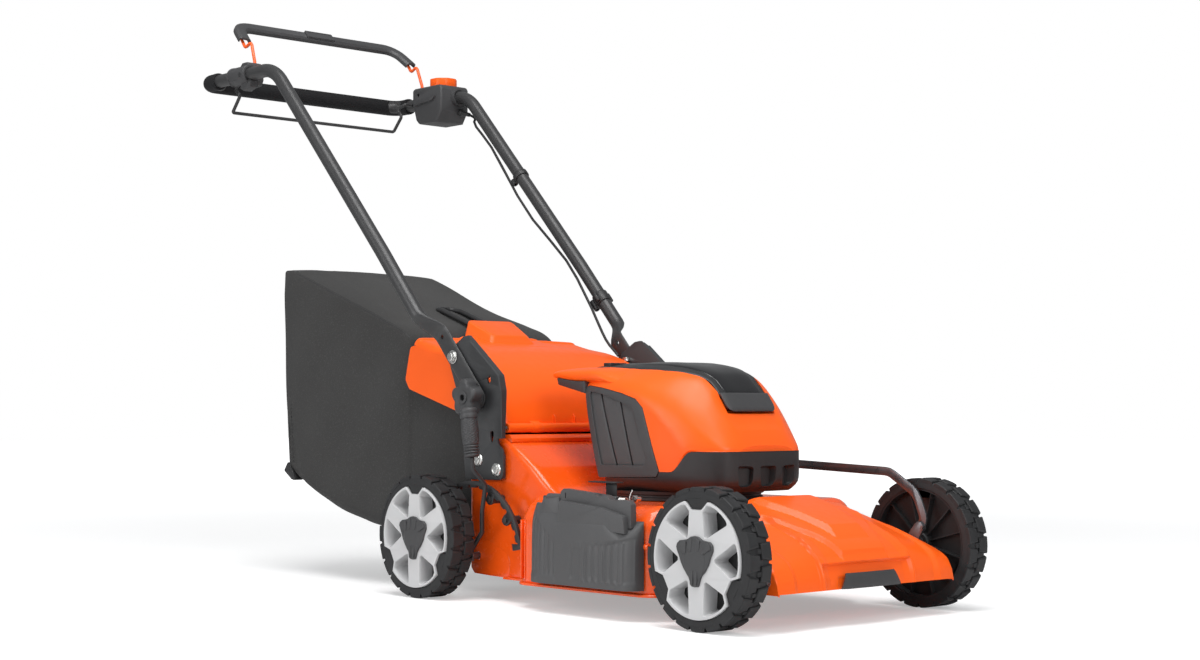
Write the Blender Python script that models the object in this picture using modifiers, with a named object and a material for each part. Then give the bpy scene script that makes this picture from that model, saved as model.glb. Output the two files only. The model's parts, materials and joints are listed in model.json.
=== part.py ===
# Cordless lawn mower: painted steel deck with moulded covers, four spoked wheels on a
# coupled height adjustment, folding handlebar with two sprung bails, and a grass bag.
#
# Metres, +Z up, +X towards the front of the mower, +Y towards its left side. The origin
# lies on the ground under the middle of the mower's box.

import math

import bmesh
import bpy
from mathutils import Matrix, Vector

# Clearances
GAP = 0.0003              # between two pieces that touch
RUNNING = 0.0006          # radial play of a pin in its bore
WELD = 0.00002            # points closer than this are one point

# Running gear
WHEEL_R = 0.1025
WHEELBASE = 0.659
FRONT_WHEEL_X = 0.657
TYRE_WIDTH = 0.045
LUGS = 20
LUG_HALF_ANGLE = math.radians(6.2)
LUG_DEPTH = 0.0042
RIM_R = 0.085
RIM_PROUD = 0.003         # the rim's face stands out from the tyre's
LOBE_DEPTH = 0.0135       # dark teeth of the wheel let into the rim
WEB_FACE = -0.002         # outer face of the wheel's web, from the tyre's middle
WEB_THICKNESS = 0.004
HUB_R = 0.017
HUB_LENGTH = 0.034
AXLE_R = 0.006
CAP_R = 0.026
CAP_THICKNESS = 0.005

# Height adjustment
CRANK_X = 0.068           # the crank pivots lie this far ahead of the wheel centres
CRANK_Z = 0.0705
CRANK_THICKNESS = 0.005
CRANK_WIDTH = 0.024
LINK_PIN_X = 0.018        # link pin from the wheel's centre
LINK_PIN_Z = 0.0265
LINK_THICKNESS = 0.004
LINK_HEIGHT = 0.014
LINK_TOP_Z = 0.2205       # middle of the bar where it runs over the deck
QUADRANT_X = 0.087
QUADRANT_Z = 0.068
QUADRANT_R = 0.128
QUADRANT_WIDTH = 0.011
QUADRANT_THICKNESS = 0.006
LEVER_R = 0.004
GRIP_R = 0.0145

# Deck
DECK_HALF = 0.235
DECK_TUCK_HALF = DECK_HALF - 0.043      # beside the rear wheels
DECK_FRONT_HALF = DECK_HALF - 0.039     # beside the front wheels
WHEEL_Y = DECK_HALF + 0.0134            # middle of the tyre's width
CRANK_Y = DECK_TUCK_HALF + 0.0125       # inner face of the crank arms
QUADRANT_Y = -DECK_TUCK_HALF - 0.0300   # outer face
GRIP_Y = -DECK_TUCK_HALF - 0.0630
DECK_REAR_X = 0.145
DECK_TUCK_X = 0.217
DECK_FRONT_STEP_X = 0.530
DECK_FRONT_X = 0.588
DECK_BOTTOM_Z = 0.036
DECK_CREASE_Z = 0.143
DECK_TOP_Z = 0.170
DECK_WALL = 0.0025
FLANGE = 0.006
FLANGE_HEIGHT = 0.004
CHUTE_REAR_X = 0.040
CHUTE_REAR_Z = 0.108      # underside of the tunnel's floor at its rear edge
CHUTE_FLOOR_SLOPE = 0.41
CHUTE_WALL = 0.0036
CHUTE_TOP_Z = 0.268
MOTOR_X = 0.367
BLADE_R = 0.205
BLADE_Z = 0.052
BLADE_THICKNESS = 0.003
BLADE_WIDTH = 0.050
SHAFT_R = 0.009

# Nose cover
NOSE_REAR_X = 0.5465
NOSE_HALF = DECK_FRONT_HALF + 0.004
NOSE_WALL = 0.0025
NOSE_BOTTOM_Z = 0.054

# Motor head
HEAD_SKIN = 0.003
BASE_BOTTOM_Z = 0.186
SEAM_Z = 0.217            # cover on base, along the sides
SEAM_FRONT_Z = 0.249      # cover on base, across the front
PLINTH_R = 0.125
MOTOR_R = 0.050
MOTOR_HEIGHT = 0.036
PACK_REAR_X = 0.285
PACK_FRONT_X = 0.430
PACK_HALF = 0.062
LEDGE_Z = 0.330           # the lid rests on this ledge
SILL_Z = 0.3115           # bottom of the lid's front panel
LID_FRONT_X = 0.485
PANEL_HALF = 0.053
LID_REAR_X = 0.262
LID_HINGE_Z = 0.384
LID_PLAN = [(LID_REAR_X, 0.072), (0.290, 0.083), (0.350, 0.086), (0.400, 0.081),
            (0.440, 0.069), (0.465, 0.058), (LID_FRONT_X + 0.004, PANEL_HALF + 0.0004)]
LID_FOOT = [(LID_REAR_X, 0.0715), (0.290, 0.082), (0.332, 0.0840), (0.382, 0.0800),
            (0.422, 0.068), (0.447, 0.057), (LID_FRONT_X - 0.014, PANEL_HALF)]
LID_SEAM = [0.372, 0.376, 0.374, 0.371, 0.365, 0.359, 0.350]

# Handle
PIVOT_X = 0.016
PIVOT_Z = 0.402
KNOB_X = 0.079
KNOB_Z = 0.333
BRACKET_OUTER = DECK_TUCK_HALF + 0.0080
BRACKET_THICKNESS = 0.0035
TUBE_R = 0.0127
TUBE_Y = BRACKET_OUTER + 0.0323
TUBE_BEND_X = -0.149
TUBE_BEND_Z = 0.585
TUBE_TOP_X = -0.501
TUBE_TOP_Z = 0.957
FLAT_HALF_THICKNESS = 0.003
FLAT_HALF_WIDTH = 0.0175
BOLT_R = 0.004
GRIP_X = -0.743           # middle of the grip's cross bar
GRIP_BEND = 0.050
FOAM_R = 0.0165
FOAM_START_X = -0.697
SLEEVE_FRONT_X = -0.583
SLEEVE_REAR_X = -0.640
SLEEVE_R = 0.0180
BAIL_PIVOT_X = -0.612
BAIL_PIVOT_Z = 0.966
BAIL_R = 0.0034
BAIL_Y = TUBE_Y - 0.0293
DRIVE_PIVOT_X = -0.673
DRIVE_PIVOT_Z = 0.9550
DRIVE_R = 0.003
DRIVE_Y = TUBE_Y - 0.0358
DIAL_X = -0.588
DIAL_Y = TUBE_Y + 0.0057
DIAL_R = 0.028
DIAL_HEIGHT = 0.020
BOX_TOP_Z = 0.981
CABLE_R = 0.0028

# Rear door and bag
DOOR_HINGE_X = 0.131
DOOR_HINGE_Z = 0.283
DOOR_HALF = DECK_TUCK_HALF - 0.005
DOOR_WALL = 0.003
BAG_HALF = DECK_TUCK_HALF - 0.020
BAG_WALL = 0.003
BAG_NECK_Z = CHUTE_REAR_Z + CHUTE_WALL - 0.0021
BAG_REAR_X = -0.556

# Side discharge flap
FLAP_FRONT_X = 0.512
FLAP_REAR_X = 0.270
FLAP_TOP_Z = 0.168
FLAP_BOTTOM_Z = 0.046
FLAP_OUT = 0.030
FLAP_HINGE_Y = -DECK_HALF + 0.0060
FLAP_HINGE_Z = 0.1760

# Worked out from the sizes above
REAR_WHEEL_X = FRONT_WHEEL_X - WHEELBASE
FRONT_CRANK_X = FRONT_WHEEL_X + CRANK_X
REAR_CRANK_X = REAR_WHEEL_X + CRANK_X
TYRE_HALF = TYRE_WIDTH / 2
RIM_FACE = TYRE_HALF + RIM_PROUD
BRACKET_INNER = BRACKET_OUTER - BRACKET_THICKNESS
FLAT_Y = BRACKET_OUTER + GAP + FLAT_HALF_THICKNESS

PARTS = "cordless_lawn_mower"
CUTTERS = "cutters"


# Scene

def clear_scene():
    for obj in list(bpy.data.objects):
        bpy.data.objects.remove(obj, do_unlink=True)


def collection(name):
    found = bpy.data.collections.get(name)
    if found is None:
        found = bpy.data.collections.new(name)
        bpy.context.scene.collection.children.link(found)
    return found


def material(name, colour, roughness, metallic=0.0):
    mat = bpy.data.materials.new(name)
    mat.use_nodes = True
    shader = mat.node_tree.nodes["Principled BSDF"]
    shader.inputs["Base Color"].default_value = (*colour, 1.0)
    shader.inputs["Roughness"].default_value = roughness
    shader.inputs["Metallic"].default_value = metallic
    return mat


# Meshes

def islands(bm):
    """The mesh's points in connected groups."""
    left = set(bm.verts)
    groups = []
    while left:
        stack = [left.pop()]
        group = []
        while stack:
            vert = stack.pop()
            group.append(vert)
            for edge in vert.link_edges:
                other = edge.other_vert(vert)
                if other in left:
                    left.remove(other)
                    stack.append(other)
        groups.append(group)
    return groups


def tidy(mesh):
    """Weld a mesh's points, drop loose slivers and turn its faces outwards."""
    bm = bmesh.new()
    bm.from_mesh(mesh)
    bmesh.ops.remove_doubles(bm, verts=bm.verts, dist=WELD)
    bmesh.ops.dissolve_degenerate(bm, edges=bm.edges, dist=WELD)
    slivers = [vert for group in islands(bm) if len(group) < 4 for vert in group]
    bmesh.ops.delete(bm, geom=slivers, context="VERTS")
    bmesh.ops.recalc_face_normals(bm, faces=bm.faces)
    if bm.calc_volume(signed=True) < 0:
        bmesh.ops.reverse_faces(bm, faces=bm.faces)
    bm.to_mesh(mesh)
    bm.free()
    return mesh


def flattened(mesh):
    """Merge the facets that share a plane."""
    for dissolve in (True, False):
        bm = bmesh.new()
        bm.from_mesh(mesh)
        if dissolve:
            bmesh.ops.dissolve_limit(bm, angle_limit=math.radians(0.3), verts=bm.verts,
                                     edges=bm.edges)
        bmesh.ops.triangulate(bm, faces=bm.faces)
        closed = all(edge.is_manifold for edge in bm.edges)
        if closed or not dissolve:
            bm.to_mesh(mesh)
            bm.free()
            return mesh
        bm.free()


def raw(name, mesh):
    """A working object, with its mesh in world coordinates."""
    obj = bpy.data.objects.new(name, mesh)
    obj.hide_render = True
    obj.display_type = "WIRE"
    collection(CUTTERS).objects.link(obj)
    return obj


def settle(obj):
    """Replace a curve, or an object with modifiers, by the mesh it shows."""
    depsgraph = bpy.context.evaluated_depsgraph_get()
    mesh = bpy.data.meshes.new_from_object(obj.evaluated_get(depsgraph))
    name = obj.name
    bpy.data.objects.remove(obj, do_unlink=True)
    return raw(name, tidy(mesh))


def moved(obj, matrix):
    obj.data.transform(matrix)
    return obj


def combine(obj, tools, operation):
    """Join or cut obj with each tool, which is used up."""
    for tool in tools:
        modifier = obj.modifiers.new("combine", "BOOLEAN")
        modifier.operation = operation
        modifier.solver = "EXACT"
        modifier.object = tool
        obj = settle(obj)
        bpy.data.objects.remove(tool, do_unlink=True)
    return obj


def join(obj, *tools):
    return combine(obj, tools, "UNION")


def cut(obj, *tools):
    return combine(obj, tools, "DIFFERENCE")


def common(obj, tool):
    return combine(obj, [tool], "INTERSECT")


def copy_of(obj, name):
    return raw(name, obj.data.copy())


def mirrored(obj, name):
    """The same piece for the mower's other side."""
    other = copy_of(obj, name)
    other.data.transform(Matrix.Scale(-1, 4, (0, 1, 0)))
    tidy(other.data)
    return other


def bevelled(obj, width, segments=1, angle=35):
    modifier = obj.modifiers.new("bevel", "BEVEL")
    modifier.width = width
    modifier.segments = segments
    modifier.limit_method = "ANGLE"
    modifier.angle_limit = math.radians(angle)
    return settle(obj)


def block(name, low, high):
    bm = bmesh.new()
    bmesh.ops.create_cube(bm, size=1.0)
    size = [b - a for a, b in zip(low, high)]
    middle = [(a + b) / 2 for a, b in zip(low, high)]
    bmesh.ops.scale(bm, verts=bm.verts, vec=size)
    bmesh.ops.translate(bm, verts=bm.verts, vec=middle)
    mesh = bpy.data.meshes.new(name)
    bm.to_mesh(mesh)
    bm.free()
    return raw(name, mesh)


def rod(name, start, end, radius, sides=16, end_radius=None):
    start, end = Vector(start), Vector(end)
    along = end - start
    bm = bmesh.new()
    bmesh.ops.create_cone(
        bm, cap_ends=True, segments=sides, depth=along.length,
        radius1=radius, radius2=radius if end_radius is None else end_radius)
    turn = along.to_track_quat("Z", "Y").to_matrix().to_4x4()
    bm.transform(Matrix.Translation((start + end) / 2) @ turn)
    mesh = bpy.data.meshes.new(name)
    bm.to_mesh(mesh)
    bm.free()
    return raw(name, mesh)


def across(name, x, z, radius, y0, y1, sides=16):
    """A cylinder along Y."""
    return rod(name, (x, y0, z), (x, y1, z), radius, sides)


def extruded(name, outline, thickness, holes=()):
    """A flat outline in local XY, extruded to z = 0 .. thickness."""
    curve = bpy.data.curves.new(name, "CURVE")
    curve.dimensions = "2D"
    curve.fill_mode = "BOTH"
    curve.extrude = thickness / 2
    for points in [outline, *holes]:
        spline = curve.splines.new("POLY")
        spline.points.add(len(points) - 1)
        for point, (x, y) in zip(spline.points, points):
            point.co = (x, y, 0, 1)
        spline.use_cyclic_u = True
    obj = bpy.data.objects.new(name, curve)
    collection(CUTTERS).objects.link(obj)
    return moved(settle(obj), Matrix.Translation((0, 0, thickness / 2)))


def side_plate(name, outline, y0, y1, holes=()):
    """An XZ outline extruded along Y from y0 to y1."""
    obj = extruded(name, outline, y1 - y0, holes)
    stand = Matrix(((1, 0, 0, 0), (0, 0, -1, y1), (0, 1, 0, 0), (0, 0, 0, 1)))
    obj = moved(obj, stand)
    tidy(obj.data)
    return obj


def floor_plate(name, outline, z0, z1, holes=()):
    return moved(extruded(name, outline, z1 - z0, holes), Matrix.Translation((0, 0, z0)))


def turned(name, profile, start, end, steps=24):
    """A profile of (radius, height) turned about the line from start to end."""
    bm = bmesh.new()
    verts = [bm.verts.new((radius, 0, height)) for radius, height in profile]
    for a, b in zip(verts, verts[1:]):
        bm.edges.new((a, b))
    mesh = bpy.data.meshes.new(name)
    bm.to_mesh(mesh)
    bm.free()
    obj = raw(name, mesh)
    screw = obj.modifiers.new("turn", "SCREW")
    screw.steps = steps
    screw.render_steps = steps
    screw.use_merge_vertices = True
    screw.merge_threshold = 0.00005
    obj = settle(obj)
    along = Vector(end) - Vector(start)
    place = Matrix.Translation(start) @ along.to_track_quat("Z", "Y").to_matrix().to_4x4()
    return moved(obj, place)


def rounded_path(points, radius, steps=5):
    """The points with each inner corner replaced by an arc."""
    points = [Vector(p) for p in points]
    path = [points[0]]
    for before, corner, after in zip(points, points[1:], points[2:]):
        back, ahead = (before - corner), (after - corner)
        half = back.angle(ahead) / 2
        reach = min(radius / math.tan(half), 0.49 * back.length, 0.49 * ahead.length)
        back.normalize()
        ahead.normalize()
        start, end = corner + back * reach, corner + ahead * reach
        centre = corner + (back + ahead).normalized() * reach / math.cos(half)
        for step in range(steps + 1):
            spoke = (start - centre).slerp(end - centre, step / steps)
            path.append(centre + spoke.normalized() * (start - centre).length)
    path.append(points[-1])
    return path


def tube(name, path, radius, resolution=2):
    """A round tube or wire with closed ends along a list of points."""
    curve = bpy.data.curves.new(name, "CURVE")
    curve.dimensions = "3D"
    curve.bevel_depth = radius
    curve.bevel_resolution = resolution
    curve.use_fill_caps = True
    spline = curve.splines.new("POLY")
    spline.points.add(len(path) - 1)
    for point, co in zip(spline.points, path):
        point.co = (*co, 1)
    obj = bpy.data.objects.new(name, curve)
    collection(CUTTERS).objects.link(obj)
    return settle(obj)


def loft(name, rings, caps=True):
    """Skin between rings with equal numbers of points."""
    bm = bmesh.new()
    rows = [[bm.verts.new(p) for p in ring] for ring in rings]
    count = len(rows[0])
    for low, high in zip(rows, rows[1:]):
        for i in range(count):
            j = (i + 1) % count
            bm.faces.new((low[i], low[j], high[j], high[i]))
    if caps:
        bm.faces.new(rows[0])
        bm.faces.new(rows[-1])
    mesh = bpy.data.meshes.new(name)
    bm.to_mesh(mesh)
    bm.free()
    return raw(name, tidy(mesh))


def sheet(name, rows):
    """An open skin through rows with equal numbers of points."""
    bm = bmesh.new()
    grid = [[bm.verts.new(p) for p in row] for row in rows]
    for low, high in zip(grid, grid[1:]):
        for i in range(len(low) - 1):
            bm.faces.new((low[i], low[i + 1], high[i + 1], high[i]))
    mesh = bpy.data.meshes.new(name)
    bm.to_mesh(mesh)
    bm.free()
    return raw(name, mesh)


def thickened(obj, thickness, offset=-1.0):
    """A shell with its own thickness, from an open skin whose faces point out."""
    solidify = obj.modifiers.new("wall", "SOLIDIFY")
    solidify.thickness = thickness
    solidify.offset = offset
    solidify.use_even_offset = True
    return settle(obj)


def swept(name, path, sections, across_axis):
    """A section of (side, normal) points carried along a path."""
    rings = []
    side = Vector(across_axis).normalized()
    for i, point in enumerate(path):
        ahead = path[min(i + 1, len(path) - 1)] - path[max(i - 1, 0)]
        ahead.normalize()
        normal = ahead.cross(side).normalized()
        lateral = normal.cross(ahead).normalized()
        side = lateral
        section = sections[i] if isinstance(sections[0][0], (list, tuple)) else sections
        rings.append([point + lateral * u + normal * v for u, v in section])
    return loft(name, rings)


def ellipse(half_u, half_v, count=12):
    return [(half_u * math.cos(2 * math.pi * k / count),
             half_v * math.sin(2 * math.pi * k / count)) for k in range(count)]


def polar(radius, angle, centre=(0.0, 0.0)):
    return (centre[0] + radius * math.cos(angle), centre[1] + radius * math.sin(angle))


def arc(centre, radius, start, end, count):
    """Points on a circle from start to end, in degrees."""
    return [polar(radius, math.radians(start + (end - start) * k / count), centre)
            for k in range(count + 1)]


def grown(outline, distance):
    """An outline moved out by a distance, or in by a negative one."""
    area = sum(a[0] * b[1] - b[0] * a[1] for a, b in zip(outline, outline[1:] + outline[:1]))
    turn = 1 if area > 0 else -1
    result = []
    count = len(outline)
    for i in range(count):
        before, here, after = (Vector(outline[k % count]) for k in (i - 1, i, i + 1))
        first = (here - before).normalized()
        second = (after - here).normalized()
        one = Vector((first.y, -first.x)) * turn
        two = Vector((second.y, -second.x)) * turn
        mitre = (one + two).normalized()
        stretch = min(1.6, 1 / max(mitre.dot(one), 0.3))
        result.append(tuple(here + mitre * distance * stretch))
    return result


def along_table(table, x):
    """A value read from (x, value) pairs, in straight lines between them."""
    if x <= table[0][0]:
        return table[0][1]
    for (x0, a), (x1, b) in zip(table, table[1:]):
        if x <= x1:
            return a + (b - a) * (x - x0) / (x1 - x0)
    return table[-1][1]


def keep(obj, name, mat, origin=(0, 0, 0)):
    """Turn a working object into a part, with its origin on its joint's axis."""
    mesh = flattened(obj.data)
    mesh.transform(Matrix.Translation(-Vector(origin)))
    mesh.name = name
    mesh.materials.clear()
    mesh.materials.append(mat)
    mesh.shade_smooth()
    mesh.set_sharp_from_angle(angle=math.radians(32))
    bpy.data.objects.remove(obj, do_unlink=True)
    part = bpy.data.objects.new(name, mesh)
    part.location = origin
    collection(PARTS).objects.link(part)
    return part


# Wheels

def lobe(inner, outer, half_inner, half_outer, angle):
    """A tooth-like outline that widens outwards."""
    return [polar(outer, angle - half_outer), polar(outer, angle + half_outer),
            polar(inner, angle + half_inner), polar(inner, angle - half_inner)]


def tread_outline():
    """Blocks and grooves, with the flat of a block at the very bottom."""
    pitch = 2 * math.pi / LUGS
    points = []
    for k in range(LUGS):
        middle = math.pi / 2 + k * pitch
        block_r = WHEEL_R / math.cos(LUG_HALF_ANGLE)
        groove_r = WHEEL_R - LUG_DEPTH
        points.append(polar(block_r, middle - LUG_HALF_ANGLE))
        points.append(polar(block_r, middle + LUG_HALF_ANGLE))
        points.append(polar(groove_r, middle + pitch / 2))
    return points


LOBE_ANGLES = [math.radians(a) for a in (90, 210, 330)]


def rim_outline(clearance):
    """The rim's round edge with three notches that take the wheel's dark teeth."""
    radius = RIM_R
    inner = RIM_R - LOBE_DEPTH - clearance
    half_outer = math.radians(15.5) + clearance / radius
    half_inner = math.radians(8.5) + clearance / inner
    points = []
    for angle in LOBE_ANGLES:
        points.append(polar(radius, angle - half_outer))
        points.append(polar(inner, angle - half_inner))
        points.append(polar(inner, angle + half_inner))
        points.append(polar(radius, angle + half_outer))
        sweep = 2 * math.pi / 3 - 2 * half_outer
        for k in range(1, 6):
            points.append(polar(radius, angle + half_outer + sweep * k / 6))
    return points


def wheel_body():
    """Tread, web, hub and the three teeth that show through the rim."""
    bore_r = (RIM_R + GAP) / math.cos(math.pi / 24)
    bore = [polar(bore_r, 2 * math.pi * k / 24) for k in range(24)]
    tread = extruded("wheel", tread_outline(), TYRE_WIDTH, [bore])
    tread = moved(tread, Matrix.Translation((0, 0, -TYRE_HALF)))
    web_back = WEB_FACE - WEB_THICKNESS
    web = rod("web", (0, 0, web_back), (0, 0, WEB_FACE), RIM_R + 0.002, 24)
    hub_back = -HUB_LENGTH / 2 - 0.002
    hub = rod("hub", (0, 0, hub_back), (0, 0, hub_back + HUB_LENGTH), HUB_R, 16)
    wheel = join(tread, web, hub)
    for angle in LOBE_ANGLES:
        tooth = lobe(RIM_R - LOBE_DEPTH, RIM_R + 0.004, math.radians(8.5),
                     math.radians(15.5), angle)
        tooth = moved(extruded("tooth", tooth, TYRE_HALF - 0.001 - web_back),
                      Matrix.Translation((0, 0, web_back)))
        wheel = join(wheel, tooth)
    bore = rod("bore", (0, 0, -0.05), (0, 0, 0.05), AXLE_R + RUNNING, 12)
    return cut(wheel, bore)


def rim_body():
    """Trim disc with six windows between its spokes."""
    windows = []
    for k in range(6):
        angle = math.radians(60 * k)
        windows.append([
            polar(0.0365, angle - math.radians(7)), polar(0.0365, angle + math.radians(7)),
            polar(0.0665, angle + math.radians(16)), polar(0.0720, angle + math.radians(7)),
            polar(0.0720, angle - math.radians(7)), polar(0.0665, angle - math.radians(16))])
    centre_r = (HUB_R + GAP) / math.cos(math.pi / 16)
    centre = [polar(centre_r, 2 * math.pi * k / 16) for k in range(16)]
    depth = RIM_FACE - WEB_FACE - GAP
    outline = rim_outline(GAP)
    rim = extruded("rim", outline, depth, [centre, *windows])
    rim = moved(rim, Matrix.Translation((0, 0, RIM_FACE - depth)))
    return rim


CAP_HALF = [(0.0, 1.28), (0.009, 1.22), (0.0160, 1.06), (0.030, 1.00), (0.0355, 0.79),
            (0.0358, 0.53), (0.0272, -0.17), (0.0208, -0.58), (0.0130, -0.87), (0.0098, -1.15),
            (0.0072, -1.45)]


def cap_outline():
    """A shield with two ears at the top and a long tail."""
    grow = CAP_R / 0.026
    right = [(x * grow, y * CAP_R) for x, y in CAP_HALF]
    return right + [(-x, y) for x, y in reversed(right[1:])]


def cap_body():
    cap = extruded("cap", cap_outline(), CAP_THICKNESS)
    cap = moved(cap, Matrix.Translation((0, 0, RIM_FACE + GAP)))
    return cap


def build_wheels(mats):
    """Four wheels that share their meshes; the outer face is local +Z."""
    bodies = {
        "wheel": (wheel_body(), mats["tyre"]),
        "rim": (rim_body(), mats["rim"]),
        "hub_cap": (cap_body(), mats["grey"])}
    facing = {
        "right": Matrix(((1, 0, 0), (0, 0, -1), (0, 1, 0))),
        "left": Matrix(((-1, 0, 0), (0, 0, 1), (0, 1, 0)))}
    for piece, (body, mat) in bodies.items():
        mesh = flattened(body.data)
        mesh.materials.clear()
        mesh.materials.append(mat)
        mesh.shade_smooth()
        mesh.set_sharp_from_angle(angle=math.radians(32))
        for end, x in (("front", FRONT_WHEEL_X), ("rear", REAR_WHEEL_X)):
            for hand, y in (("right", -WHEEL_Y), ("left", WHEEL_Y)):
                part = bpy.data.objects.new(f"{piece}_{end}_{hand}", mesh)
                turn = facing[hand].to_4x4()
                part.matrix_world = Matrix.Translation((x, y, WHEEL_R)) @ turn
                collection(PARTS).objects.link(part)
        bpy.data.objects.remove(body, do_unlink=True)


# Axles, link bar and height lever

def crank_arm(x, wheel_x, y0, y1):
    """A flat bar with round ends from the crank's pivot to the wheel's axle."""
    angle = math.degrees(math.atan2(WHEEL_R - CRANK_Z, wheel_x - x))
    half = CRANK_WIDTH / 2
    outline = arc((wheel_x, WHEEL_R), half, angle - 90, angle + 90, 3)
    outline += arc((x, CRANK_Z), half * 0.8, angle + 90, angle + 270, 3)
    return side_plate("crank", outline, y0, y1)


def build_axle(name, crank_x, wheel_x, mat):
    outer = CRANK_Y + CRANK_THICKNESS
    axle = across(name, crank_x, CRANK_Z, AXLE_R, -outer + 0.001, outer - 0.001, 12)
    stub_end = WHEEL_Y + 0.017
    for side in (-1, 1):
        y0, y1 = sorted((side * CRANK_Y, side * outer))
        arm = crank_arm(crank_x, wheel_x, y0, y1)
        y0, y1 = sorted((side * (CRANK_Y + 0.001), side * stub_end))
        stub = across("stub", wheel_x, WHEEL_R, AXLE_R, y0, y1, 12)
        collar_end = side * (WHEEL_Y - HUB_LENGTH / 2 - 0.002 - GAP)
        y0, y1 = sorted((side * (outer - 0.001), collar_end))
        collar = across("collar", wheel_x, WHEEL_R, AXLE_R + 0.004, y0, y1, 12)
        axle = join(axle, arm, stub, collar)
    pin_x = wheel_x + LINK_PIN_X
    pin_z = WHEEL_R + LINK_PIN_Z
    ear = side_plate("ear", [
        *arc((pin_x, pin_z), 0.009, -30, 150, 4),
        *arc((wheel_x, WHEEL_R), 0.011, 150, 330, 3)], CRANK_Y, outer)
    pin = across("pin", pin_x, pin_z, 0.004, outer - 0.001,
                 outer + GAP + LINK_THICKNESS + 0.003, 12)
    axle = join(axle, ear, pin)
    return keep(axle, name, mat, (crank_x, 0, CRANK_Z))


def build_link(mats):
    """Flat bar that couples the two cranks along the left side."""
    front = (FRONT_WHEEL_X + LINK_PIN_X, WHEEL_R + LINK_PIN_Z)
    rear = (REAR_WHEEL_X + LINK_PIN_X, WHEEL_R + LINK_PIN_Z)
    line = [(rear[0], rear[1]), (rear[0] - 0.004, 0.165), (0.060, LINK_TOP_Z - 0.004),
            (0.36, LINK_TOP_Z + 0.004), (0.612, LINK_TOP_Z - 0.006),
            (front[0] - 0.010, 0.182), (front[0] + 0.006, front[1] + 0.014), front]
    path = [(p.x, p.y) for p in
            (Vector(q) for q in rounded_path([(x, z, 0) for x, z in line], 0.03, 2))]
    half = LINK_HEIGHT / 2
    upper, lower = [], []
    for i, here in enumerate(path):
        ahead = Vector(path[min(i + 1, len(path) - 1)]) - Vector(path[max(i - 1, 0)])
        normal = Vector((-ahead.y, ahead.x)).normalized() * half
        upper.append((here[0] + normal.x, here[1] + normal.y))
        lower.append((here[0] - normal.x, here[1] - normal.y))
    y0 = CRANK_Y + CRANK_THICKNESS + GAP
    hole_r = 0.004 + 0.0006
    hole = [[polar(hole_r, 2 * math.pi * k / 12, centre) for k in range(12)]
            for centre in (front, rear)]
    link = side_plate("link_bar", upper + lower[::-1], y0, y0 + LINK_THICKNESS)
    for centre, points in zip((front, rear), hole):
        eye = [polar(half + 0.001, 2 * math.pi * k / 16, centre) for k in range(16)]
        link = join(link, side_plate("eye", eye, y0, y0 + LINK_THICKNESS))
    for points in hole:
        link = cut(link, side_plate("hole", points, y0 - 0.01, y0 + 0.02))
    return keep(link, "link_bar", mats["steel"], (front[0], y0, front[1]))


def build_quadrant(mats):
    """Notched arc plate that the height lever clicks into."""
    centre = (QUADRANT_X, QUADRANT_Z)
    inner_r = QUADRANT_R - QUADRANT_WIDTH
    outer = arc(centre, QUADRANT_R, 10, 112, 12)
    inner = []
    for k in range(9, -1, -1):
        start = 15 + 10 * k
        inner += [polar(inner_r, math.radians(start + 6), centre),
                  polar(inner_r, math.radians(start + 1), centre),
                  polar(inner_r + 0.004, math.radians(start), centre),
                  polar(inner_r + 0.004, math.radians(start - 3), centre)]
    y0 = QUADRANT_Y
    y1 = y0 + QUADRANT_THICKNESS
    plate = side_plate("height_quadrant", outer + inner, y0, y1)
    hook = side_plate("hook", [
        polar(QUADRANT_R, math.radians(10), centre), polar(QUADRANT_R, math.radians(13), centre),
        polar(inner_r - 0.010, math.radians(16), centre),
        polar(inner_r - 0.010, math.radians(10), centre)], y0, y1)
    plate = join(plate, hook)
    wall = -DECK_TUCK_HALF - GAP
    for angle in (38, 66):
        foot = polar(inner_r - 0.009, math.radians(angle), centre)
        tab = side_plate("tab", [
            *arc(foot, 0.009, angle + 90, angle + 270, 6),
            polar(inner_r + 0.003, math.radians(angle - 4), centre),
            polar(inner_r + 0.003, math.radians(angle + 4), centre)], y1 - 0.004, y1)
        boss = across("boss", foot[0], foot[1], 0.007, y1 - 0.002, wall, 12)
        bolt = across("bolt", foot[0], foot[1], 0.0055, y1 - 0.008, y1 - 0.003, 6)
        plate = join(plate, tab, boss, bolt)
    return keep(plate, "height_quadrant", mats["black"])


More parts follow.
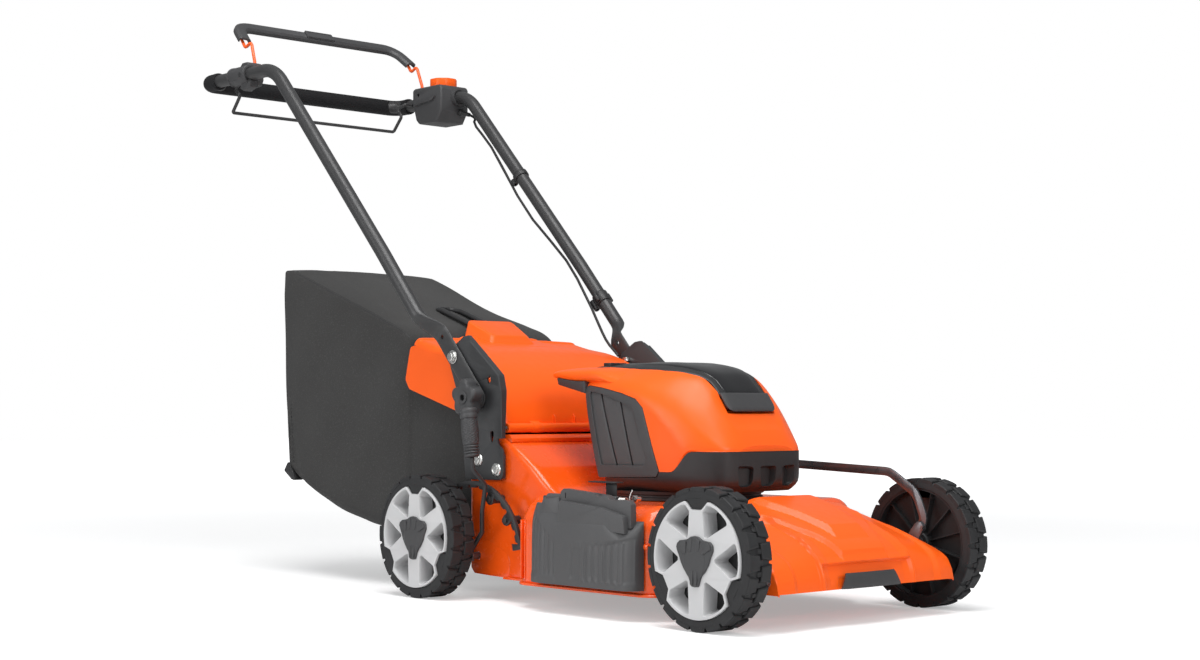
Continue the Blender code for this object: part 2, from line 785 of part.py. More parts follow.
def build_lever(mats):
    """Bent wire lever on the rear crank, with its moulded grip."""
    start_y = -(CRANK_Y + CRANK_THICKNESS + GAP + LEVER_R)
    grip_foot = (0.129, GRIP_Y, 0.236)
    grip_head = (0.118, GRIP_Y, 0.317)
    route = [(REAR_CRANK_X, start_y, CRANK_Z), (0.104, start_y, 0.112),
             (0.124, -0.2300, 0.148), (0.134, -0.2308, 0.190),
             (0.131, GRIP_Y, 0.216), grip_foot]
    wire = tube("height_lever", rounded_path(route, 0.012, 3), LEVER_R, 2)
    keep(wire, "height_lever", mats["black"], (REAR_CRANK_X, start_y, CRANK_Z))
    length = (Vector(grip_head) - Vector(grip_foot)).length
    bellows = []
    for k in range(2):
        base = 0.0015 + 0.008 * k
        bellows += [(GRIP_R * 0.62, base), (GRIP_R * 0.80, base + 0.0015),
                    (GRIP_R * 0.80, base + 0.0035), (GRIP_R * 0.62, base + 0.005)]
    profile = [(0, 0), (GRIP_R * 0.62, 0), *bellows, (GRIP_R * 0.80, 0.021),
               (GRIP_R, 0.052), (GRIP_R * 1.06, 0.060), (GRIP_R * 0.98, 0.070),
               (GRIP_R * 0.62, length - 0.003), (0, length)]
    start = Vector(grip_foot) + (Vector(grip_head) - Vector(grip_foot)).normalized() * GAP
    grip = turned("lever_grip", profile, start, grip_head, 10)
    keep(grip, "lever_grip", mats["grey"], (REAR_CRANK_X, GRIP_Y, CRANK_Z))


# Heights of the nose cover along its middle and along its sides
NOSE_CENTRE = [(0.5465, 0.1725), (0.580, 0.1665), (0.610, 0.159), (0.650, 0.147),
               (0.690, 0.131), (0.715, 0.117), (0.733, 0.100), (0.744, 0.076), (0.747, 0.054)]
NOSE_EDGE = [(0.5465, 0.152), (0.587, 0.141), (0.610, 0.132), (0.652, 0.117), (0.690, 0.104),
             (0.715, 0.094), (0.729, 0.086), (0.738, 0.070), (0.741, 0.054)]


# Deck

def deck_outline():
    """Plan of the deck's walls, counter-clockwise from the front middle."""
    right = [(DECK_FRONT_X, 0.0), (DECK_FRONT_X, 0.085), (DECK_FRONT_X - 0.016, 0.140),
             (DECK_FRONT_STEP_X + 0.018, DECK_FRONT_HALF - 0.004),
             (DECK_FRONT_STEP_X + 0.004, DECK_FRONT_HALF + 0.010),
             (DECK_FRONT_STEP_X - 0.008, DECK_HALF - 0.008),
             (DECK_FRONT_STEP_X - 0.022, DECK_HALF),
             (DECK_TUCK_X + 0.022, DECK_HALF), (DECK_TUCK_X + 0.006, DECK_HALF - 0.008),
             (DECK_TUCK_X - 0.008, DECK_TUCK_HALF + 0.008),
             (DECK_TUCK_X - 0.024, DECK_TUCK_HALF),
             (DECK_REAR_X, DECK_TUCK_HALF), (DECK_REAR_X, 0.0)]
    left_side = right[:-1]
    return left_side + [(x, -y) for x, y in reversed(right) if y > 0 or x == DECK_REAR_X]


def deck_rings(inset, drop, bottom):
    """Stacked outlines of the deck's pan; the top falls away towards the nose."""
    outline = grown(deck_outline(), -inset)
    rings = [[(x, y, bottom) for x, y in outline]]
    for distance, z in ((0.0, DECK_CREASE_Z), (0.012, 0.160), (0.036, DECK_TOP_Z)):
        ring = []
        for x, y in outline:
            ahead = along_table([(0.50, 0.0), (DECK_FRONT_X, distance)], x)
            fall = along_table([(0.52, 0.0), (DECK_FRONT_X, 0.030)], x)
            ring.append((x - ahead, y * (1 - distance / DECK_HALF), z - fall - drop))
        rings.append(ring)
    return rings


CHUTE_LINE = [(0.128, CHUTE_TOP_Z), (0.158, 0.253), (0.205, 0.222), (0.245, 0.190),
              (0.285, 0.171), (0.330, 0.163)]


def chute_solid(name, half, inset, rear):
    """Side profile of the rear tunnel, extruded across the mower."""
    roof = [(x - inset * 0.3, z - inset) for x, z in CHUTE_LINE]
    front = DECK_REAR_X + 0.012 + inset
    floor = [CHUTE_REAR_Z - CHUTE_FLOOR_SLOPE * (x - CHUTE_REAR_X) + inset for x in (front, rear)]
    profile = [(rear, CHUTE_TOP_Z - inset), *roof,
               (0.330, 0.120), (front, floor[0]), (rear, floor[1])]
    return side_plate(name, profile, -half, half)


def under_nose(x):
    """Height just under the nose cover, where the deck's two front ribs carry it."""
    centre = along_table(NOSE_CENTRE, x)
    edge = along_table(NOSE_EDGE, x)
    return centre - 0.55 * (centre - edge) - NOSE_WALL * 1.2 - GAP


def build_deck(mats):
    tunnel_half = DECK_TUCK_HALF - 0.0006
    outer = loft("deck_shell", deck_rings(0.0, 0.0, DECK_BOTTOM_Z))
    flange = floor_plate("flange", grown(deck_outline(), FLANGE), DECK_BOTTOM_Z,
                         DECK_BOTTOM_Z + FLANGE_HEIGHT)
    tunnel = bevelled(chute_solid("tunnel", tunnel_half, 0.0, CHUTE_REAR_X), 0.010, 1, 40)
    outer = join(outer, tunnel, flange)
    inner = loft("pan", deck_rings(DECK_WALL, DECK_WALL, DECK_BOTTOM_Z - 0.01))
    duct = bevelled(chute_solid("duct", tunnel_half - 0.0032, CHUTE_WALL, CHUTE_REAR_X - 0.03),
                    0.0095, 1, 40)
    deck = cut(outer, join(inner, duct))
    skirt = [(CHUTE_REAR_X + 0.0071, 0.115), (CHUTE_REAR_X + 0.0071, 0.062),
             (CHUTE_REAR_X + 0.014, 0.054), (REAR_CRANK_X + 0.020, 0.054),
             (REAR_CRANK_X + 0.032, 0.062), (DECK_REAR_X + 0.0013, 0.062),
             (DECK_REAR_X + 0.0013, 0.115)]
    for side in (-1, 1):
        y0, y1 = sorted((side * (tunnel_half - 0.0004), side * (tunnel_half - 0.0029)))
        deck = join(deck, side_plate("skirt", skirt, y0, y1))
    mouth = block("mouth", (FLAP_REAR_X + 0.030, -DECK_HALF - 0.02, 0.066),
                  (FLAP_FRONT_X - 0.030, -DECK_HALF + 0.015, 0.134))
    shaft = rod("shaft", (MOTOR_X, 0, 0.1), (MOTOR_X, 0, 0.2), SHAFT_R + 0.006, 16)
    rear_bore = across("bore", REAR_CRANK_X, CRANK_Z, AXLE_R + RUNNING, -0.25, 0.25, 12)
    deck = cut(deck, mouth, shaft, rear_bore)
    lug_x = DECK_FRONT_X - 0.027
    ridge = [(x, under_nose(x)) for x in (0.700, 0.650, 0.610, lug_x)]
    lug = [(lug_x, 0.056), *arc((FRONT_CRANK_X, CRANK_Z), 0.0105, -80, 60, 5), *ridge]
    for y in (-0.160, 0.156):
        deck = join(deck, side_plate("lug", lug, y, y + 0.004))
    front_bore = across("bore", FRONT_CRANK_X, CRANK_Z, AXLE_R + RUNNING, -0.25, 0.25, 12)
    deck = cut(deck, front_bore)
    return keep(deck, "deck_shell", mats["paint"])


# Nose cover

def nose_rows(stations=None):
    """Rows across the nose cover, from its rear edge to its front lip."""
    rows = []
    stations = stations or [x for x, _ in NOSE_CENTRE]
    last = NOSE_CENTRE[-1][0]
    for x in stations:
        centre = along_table(NOSE_CENTRE, x)
        share = (x - NOSE_REAR_X) / (last - NOSE_REAR_X)
        edge_x = x - 0.006 * share
        edge = along_table(NOSE_EDGE, edge_x)
        bulge = along_table([(0.5465, 0.0), (0.60, 0.005), (0.68, 0.007), (0.72, 0.0)], x)
        half = NOSE_HALF
        hem = min(edge - 0.004, along_table([(0.5465, 0.110), (0.60, 0.072),
                                             (0.66, NOSE_BOTTOM_Z)], x))
        hem = max(hem, NOSE_BOTTOM_Z - 0.003 * (1 - share))
        drop = centre - edge
        side = [(0.0, centre + bulge), (0.045, centre + bulge), (0.062, centre - 0.02 * drop),
                (0.110, centre - 0.20 * drop), (0.160, centre - 0.55 * drop),
                (half - 0.010, edge), (half, edge - 0.006), (half, hem)]
        row = []
        for y, z in reversed(side[1:]):
            row.append((edge_x + (x - edge_x) * (1 - y / half) ** 0.5, -y, z))
        for y, z in side:
            row.append((edge_x + (x - edge_x) * (1 - y / half) ** 0.5, y, z))
        rows.append(row)
    return rows


def build_nose(mats):
    nose = thickened(sheet("nose_cover", nose_rows()), NOSE_WALL, 1.0)
    for side in (-1, 1):
        y0, y1 = sorted((side * (NOSE_HALF - 0.02), side * (NOSE_HALF + 0.02)))
        nose = cut(nose, across("hole", FRONT_CRANK_X, CRANK_Z, AXLE_R + 0.0012, y0, y1, 12))
    keep(nose, "nose_cover", mats["orange"])


# Motor head

HEAD_X = [0.247, 0.262, 0.300, 0.340, 0.380, 0.420, 0.455, 0.485, 0.508, 0.524, 0.536, 0.542]
HEAD_HALF = [(0.247, 0.1225), (0.262, 0.127), (0.300, 0.130), (0.380, 0.130), (0.420, 0.1275),
             (0.455, 0.122), (0.485, 0.113), (0.508, 0.103), (0.524, 0.093), (0.536, 0.080),
             (0.542, 0.060)]
HEAD_TOP = [(0.247, 0.376), (0.262, 0.381), (0.300, 0.387), (0.340, 0.389), (0.380, 0.388),
            (0.420, 0.383), (0.455, 0.372), (0.485, 0.348), (0.508, 0.318), (0.524, 0.292),
            (0.536, 0.270), (0.542, 0.258)]
HEAD_SHOULDER = [(0.247, 0.350), (0.300, 0.352), (0.340, 0.348), (0.380, 0.340),
                 (0.420, 0.326), (0.455, 0.308), (0.485, 0.290), (0.508, 0.274),
                 (0.524, 0.263), (0.536, 0.256), (0.542, 0.252)]


def head_half_section(x, bottom):
    """Half of the motor head's section, from its top middle down to the seam."""
    half = along_table(HEAD_HALF, x)
    top = along_table(HEAD_TOP, x)
    shoulder = along_table(HEAD_SHOULDER, x)
    rise = top - shoulder
    return [(0.0, top), (0.34 * half, top - 0.01 * rise), (0.60 * half, top - 0.16 * rise),
            (0.80 * half, top - 0.52 * rise), (0.925 * half, shoulder + 0.10 * rise),
            (0.975 * half, shoulder - 0.22 * (shoulder - bottom)),
            (half, bottom + 0.30 * (shoulder - bottom)), (half, bottom)]


def head_seam(x):
    return along_table([(0.455, SEAM_Z), (0.485, SEAM_FRONT_Z)], x)


def head_ring(x, bottom, inset=0.0):
    half = head_half_section(x, bottom)
    ring = [(y, z) for y, z in half] + [(-y, z) for y, z in reversed(half[1:])]
    if inset:
        ring = grown(ring, -inset)
    return [(x, y, z) for y, z in ring]


def head_solid(name, bottom, inset=0.0, stations=HEAD_X):
    """The cover's outer form, or its hollow when inset."""
    xs = list(stations)
    if inset:
        xs = [xs[0] + inset] + xs[1:-1] + [xs[-1] - inset]
    rings = [head_ring(x, bottom(x) if callable(bottom) else bottom, inset) for x in xs]
    return loft(name, rings)


def vent_outline(shift=0.0):
    outline = [(0.2530, 0.3492), (0.262, 0.351), (0.385, 0.328), (0.397, 0.318),
               (0.430, 0.224), (0.424, 0.214), (0.415, 0.210), (0.297, 0.206)]
    return grown(outline, -shift)


def both_sides(right, inset):
    """A plan from its right half, drawn in by an inset."""
    return grown(right + [(x, -y) for x, y in reversed(right)], -inset)


def lid_outline(shift=0.0):
    """Plan of the battery lid."""
    return both_sides(LID_PLAN, shift)


def lid_form(name, inset, bottom):
    """Lid walls that draw back towards their lower edge, so the lid swings clear."""
    plan = both_sides(LID_PLAN, inset)
    foot = both_sides(LID_FOOT, inset)
    seam = LID_SEAM + LID_SEAM[::-1]
    rings = [[(x, y, z) for (x, y), z in zip(plan, seam)], [(x, y, 0.45) for x, y in plan]]
    low = [[(x, y, LEDGE_Z + GAP) for x, y in foot]]
    if bottom < LEDGE_Z:
        low.insert(0, [(x, y, bottom) for x, y in foot])
    return loft(name, low + rings)


def build_head(mats):
    """Orange cover over a black base, with a lid, two vent panels and what they hold."""
    cover = head_solid("motor_cover", head_seam)
    lip = [(0.180, 0.366), (0.184, 0.372), (0.215, 0.380), (0.262, 0.384), (0.300, 0.384),
           (0.300, 0.356), (0.240, 0.352), (0.190, 0.361)]
    tail = bevelled(side_plate("tail", lip, -0.118, 0.118), 0.003, 1, 30)
    corner = floor_plate("corner", [(0.17, -0.085), (0.205, -0.125), (0.32, -0.13), (0.32, 0.13),
                                    (0.205, 0.125), (0.17, 0.085)], 0.3, 0.42)
    cover = join(cover, common(tail, corner))
    recess = floor_plate("recess", lid_outline(-0.0006), LEDGE_Z, 0.45)
    front = side_plate("front", [(0.440, SILL_Z), (LID_FRONT_X + 0.005, SILL_Z),
                                 (0.541, 0.2865), (0.541, 0.46), (0.440, 0.46)],
                       -PANEL_HALF - 0.0005, PANEL_HALF + 0.0005)
    cover = cut(cover, recess, front)
    hollow = head_solid("hollow", lambda x: head_seam(x) - 0.02, HEAD_SKIN)
    tray = floor_plate("tray", lid_outline(-0.0036), LEDGE_Z - HEAD_SKIN, 0.45)
    sill = side_plate("sill", [(0.440, SILL_Z - HEAD_SKIN), (0.4865, SILL_Z - HEAD_SKIN),
                               (0.560, 0.2760), (0.560, 0.46), (0.440, 0.46)],
                      -0.0700, 0.0700)
    cover = cut(cover, cut(hollow, tray, sill))
    bay = block("bay", (PACK_REAR_X - GAP, -PACK_HALF - GAP, 0.25),
                (PACK_FRONT_X + GAP, PACK_HALF + GAP, 0.45))
    cover = cut(cover, bay)
    for side in (-1, 1):
        y0, y1 = sorted((side * 0.095, side * 0.150))
        cover = cut(cover, side_plate("vent", vent_outline(), y0, y1))
    keep(cover, "motor_cover", mats["orange"])

    build_lid(mats)
    build_vents(mats)
    build_base(mats)


def build_lid(mats):
    form = head_solid("battery_lid", SEAM_Z)
    lid = common(form, lid_form("plan", 0.0, LEDGE_Z + GAP))
    hollow = common(head_solid("hollow", SEAM_Z, 0.004), lid_form("plan", 0.004, 0.25))
    lid = cut(lid, hollow)
    split = block("split", (0.462, -0.1, 0.2), (0.6, 0.1, 0.362))
    heel = block("heel", (0.250, -0.1, 0.2), (0.310, 0.1, 0.354))
    lid = cut(lid, join(split, heel))
    keep(lid, "battery_lid", mats["lid"], (LID_REAR_X, 0, LID_HINGE_Z))

    panel = common(head_solid("lid_panel", SEAM_Z),
                   block("plan", (LID_FRONT_X - 0.0225, -PANEL_HALF, SILL_Z + 0.0005),
                         (LID_FRONT_X + 0.0035, PANEL_HALF, 0.3617)))
    panel = cut(panel, block("back", (0.45, -0.045, 0.30), (LID_FRONT_X - 0.0105, 0.045, 0.355)))
    keep(panel, "lid_panel", mats["grey"], (LID_REAR_X, 0, LID_HINGE_Z))

    pack = block("battery_pack", (PACK_REAR_X, -PACK_HALF, 0.245),
                 (PACK_FRONT_X, PACK_HALF, 0.340))
    pack = bevelled(pack, 0.006, 1)
    keep(pack, "battery_pack", mats["black"])


def build_vents(mats):
    """Grey side panels with three slanted grooves each."""
    form = head_solid("form", lambda x: SEAM_Z - 0.02)
    inside = head_solid("inside", lambda x: SEAM_Z - 0.03, HEAD_SKIN)
    panel = common(form, side_plate("plate", vent_outline(GAP * 1.2), -0.150, -0.095))
    panel = cut(panel, inside)
    proud = 0.0016
    panel = moved(panel, Matrix.Translation((0, -proud, 0)))
    for k in range(4):
        x = 0.268 + 0.034 * k
        groove = side_plate("groove", [(x, 0.343 - 0.008 * k), (x + 0.004, 0.343 - 0.008 * k),
                                       (x + 0.052, 0.222), (x + 0.048, 0.222)],
                            -0.150, -0.1285)
        panel = cut(panel, groove)
    other = mirrored(panel, "vent_panel_left")
    keep(panel, "vent_panel_right", mats["grey"])
    keep(other, "vent_panel_left", mats["grey"])


def base_outline():
    """Plan of the black base."""
    right = [(0.297, 0.112), (0.310, 0.126), (0.380, 0.130), (0.420, 0.1275),
             (0.455, 0.122), (0.485, 0.113), (0.508, 0.103), (0.524, 0.093), (0.536, 0.080),
             (0.542, 0.060), (0.545, 0.0)]
    outline = right + [(x, -y) for x, y in reversed(right[:-1])]
    return outline


def build_base(mats):
    outline = base_outline()
    low = grown(outline, -0.014)
    top = SEAM_FRONT_Z + 0.001
    rings = [[(x, y, BASE_BOTTOM_Z) for x, y in low],
             [(x, y, BASE_BOTTOM_Z + 0.012) for x, y in outline],
             [(x, y, top) for x, y in outline]]
    base = loft("motor_base", rings)
    seam = side_plate("seam", [(0.1, SEAM_Z - GAP), (0.455, SEAM_Z - GAP),
                               (0.485, SEAM_FRONT_Z - GAP), (0.7, SEAM_FRONT_Z - GAP),
                               (0.7, 0.4), (0.1, 0.4)], -0.2, 0.2)
    base = cut(base, seam)
    pit_low = grown(outline, -0.018)
    pit_wide = grown(outline, -0.004)
    pit = loft("pit", [[(x, y, BASE_BOTTOM_Z + 0.004) for x, y in pit_low],
                       [(x, y, BASE_BOTTOM_Z + 0.014) for x, y in pit_wide],
                       [(x, y, 0.4) for x, y in pit_wide]])
    base = cut(base, pit)
    for side in (-1, 0, 1):
        slot = bevelled(block("slot", (0.520, side * 0.044 - 0.013, 0.205),
                              (0.560, side * 0.044 + 0.013, 0.236)), 0.003, 1)
        base = cut(base, slot)
    foot = vent_outline(-0.0005)
    for side in (-1, 1):
        y0, y1 = sorted((side * 0.10, side * 0.150))
        base = cut(base, side_plate("foot", foot, y0, y1))
    shaft = rod("hole", (MOTOR_X, 0, 0.15), (MOTOR_X, 0, 0.3), 0.030, 20)
    base = cut(base, shaft)
    keep(base, "motor_base", mats["black"])

    plinth = rod("motor_plinth", (MOTOR_X, 0, DECK_TOP_Z + GAP),
                 (MOTOR_X, 0, BASE_BOTTOM_Z - GAP), PLINTH_R, 28)
    plinth = cut(plinth, block("rear", (0.2, -0.2, 0.1), (0.2935, 0.2, 0.25)))
    plinth = cut(plinth, rod("hole", (MOTOR_X, 0, 0.15), (MOTOR_X, 0, 0.3), 0.030, 20))
    keep(plinth, "motor_plinth", mats["black"])

    floor = BASE_BOTTOM_Z + 0.004 + GAP
    profile = [(0, floor), (MOTOR_R * 0.94, floor), (MOTOR_R, floor + 0.003),
               (MOTOR_R, floor + MOTOR_HEIGHT - 0.004),
               (MOTOR_R * 0.9, floor + MOTOR_HEIGHT), (0, floor + MOTOR_HEIGHT)]
    motor = turned("motor", profile, (MOTOR_X, 0, 0), (MOTOR_X, 0, 1), 16)
    nose_of_motor = rod("spigot", (MOTOR_X, 0, DECK_TOP_Z + GAP), (MOTOR_X, 0, floor + 0.001),
                        0.028, 20)
    motor = join(motor, nose_of_motor)
    motor = cut(motor, rod("bore", (MOTOR_X, 0, 0.1), (MOTOR_X, 0, floor + 0.030),
                           SHAFT_R + RUNNING, 16))
    keep(motor, "motor", mats["steel"])


def build_blade(mats):
    """Flat blade with turned-up tips, on its adapter and shaft."""
    half = BLADE_WIDTH / 2
    plan = [(-BLADE_R + 0.002, -half), (BLADE_R - 0.03, -half), (BLADE_R, -half + 0.012),
            (BLADE_R - 0.002, half), (-BLADE_R + 0.03, half), (-BLADE_R, half - 0.012)]
    plan = [(MOTOR_X + y, x) for x, y in plan]
    blade = floor_plate("blade", plan, BLADE_Z, BLADE_Z + BLADE_THICKNESS)
    for side in (-1, 1):
        y0, y1 = sorted((side * (BLADE_R - 0.055), side * (BLADE_R - 0.006)))
        x0 = MOTOR_X - side * (half - 0.001)
        x1 = MOTOR_X - side * (half - 0.008)
        x0, x1 = sorted((x0, x1))
        sail = block("sail", (x0, y0, BLADE_Z + 0.001), (x1, y1, BLADE_Z + 0.014))
        blade = join(blade, sail)
    blade = cut(blade, rod("hole", (MOTOR_X, 0, 0), (MOTOR_X, 0, 0.1), 0.0065, 16))
    keep(blade, "blade", mats["steel"], (MOTOR_X, 0, BLADE_Z))
    shaft = rod("blade_shaft", (MOTOR_X, 0, BLADE_Z + BLADE_THICKNESS + GAP),
                (MOTOR_X, 0, 0.215), SHAFT_R, 16)
    adapter = rod("adapter", (MOTOR_X, 0, BLADE_Z + BLADE_THICKNESS + GAP),
                  (MOTOR_X, 0, BLADE_Z + 0.022), 0.032, 20, 0.020)
    bolt = rod("bolt", (MOTOR_X, 0, BLADE_Z - 0.002), (MOTOR_X, 0, 0.09), 0.006, 12)
    head = rod("head", (MOTOR_X, 0, BLADE_Z - 0.012), (MOTOR_X, 0, BLADE_Z - GAP), 0.012, 6)
    shaft = join(shaft, adapter, bolt, head)
    keep(shaft, "blade_shaft", mats["steel"], (MOTOR_X, 0, BLADE_Z))


# Handle brackets, bolts and knobs

def build_brackets(mats):
    """Folded plates bolted to the tunnel's sides."""
    outline = [(0.022, 0.196), (0.146, 0.198), (0.151, 0.214), (0.146, 0.252),
               (0.127, 0.262), (0.130, 0.345), (0.124, 0.362), (0.074, 0.432),
               (0.056, 0.446), (0.036, 0.440), (-0.002, 0.414), (-0.004, 0.392), (0.006, 0.300)]
    slot = [*arc((0.112, 0.272), 0.004, 0, 180, 5), *arc((0.112, 0.262), 0.004, 180, 360, 5)]
    plate = side_plate("bracket", outline, -BRACKET_OUTER, -BRACKET_INNER, [slot])
    flange_path = [(0.128, 0.268), (0.131, 0.345), (0.125, 0.362), (0.075, 0.432)]
    flange = side_plate("flange", [*flange_path, *[(x - 0.005, z - 0.002) for x, z
                                                   in reversed(flange_path)]],
                        -BRACKET_OUTER - 0.009, -BRACKET_OUTER + 0.001)
    plate = join(plate, flange)
    for x, z in ((REAR_CRANK_X - 0.006, 0.225), (0.135, 0.216)):
        head = across("head", x, z, 0.0085, -BRACKET_OUTER - 0.0055, -BRACKET_OUTER + 0.001, 6)
        washer = across("washer", x, z, 0.011, -BRACKET_OUTER - 0.0015,
                        -BRACKET_OUTER + 0.001, 10)
        plate = join(plate, washer, head)
    spacer = block("spacer", (0.030, -BRACKET_INNER - 0.001, 0.200),
                   (0.146, -DECK_TUCK_HALF - GAP, 0.240))
    plate = join(plate, spacer)
    for x, z in ((PIVOT_X, PIVOT_Z), (KNOB_X, KNOB_Z)):
        plate = cut(plate, across("hole", x, z, BOLT_R + RUNNING, -0.3, -0.1, 16))
    other = mirrored(plate, "handle_bracket_left")
    keep(plate, "handle_bracket_right", mats["bracket"])
    keep(other, "handle_bracket_left", mats["bracket"])

    outer = FLAT_Y + FLAT_HALF_THICKNESS + GAP
    bolt = across("bolt", PIVOT_X, PIVOT_Z, BOLT_R, -outer - 0.001, -BRACKET_INNER + 0.008, 12)
    washer = across("washer", PIVOT_X, PIVOT_Z, 0.0115, -outer - 0.002, -outer, 16)
    head = across("head", PIVOT_X, PIVOT_Z, 0.0078, -outer - 0.0085, -outer - 0.001, 6)
    nut = across("nut", PIVOT_X, PIVOT_Z, 0.0078, -BRACKET_INNER + GAP,
                 -BRACKET_INNER + 0.0068, 6)
    bolt = join(bolt, washer, head, nut)
    other = mirrored(bolt, "handle_bolt_left")
    keep(bolt, "handle_bolt_right", mats["zinc"])
    keep(other, "handle_bolt_left", mats["zinc"])

    points = []
    for k in range(25):
        angle = 2 * math.pi * k / 25
        lobe_height = 0.5 + 0.5 * math.cos(5 * (angle - math.pi / 2))
        points.append(polar(0.0235 + 0.0085 * lobe_height ** 0.7, angle, (KNOB_X, KNOB_Z)))
    knob = side_plate("knob", points, -outer - 0.0310, -outer - 0.008)
    skirt = across("skirt", KNOB_X, KNOB_Z, 0.021, -outer - 0.010, -outer - 0.001, 14)
    washer = across("washer", KNOB_X, KNOB_Z, 0.013, -outer - 0.003, -outer, 14)
    stud = across("stud", KNOB_X, KNOB_Z, BOLT_R, -outer - 0.002, -BRACKET_INNER + 0.006, 12)
    socket = across("socket", KNOB_X, KNOB_Z, 0.006, -outer - 0.04, -outer - 0.024, 6)
    knob = cut(join(knob, skirt, washer, stud), socket)
    other = mirrored(knob, "star_knob_left")
    keep(knob, "star_knob_right", mats["grey"], (KNOB_X, -outer, KNOB_Z))
    keep(other, "star_knob_left", mats["grey"], (KNOB_X, outer, KNOB_Z))


# Handlebar

def build_tubes(mats):
    """Side tubes with flattened, slotted feet; the top bends back into the grip's sleeves."""
    foot = Vector((KNOB_X + 0.0135, -FLAT_Y, KNOB_Z - 0.0148))
    pivot = Vector((PIVOT_X, -FLAT_Y, PIVOT_Z))
    up = (pivot - foot).normalized()
    flat_end = pivot + up * 0.050
    bend = Vector((TUBE_BEND_X, -TUBE_Y, TUBE_BEND_Z))
    top = Vector((TUBE_TOP_X, -TUBE_Y, TUBE_TOP_Z))
    end = Vector((SLEEVE_FRONT_X - 0.020, -TUBE_Y, TUBE_TOP_Z))
    lean = flat_end + (bend - flat_end) * 0.12
    path = [foot, pivot - up * 0.010, flat_end, lean]
    path += rounded_path([lean, bend, top, end], 0.055, 4)[1:]
    sections = []
    for i, point in enumerate(path):
        if i == 0:
            sections.append(ellipse(FLAT_HALF_THICKNESS, FLAT_HALF_WIDTH * 0.8))
        elif i <= 2:
            sections.append(ellipse(FLAT_HALF_THICKNESS, FLAT_HALF_WIDTH))
        elif i == 3:
            sections.append(ellipse(0.0090, 0.0150))
        else:
            sections.append(ellipse(TUBE_R, TUBE_R))
    squared = []
    for section in sections[:3]:
        flat = [(math.copysign(min(abs(u) * 1.35, FLAT_HALF_THICKNESS), u), v)
                for u, v in section]
        squared.append(flat)
    side = swept("tube", path, squared + sections[3:], (0, 1, 0))
    side = cut(side, across("hole", PIVOT_X, PIVOT_Z, BOLT_R + RUNNING, -0.3, -0.1, 16))
    reach = math.hypot(KNOB_X - PIVOT_X, KNOB_Z - PIVOT_Z)
    stud_angle = math.degrees(math.atan2(KNOB_Z - PIVOT_Z, KNOB_X - PIVOT_X))
    centre = (PIVOT_X, PIVOT_Z)
    play = BOLT_R + 0.0012
    slot = arc(centre, reach + play, stud_angle - 3.5, stud_angle + 25, 6)
    slot += list(reversed(arc(centre, reach - play, stud_angle - 3.5, stud_angle + 25, 6)))
    side = cut(side, side_plate("slot", slot, -0.3, -0.1))
    other = mirrored(side, "handle_tube_left")
    keep(side, "handle_tube_right", mats["tube"], (PIVOT_X, 0, PIVOT_Z))
    keep(other, "handle_tube_left", mats["tube"], (PIVOT_X, 0, PIVOT_Z))


def build_grip(mats):
    """U-shaped grip tube with a foam sleeve."""
    start_x = SLEEVE_REAR_X + 0.020
    corner = [(start_x, -TUBE_Y, TUBE_TOP_Z), (GRIP_X, -TUBE_Y, TUBE_TOP_Z - 0.002),
              (GRIP_X, TUBE_Y, TUBE_TOP_Z - 0.002), (start_x, TUBE_Y, TUBE_TOP_Z)]
    bar = tube("grip_tube", rounded_path(corner, GRIP_BEND, 5), TUBE_R, 3)
    keep(bar, "grip_tube", mats["tube"], (PIVOT_X, 0, PIVOT_Z))
    height = TUBE_TOP_Z - 0.002 * (FOAM_START_X - start_x) / (GRIP_X - start_x)
    corner = [(FOAM_START_X, -TUBE_Y, height), (GRIP_X, -TUBE_Y, TUBE_TOP_Z - 0.002),
              (GRIP_X, TUBE_Y, TUBE_TOP_Z - 0.002), (FOAM_START_X, TUBE_Y, height)]
    foam = tube("grip_foam", rounded_path(corner, GRIP_BEND, 5), FOAM_R, 2)
    corner = [(start_x + 0.02, -TUBE_Y, TUBE_TOP_Z), *corner[1:3],
              (start_x + 0.02, TUBE_Y, TUBE_TOP_Z)]
    bore = tube("bore", rounded_path(corner, GRIP_BEND, 5), TUBE_R + 0.0016, 2)
    foam = cut(foam, bore)
    keep(foam, "grip_foam", mats["foam"], (PIVOT_X, 0, PIVOT_Z))


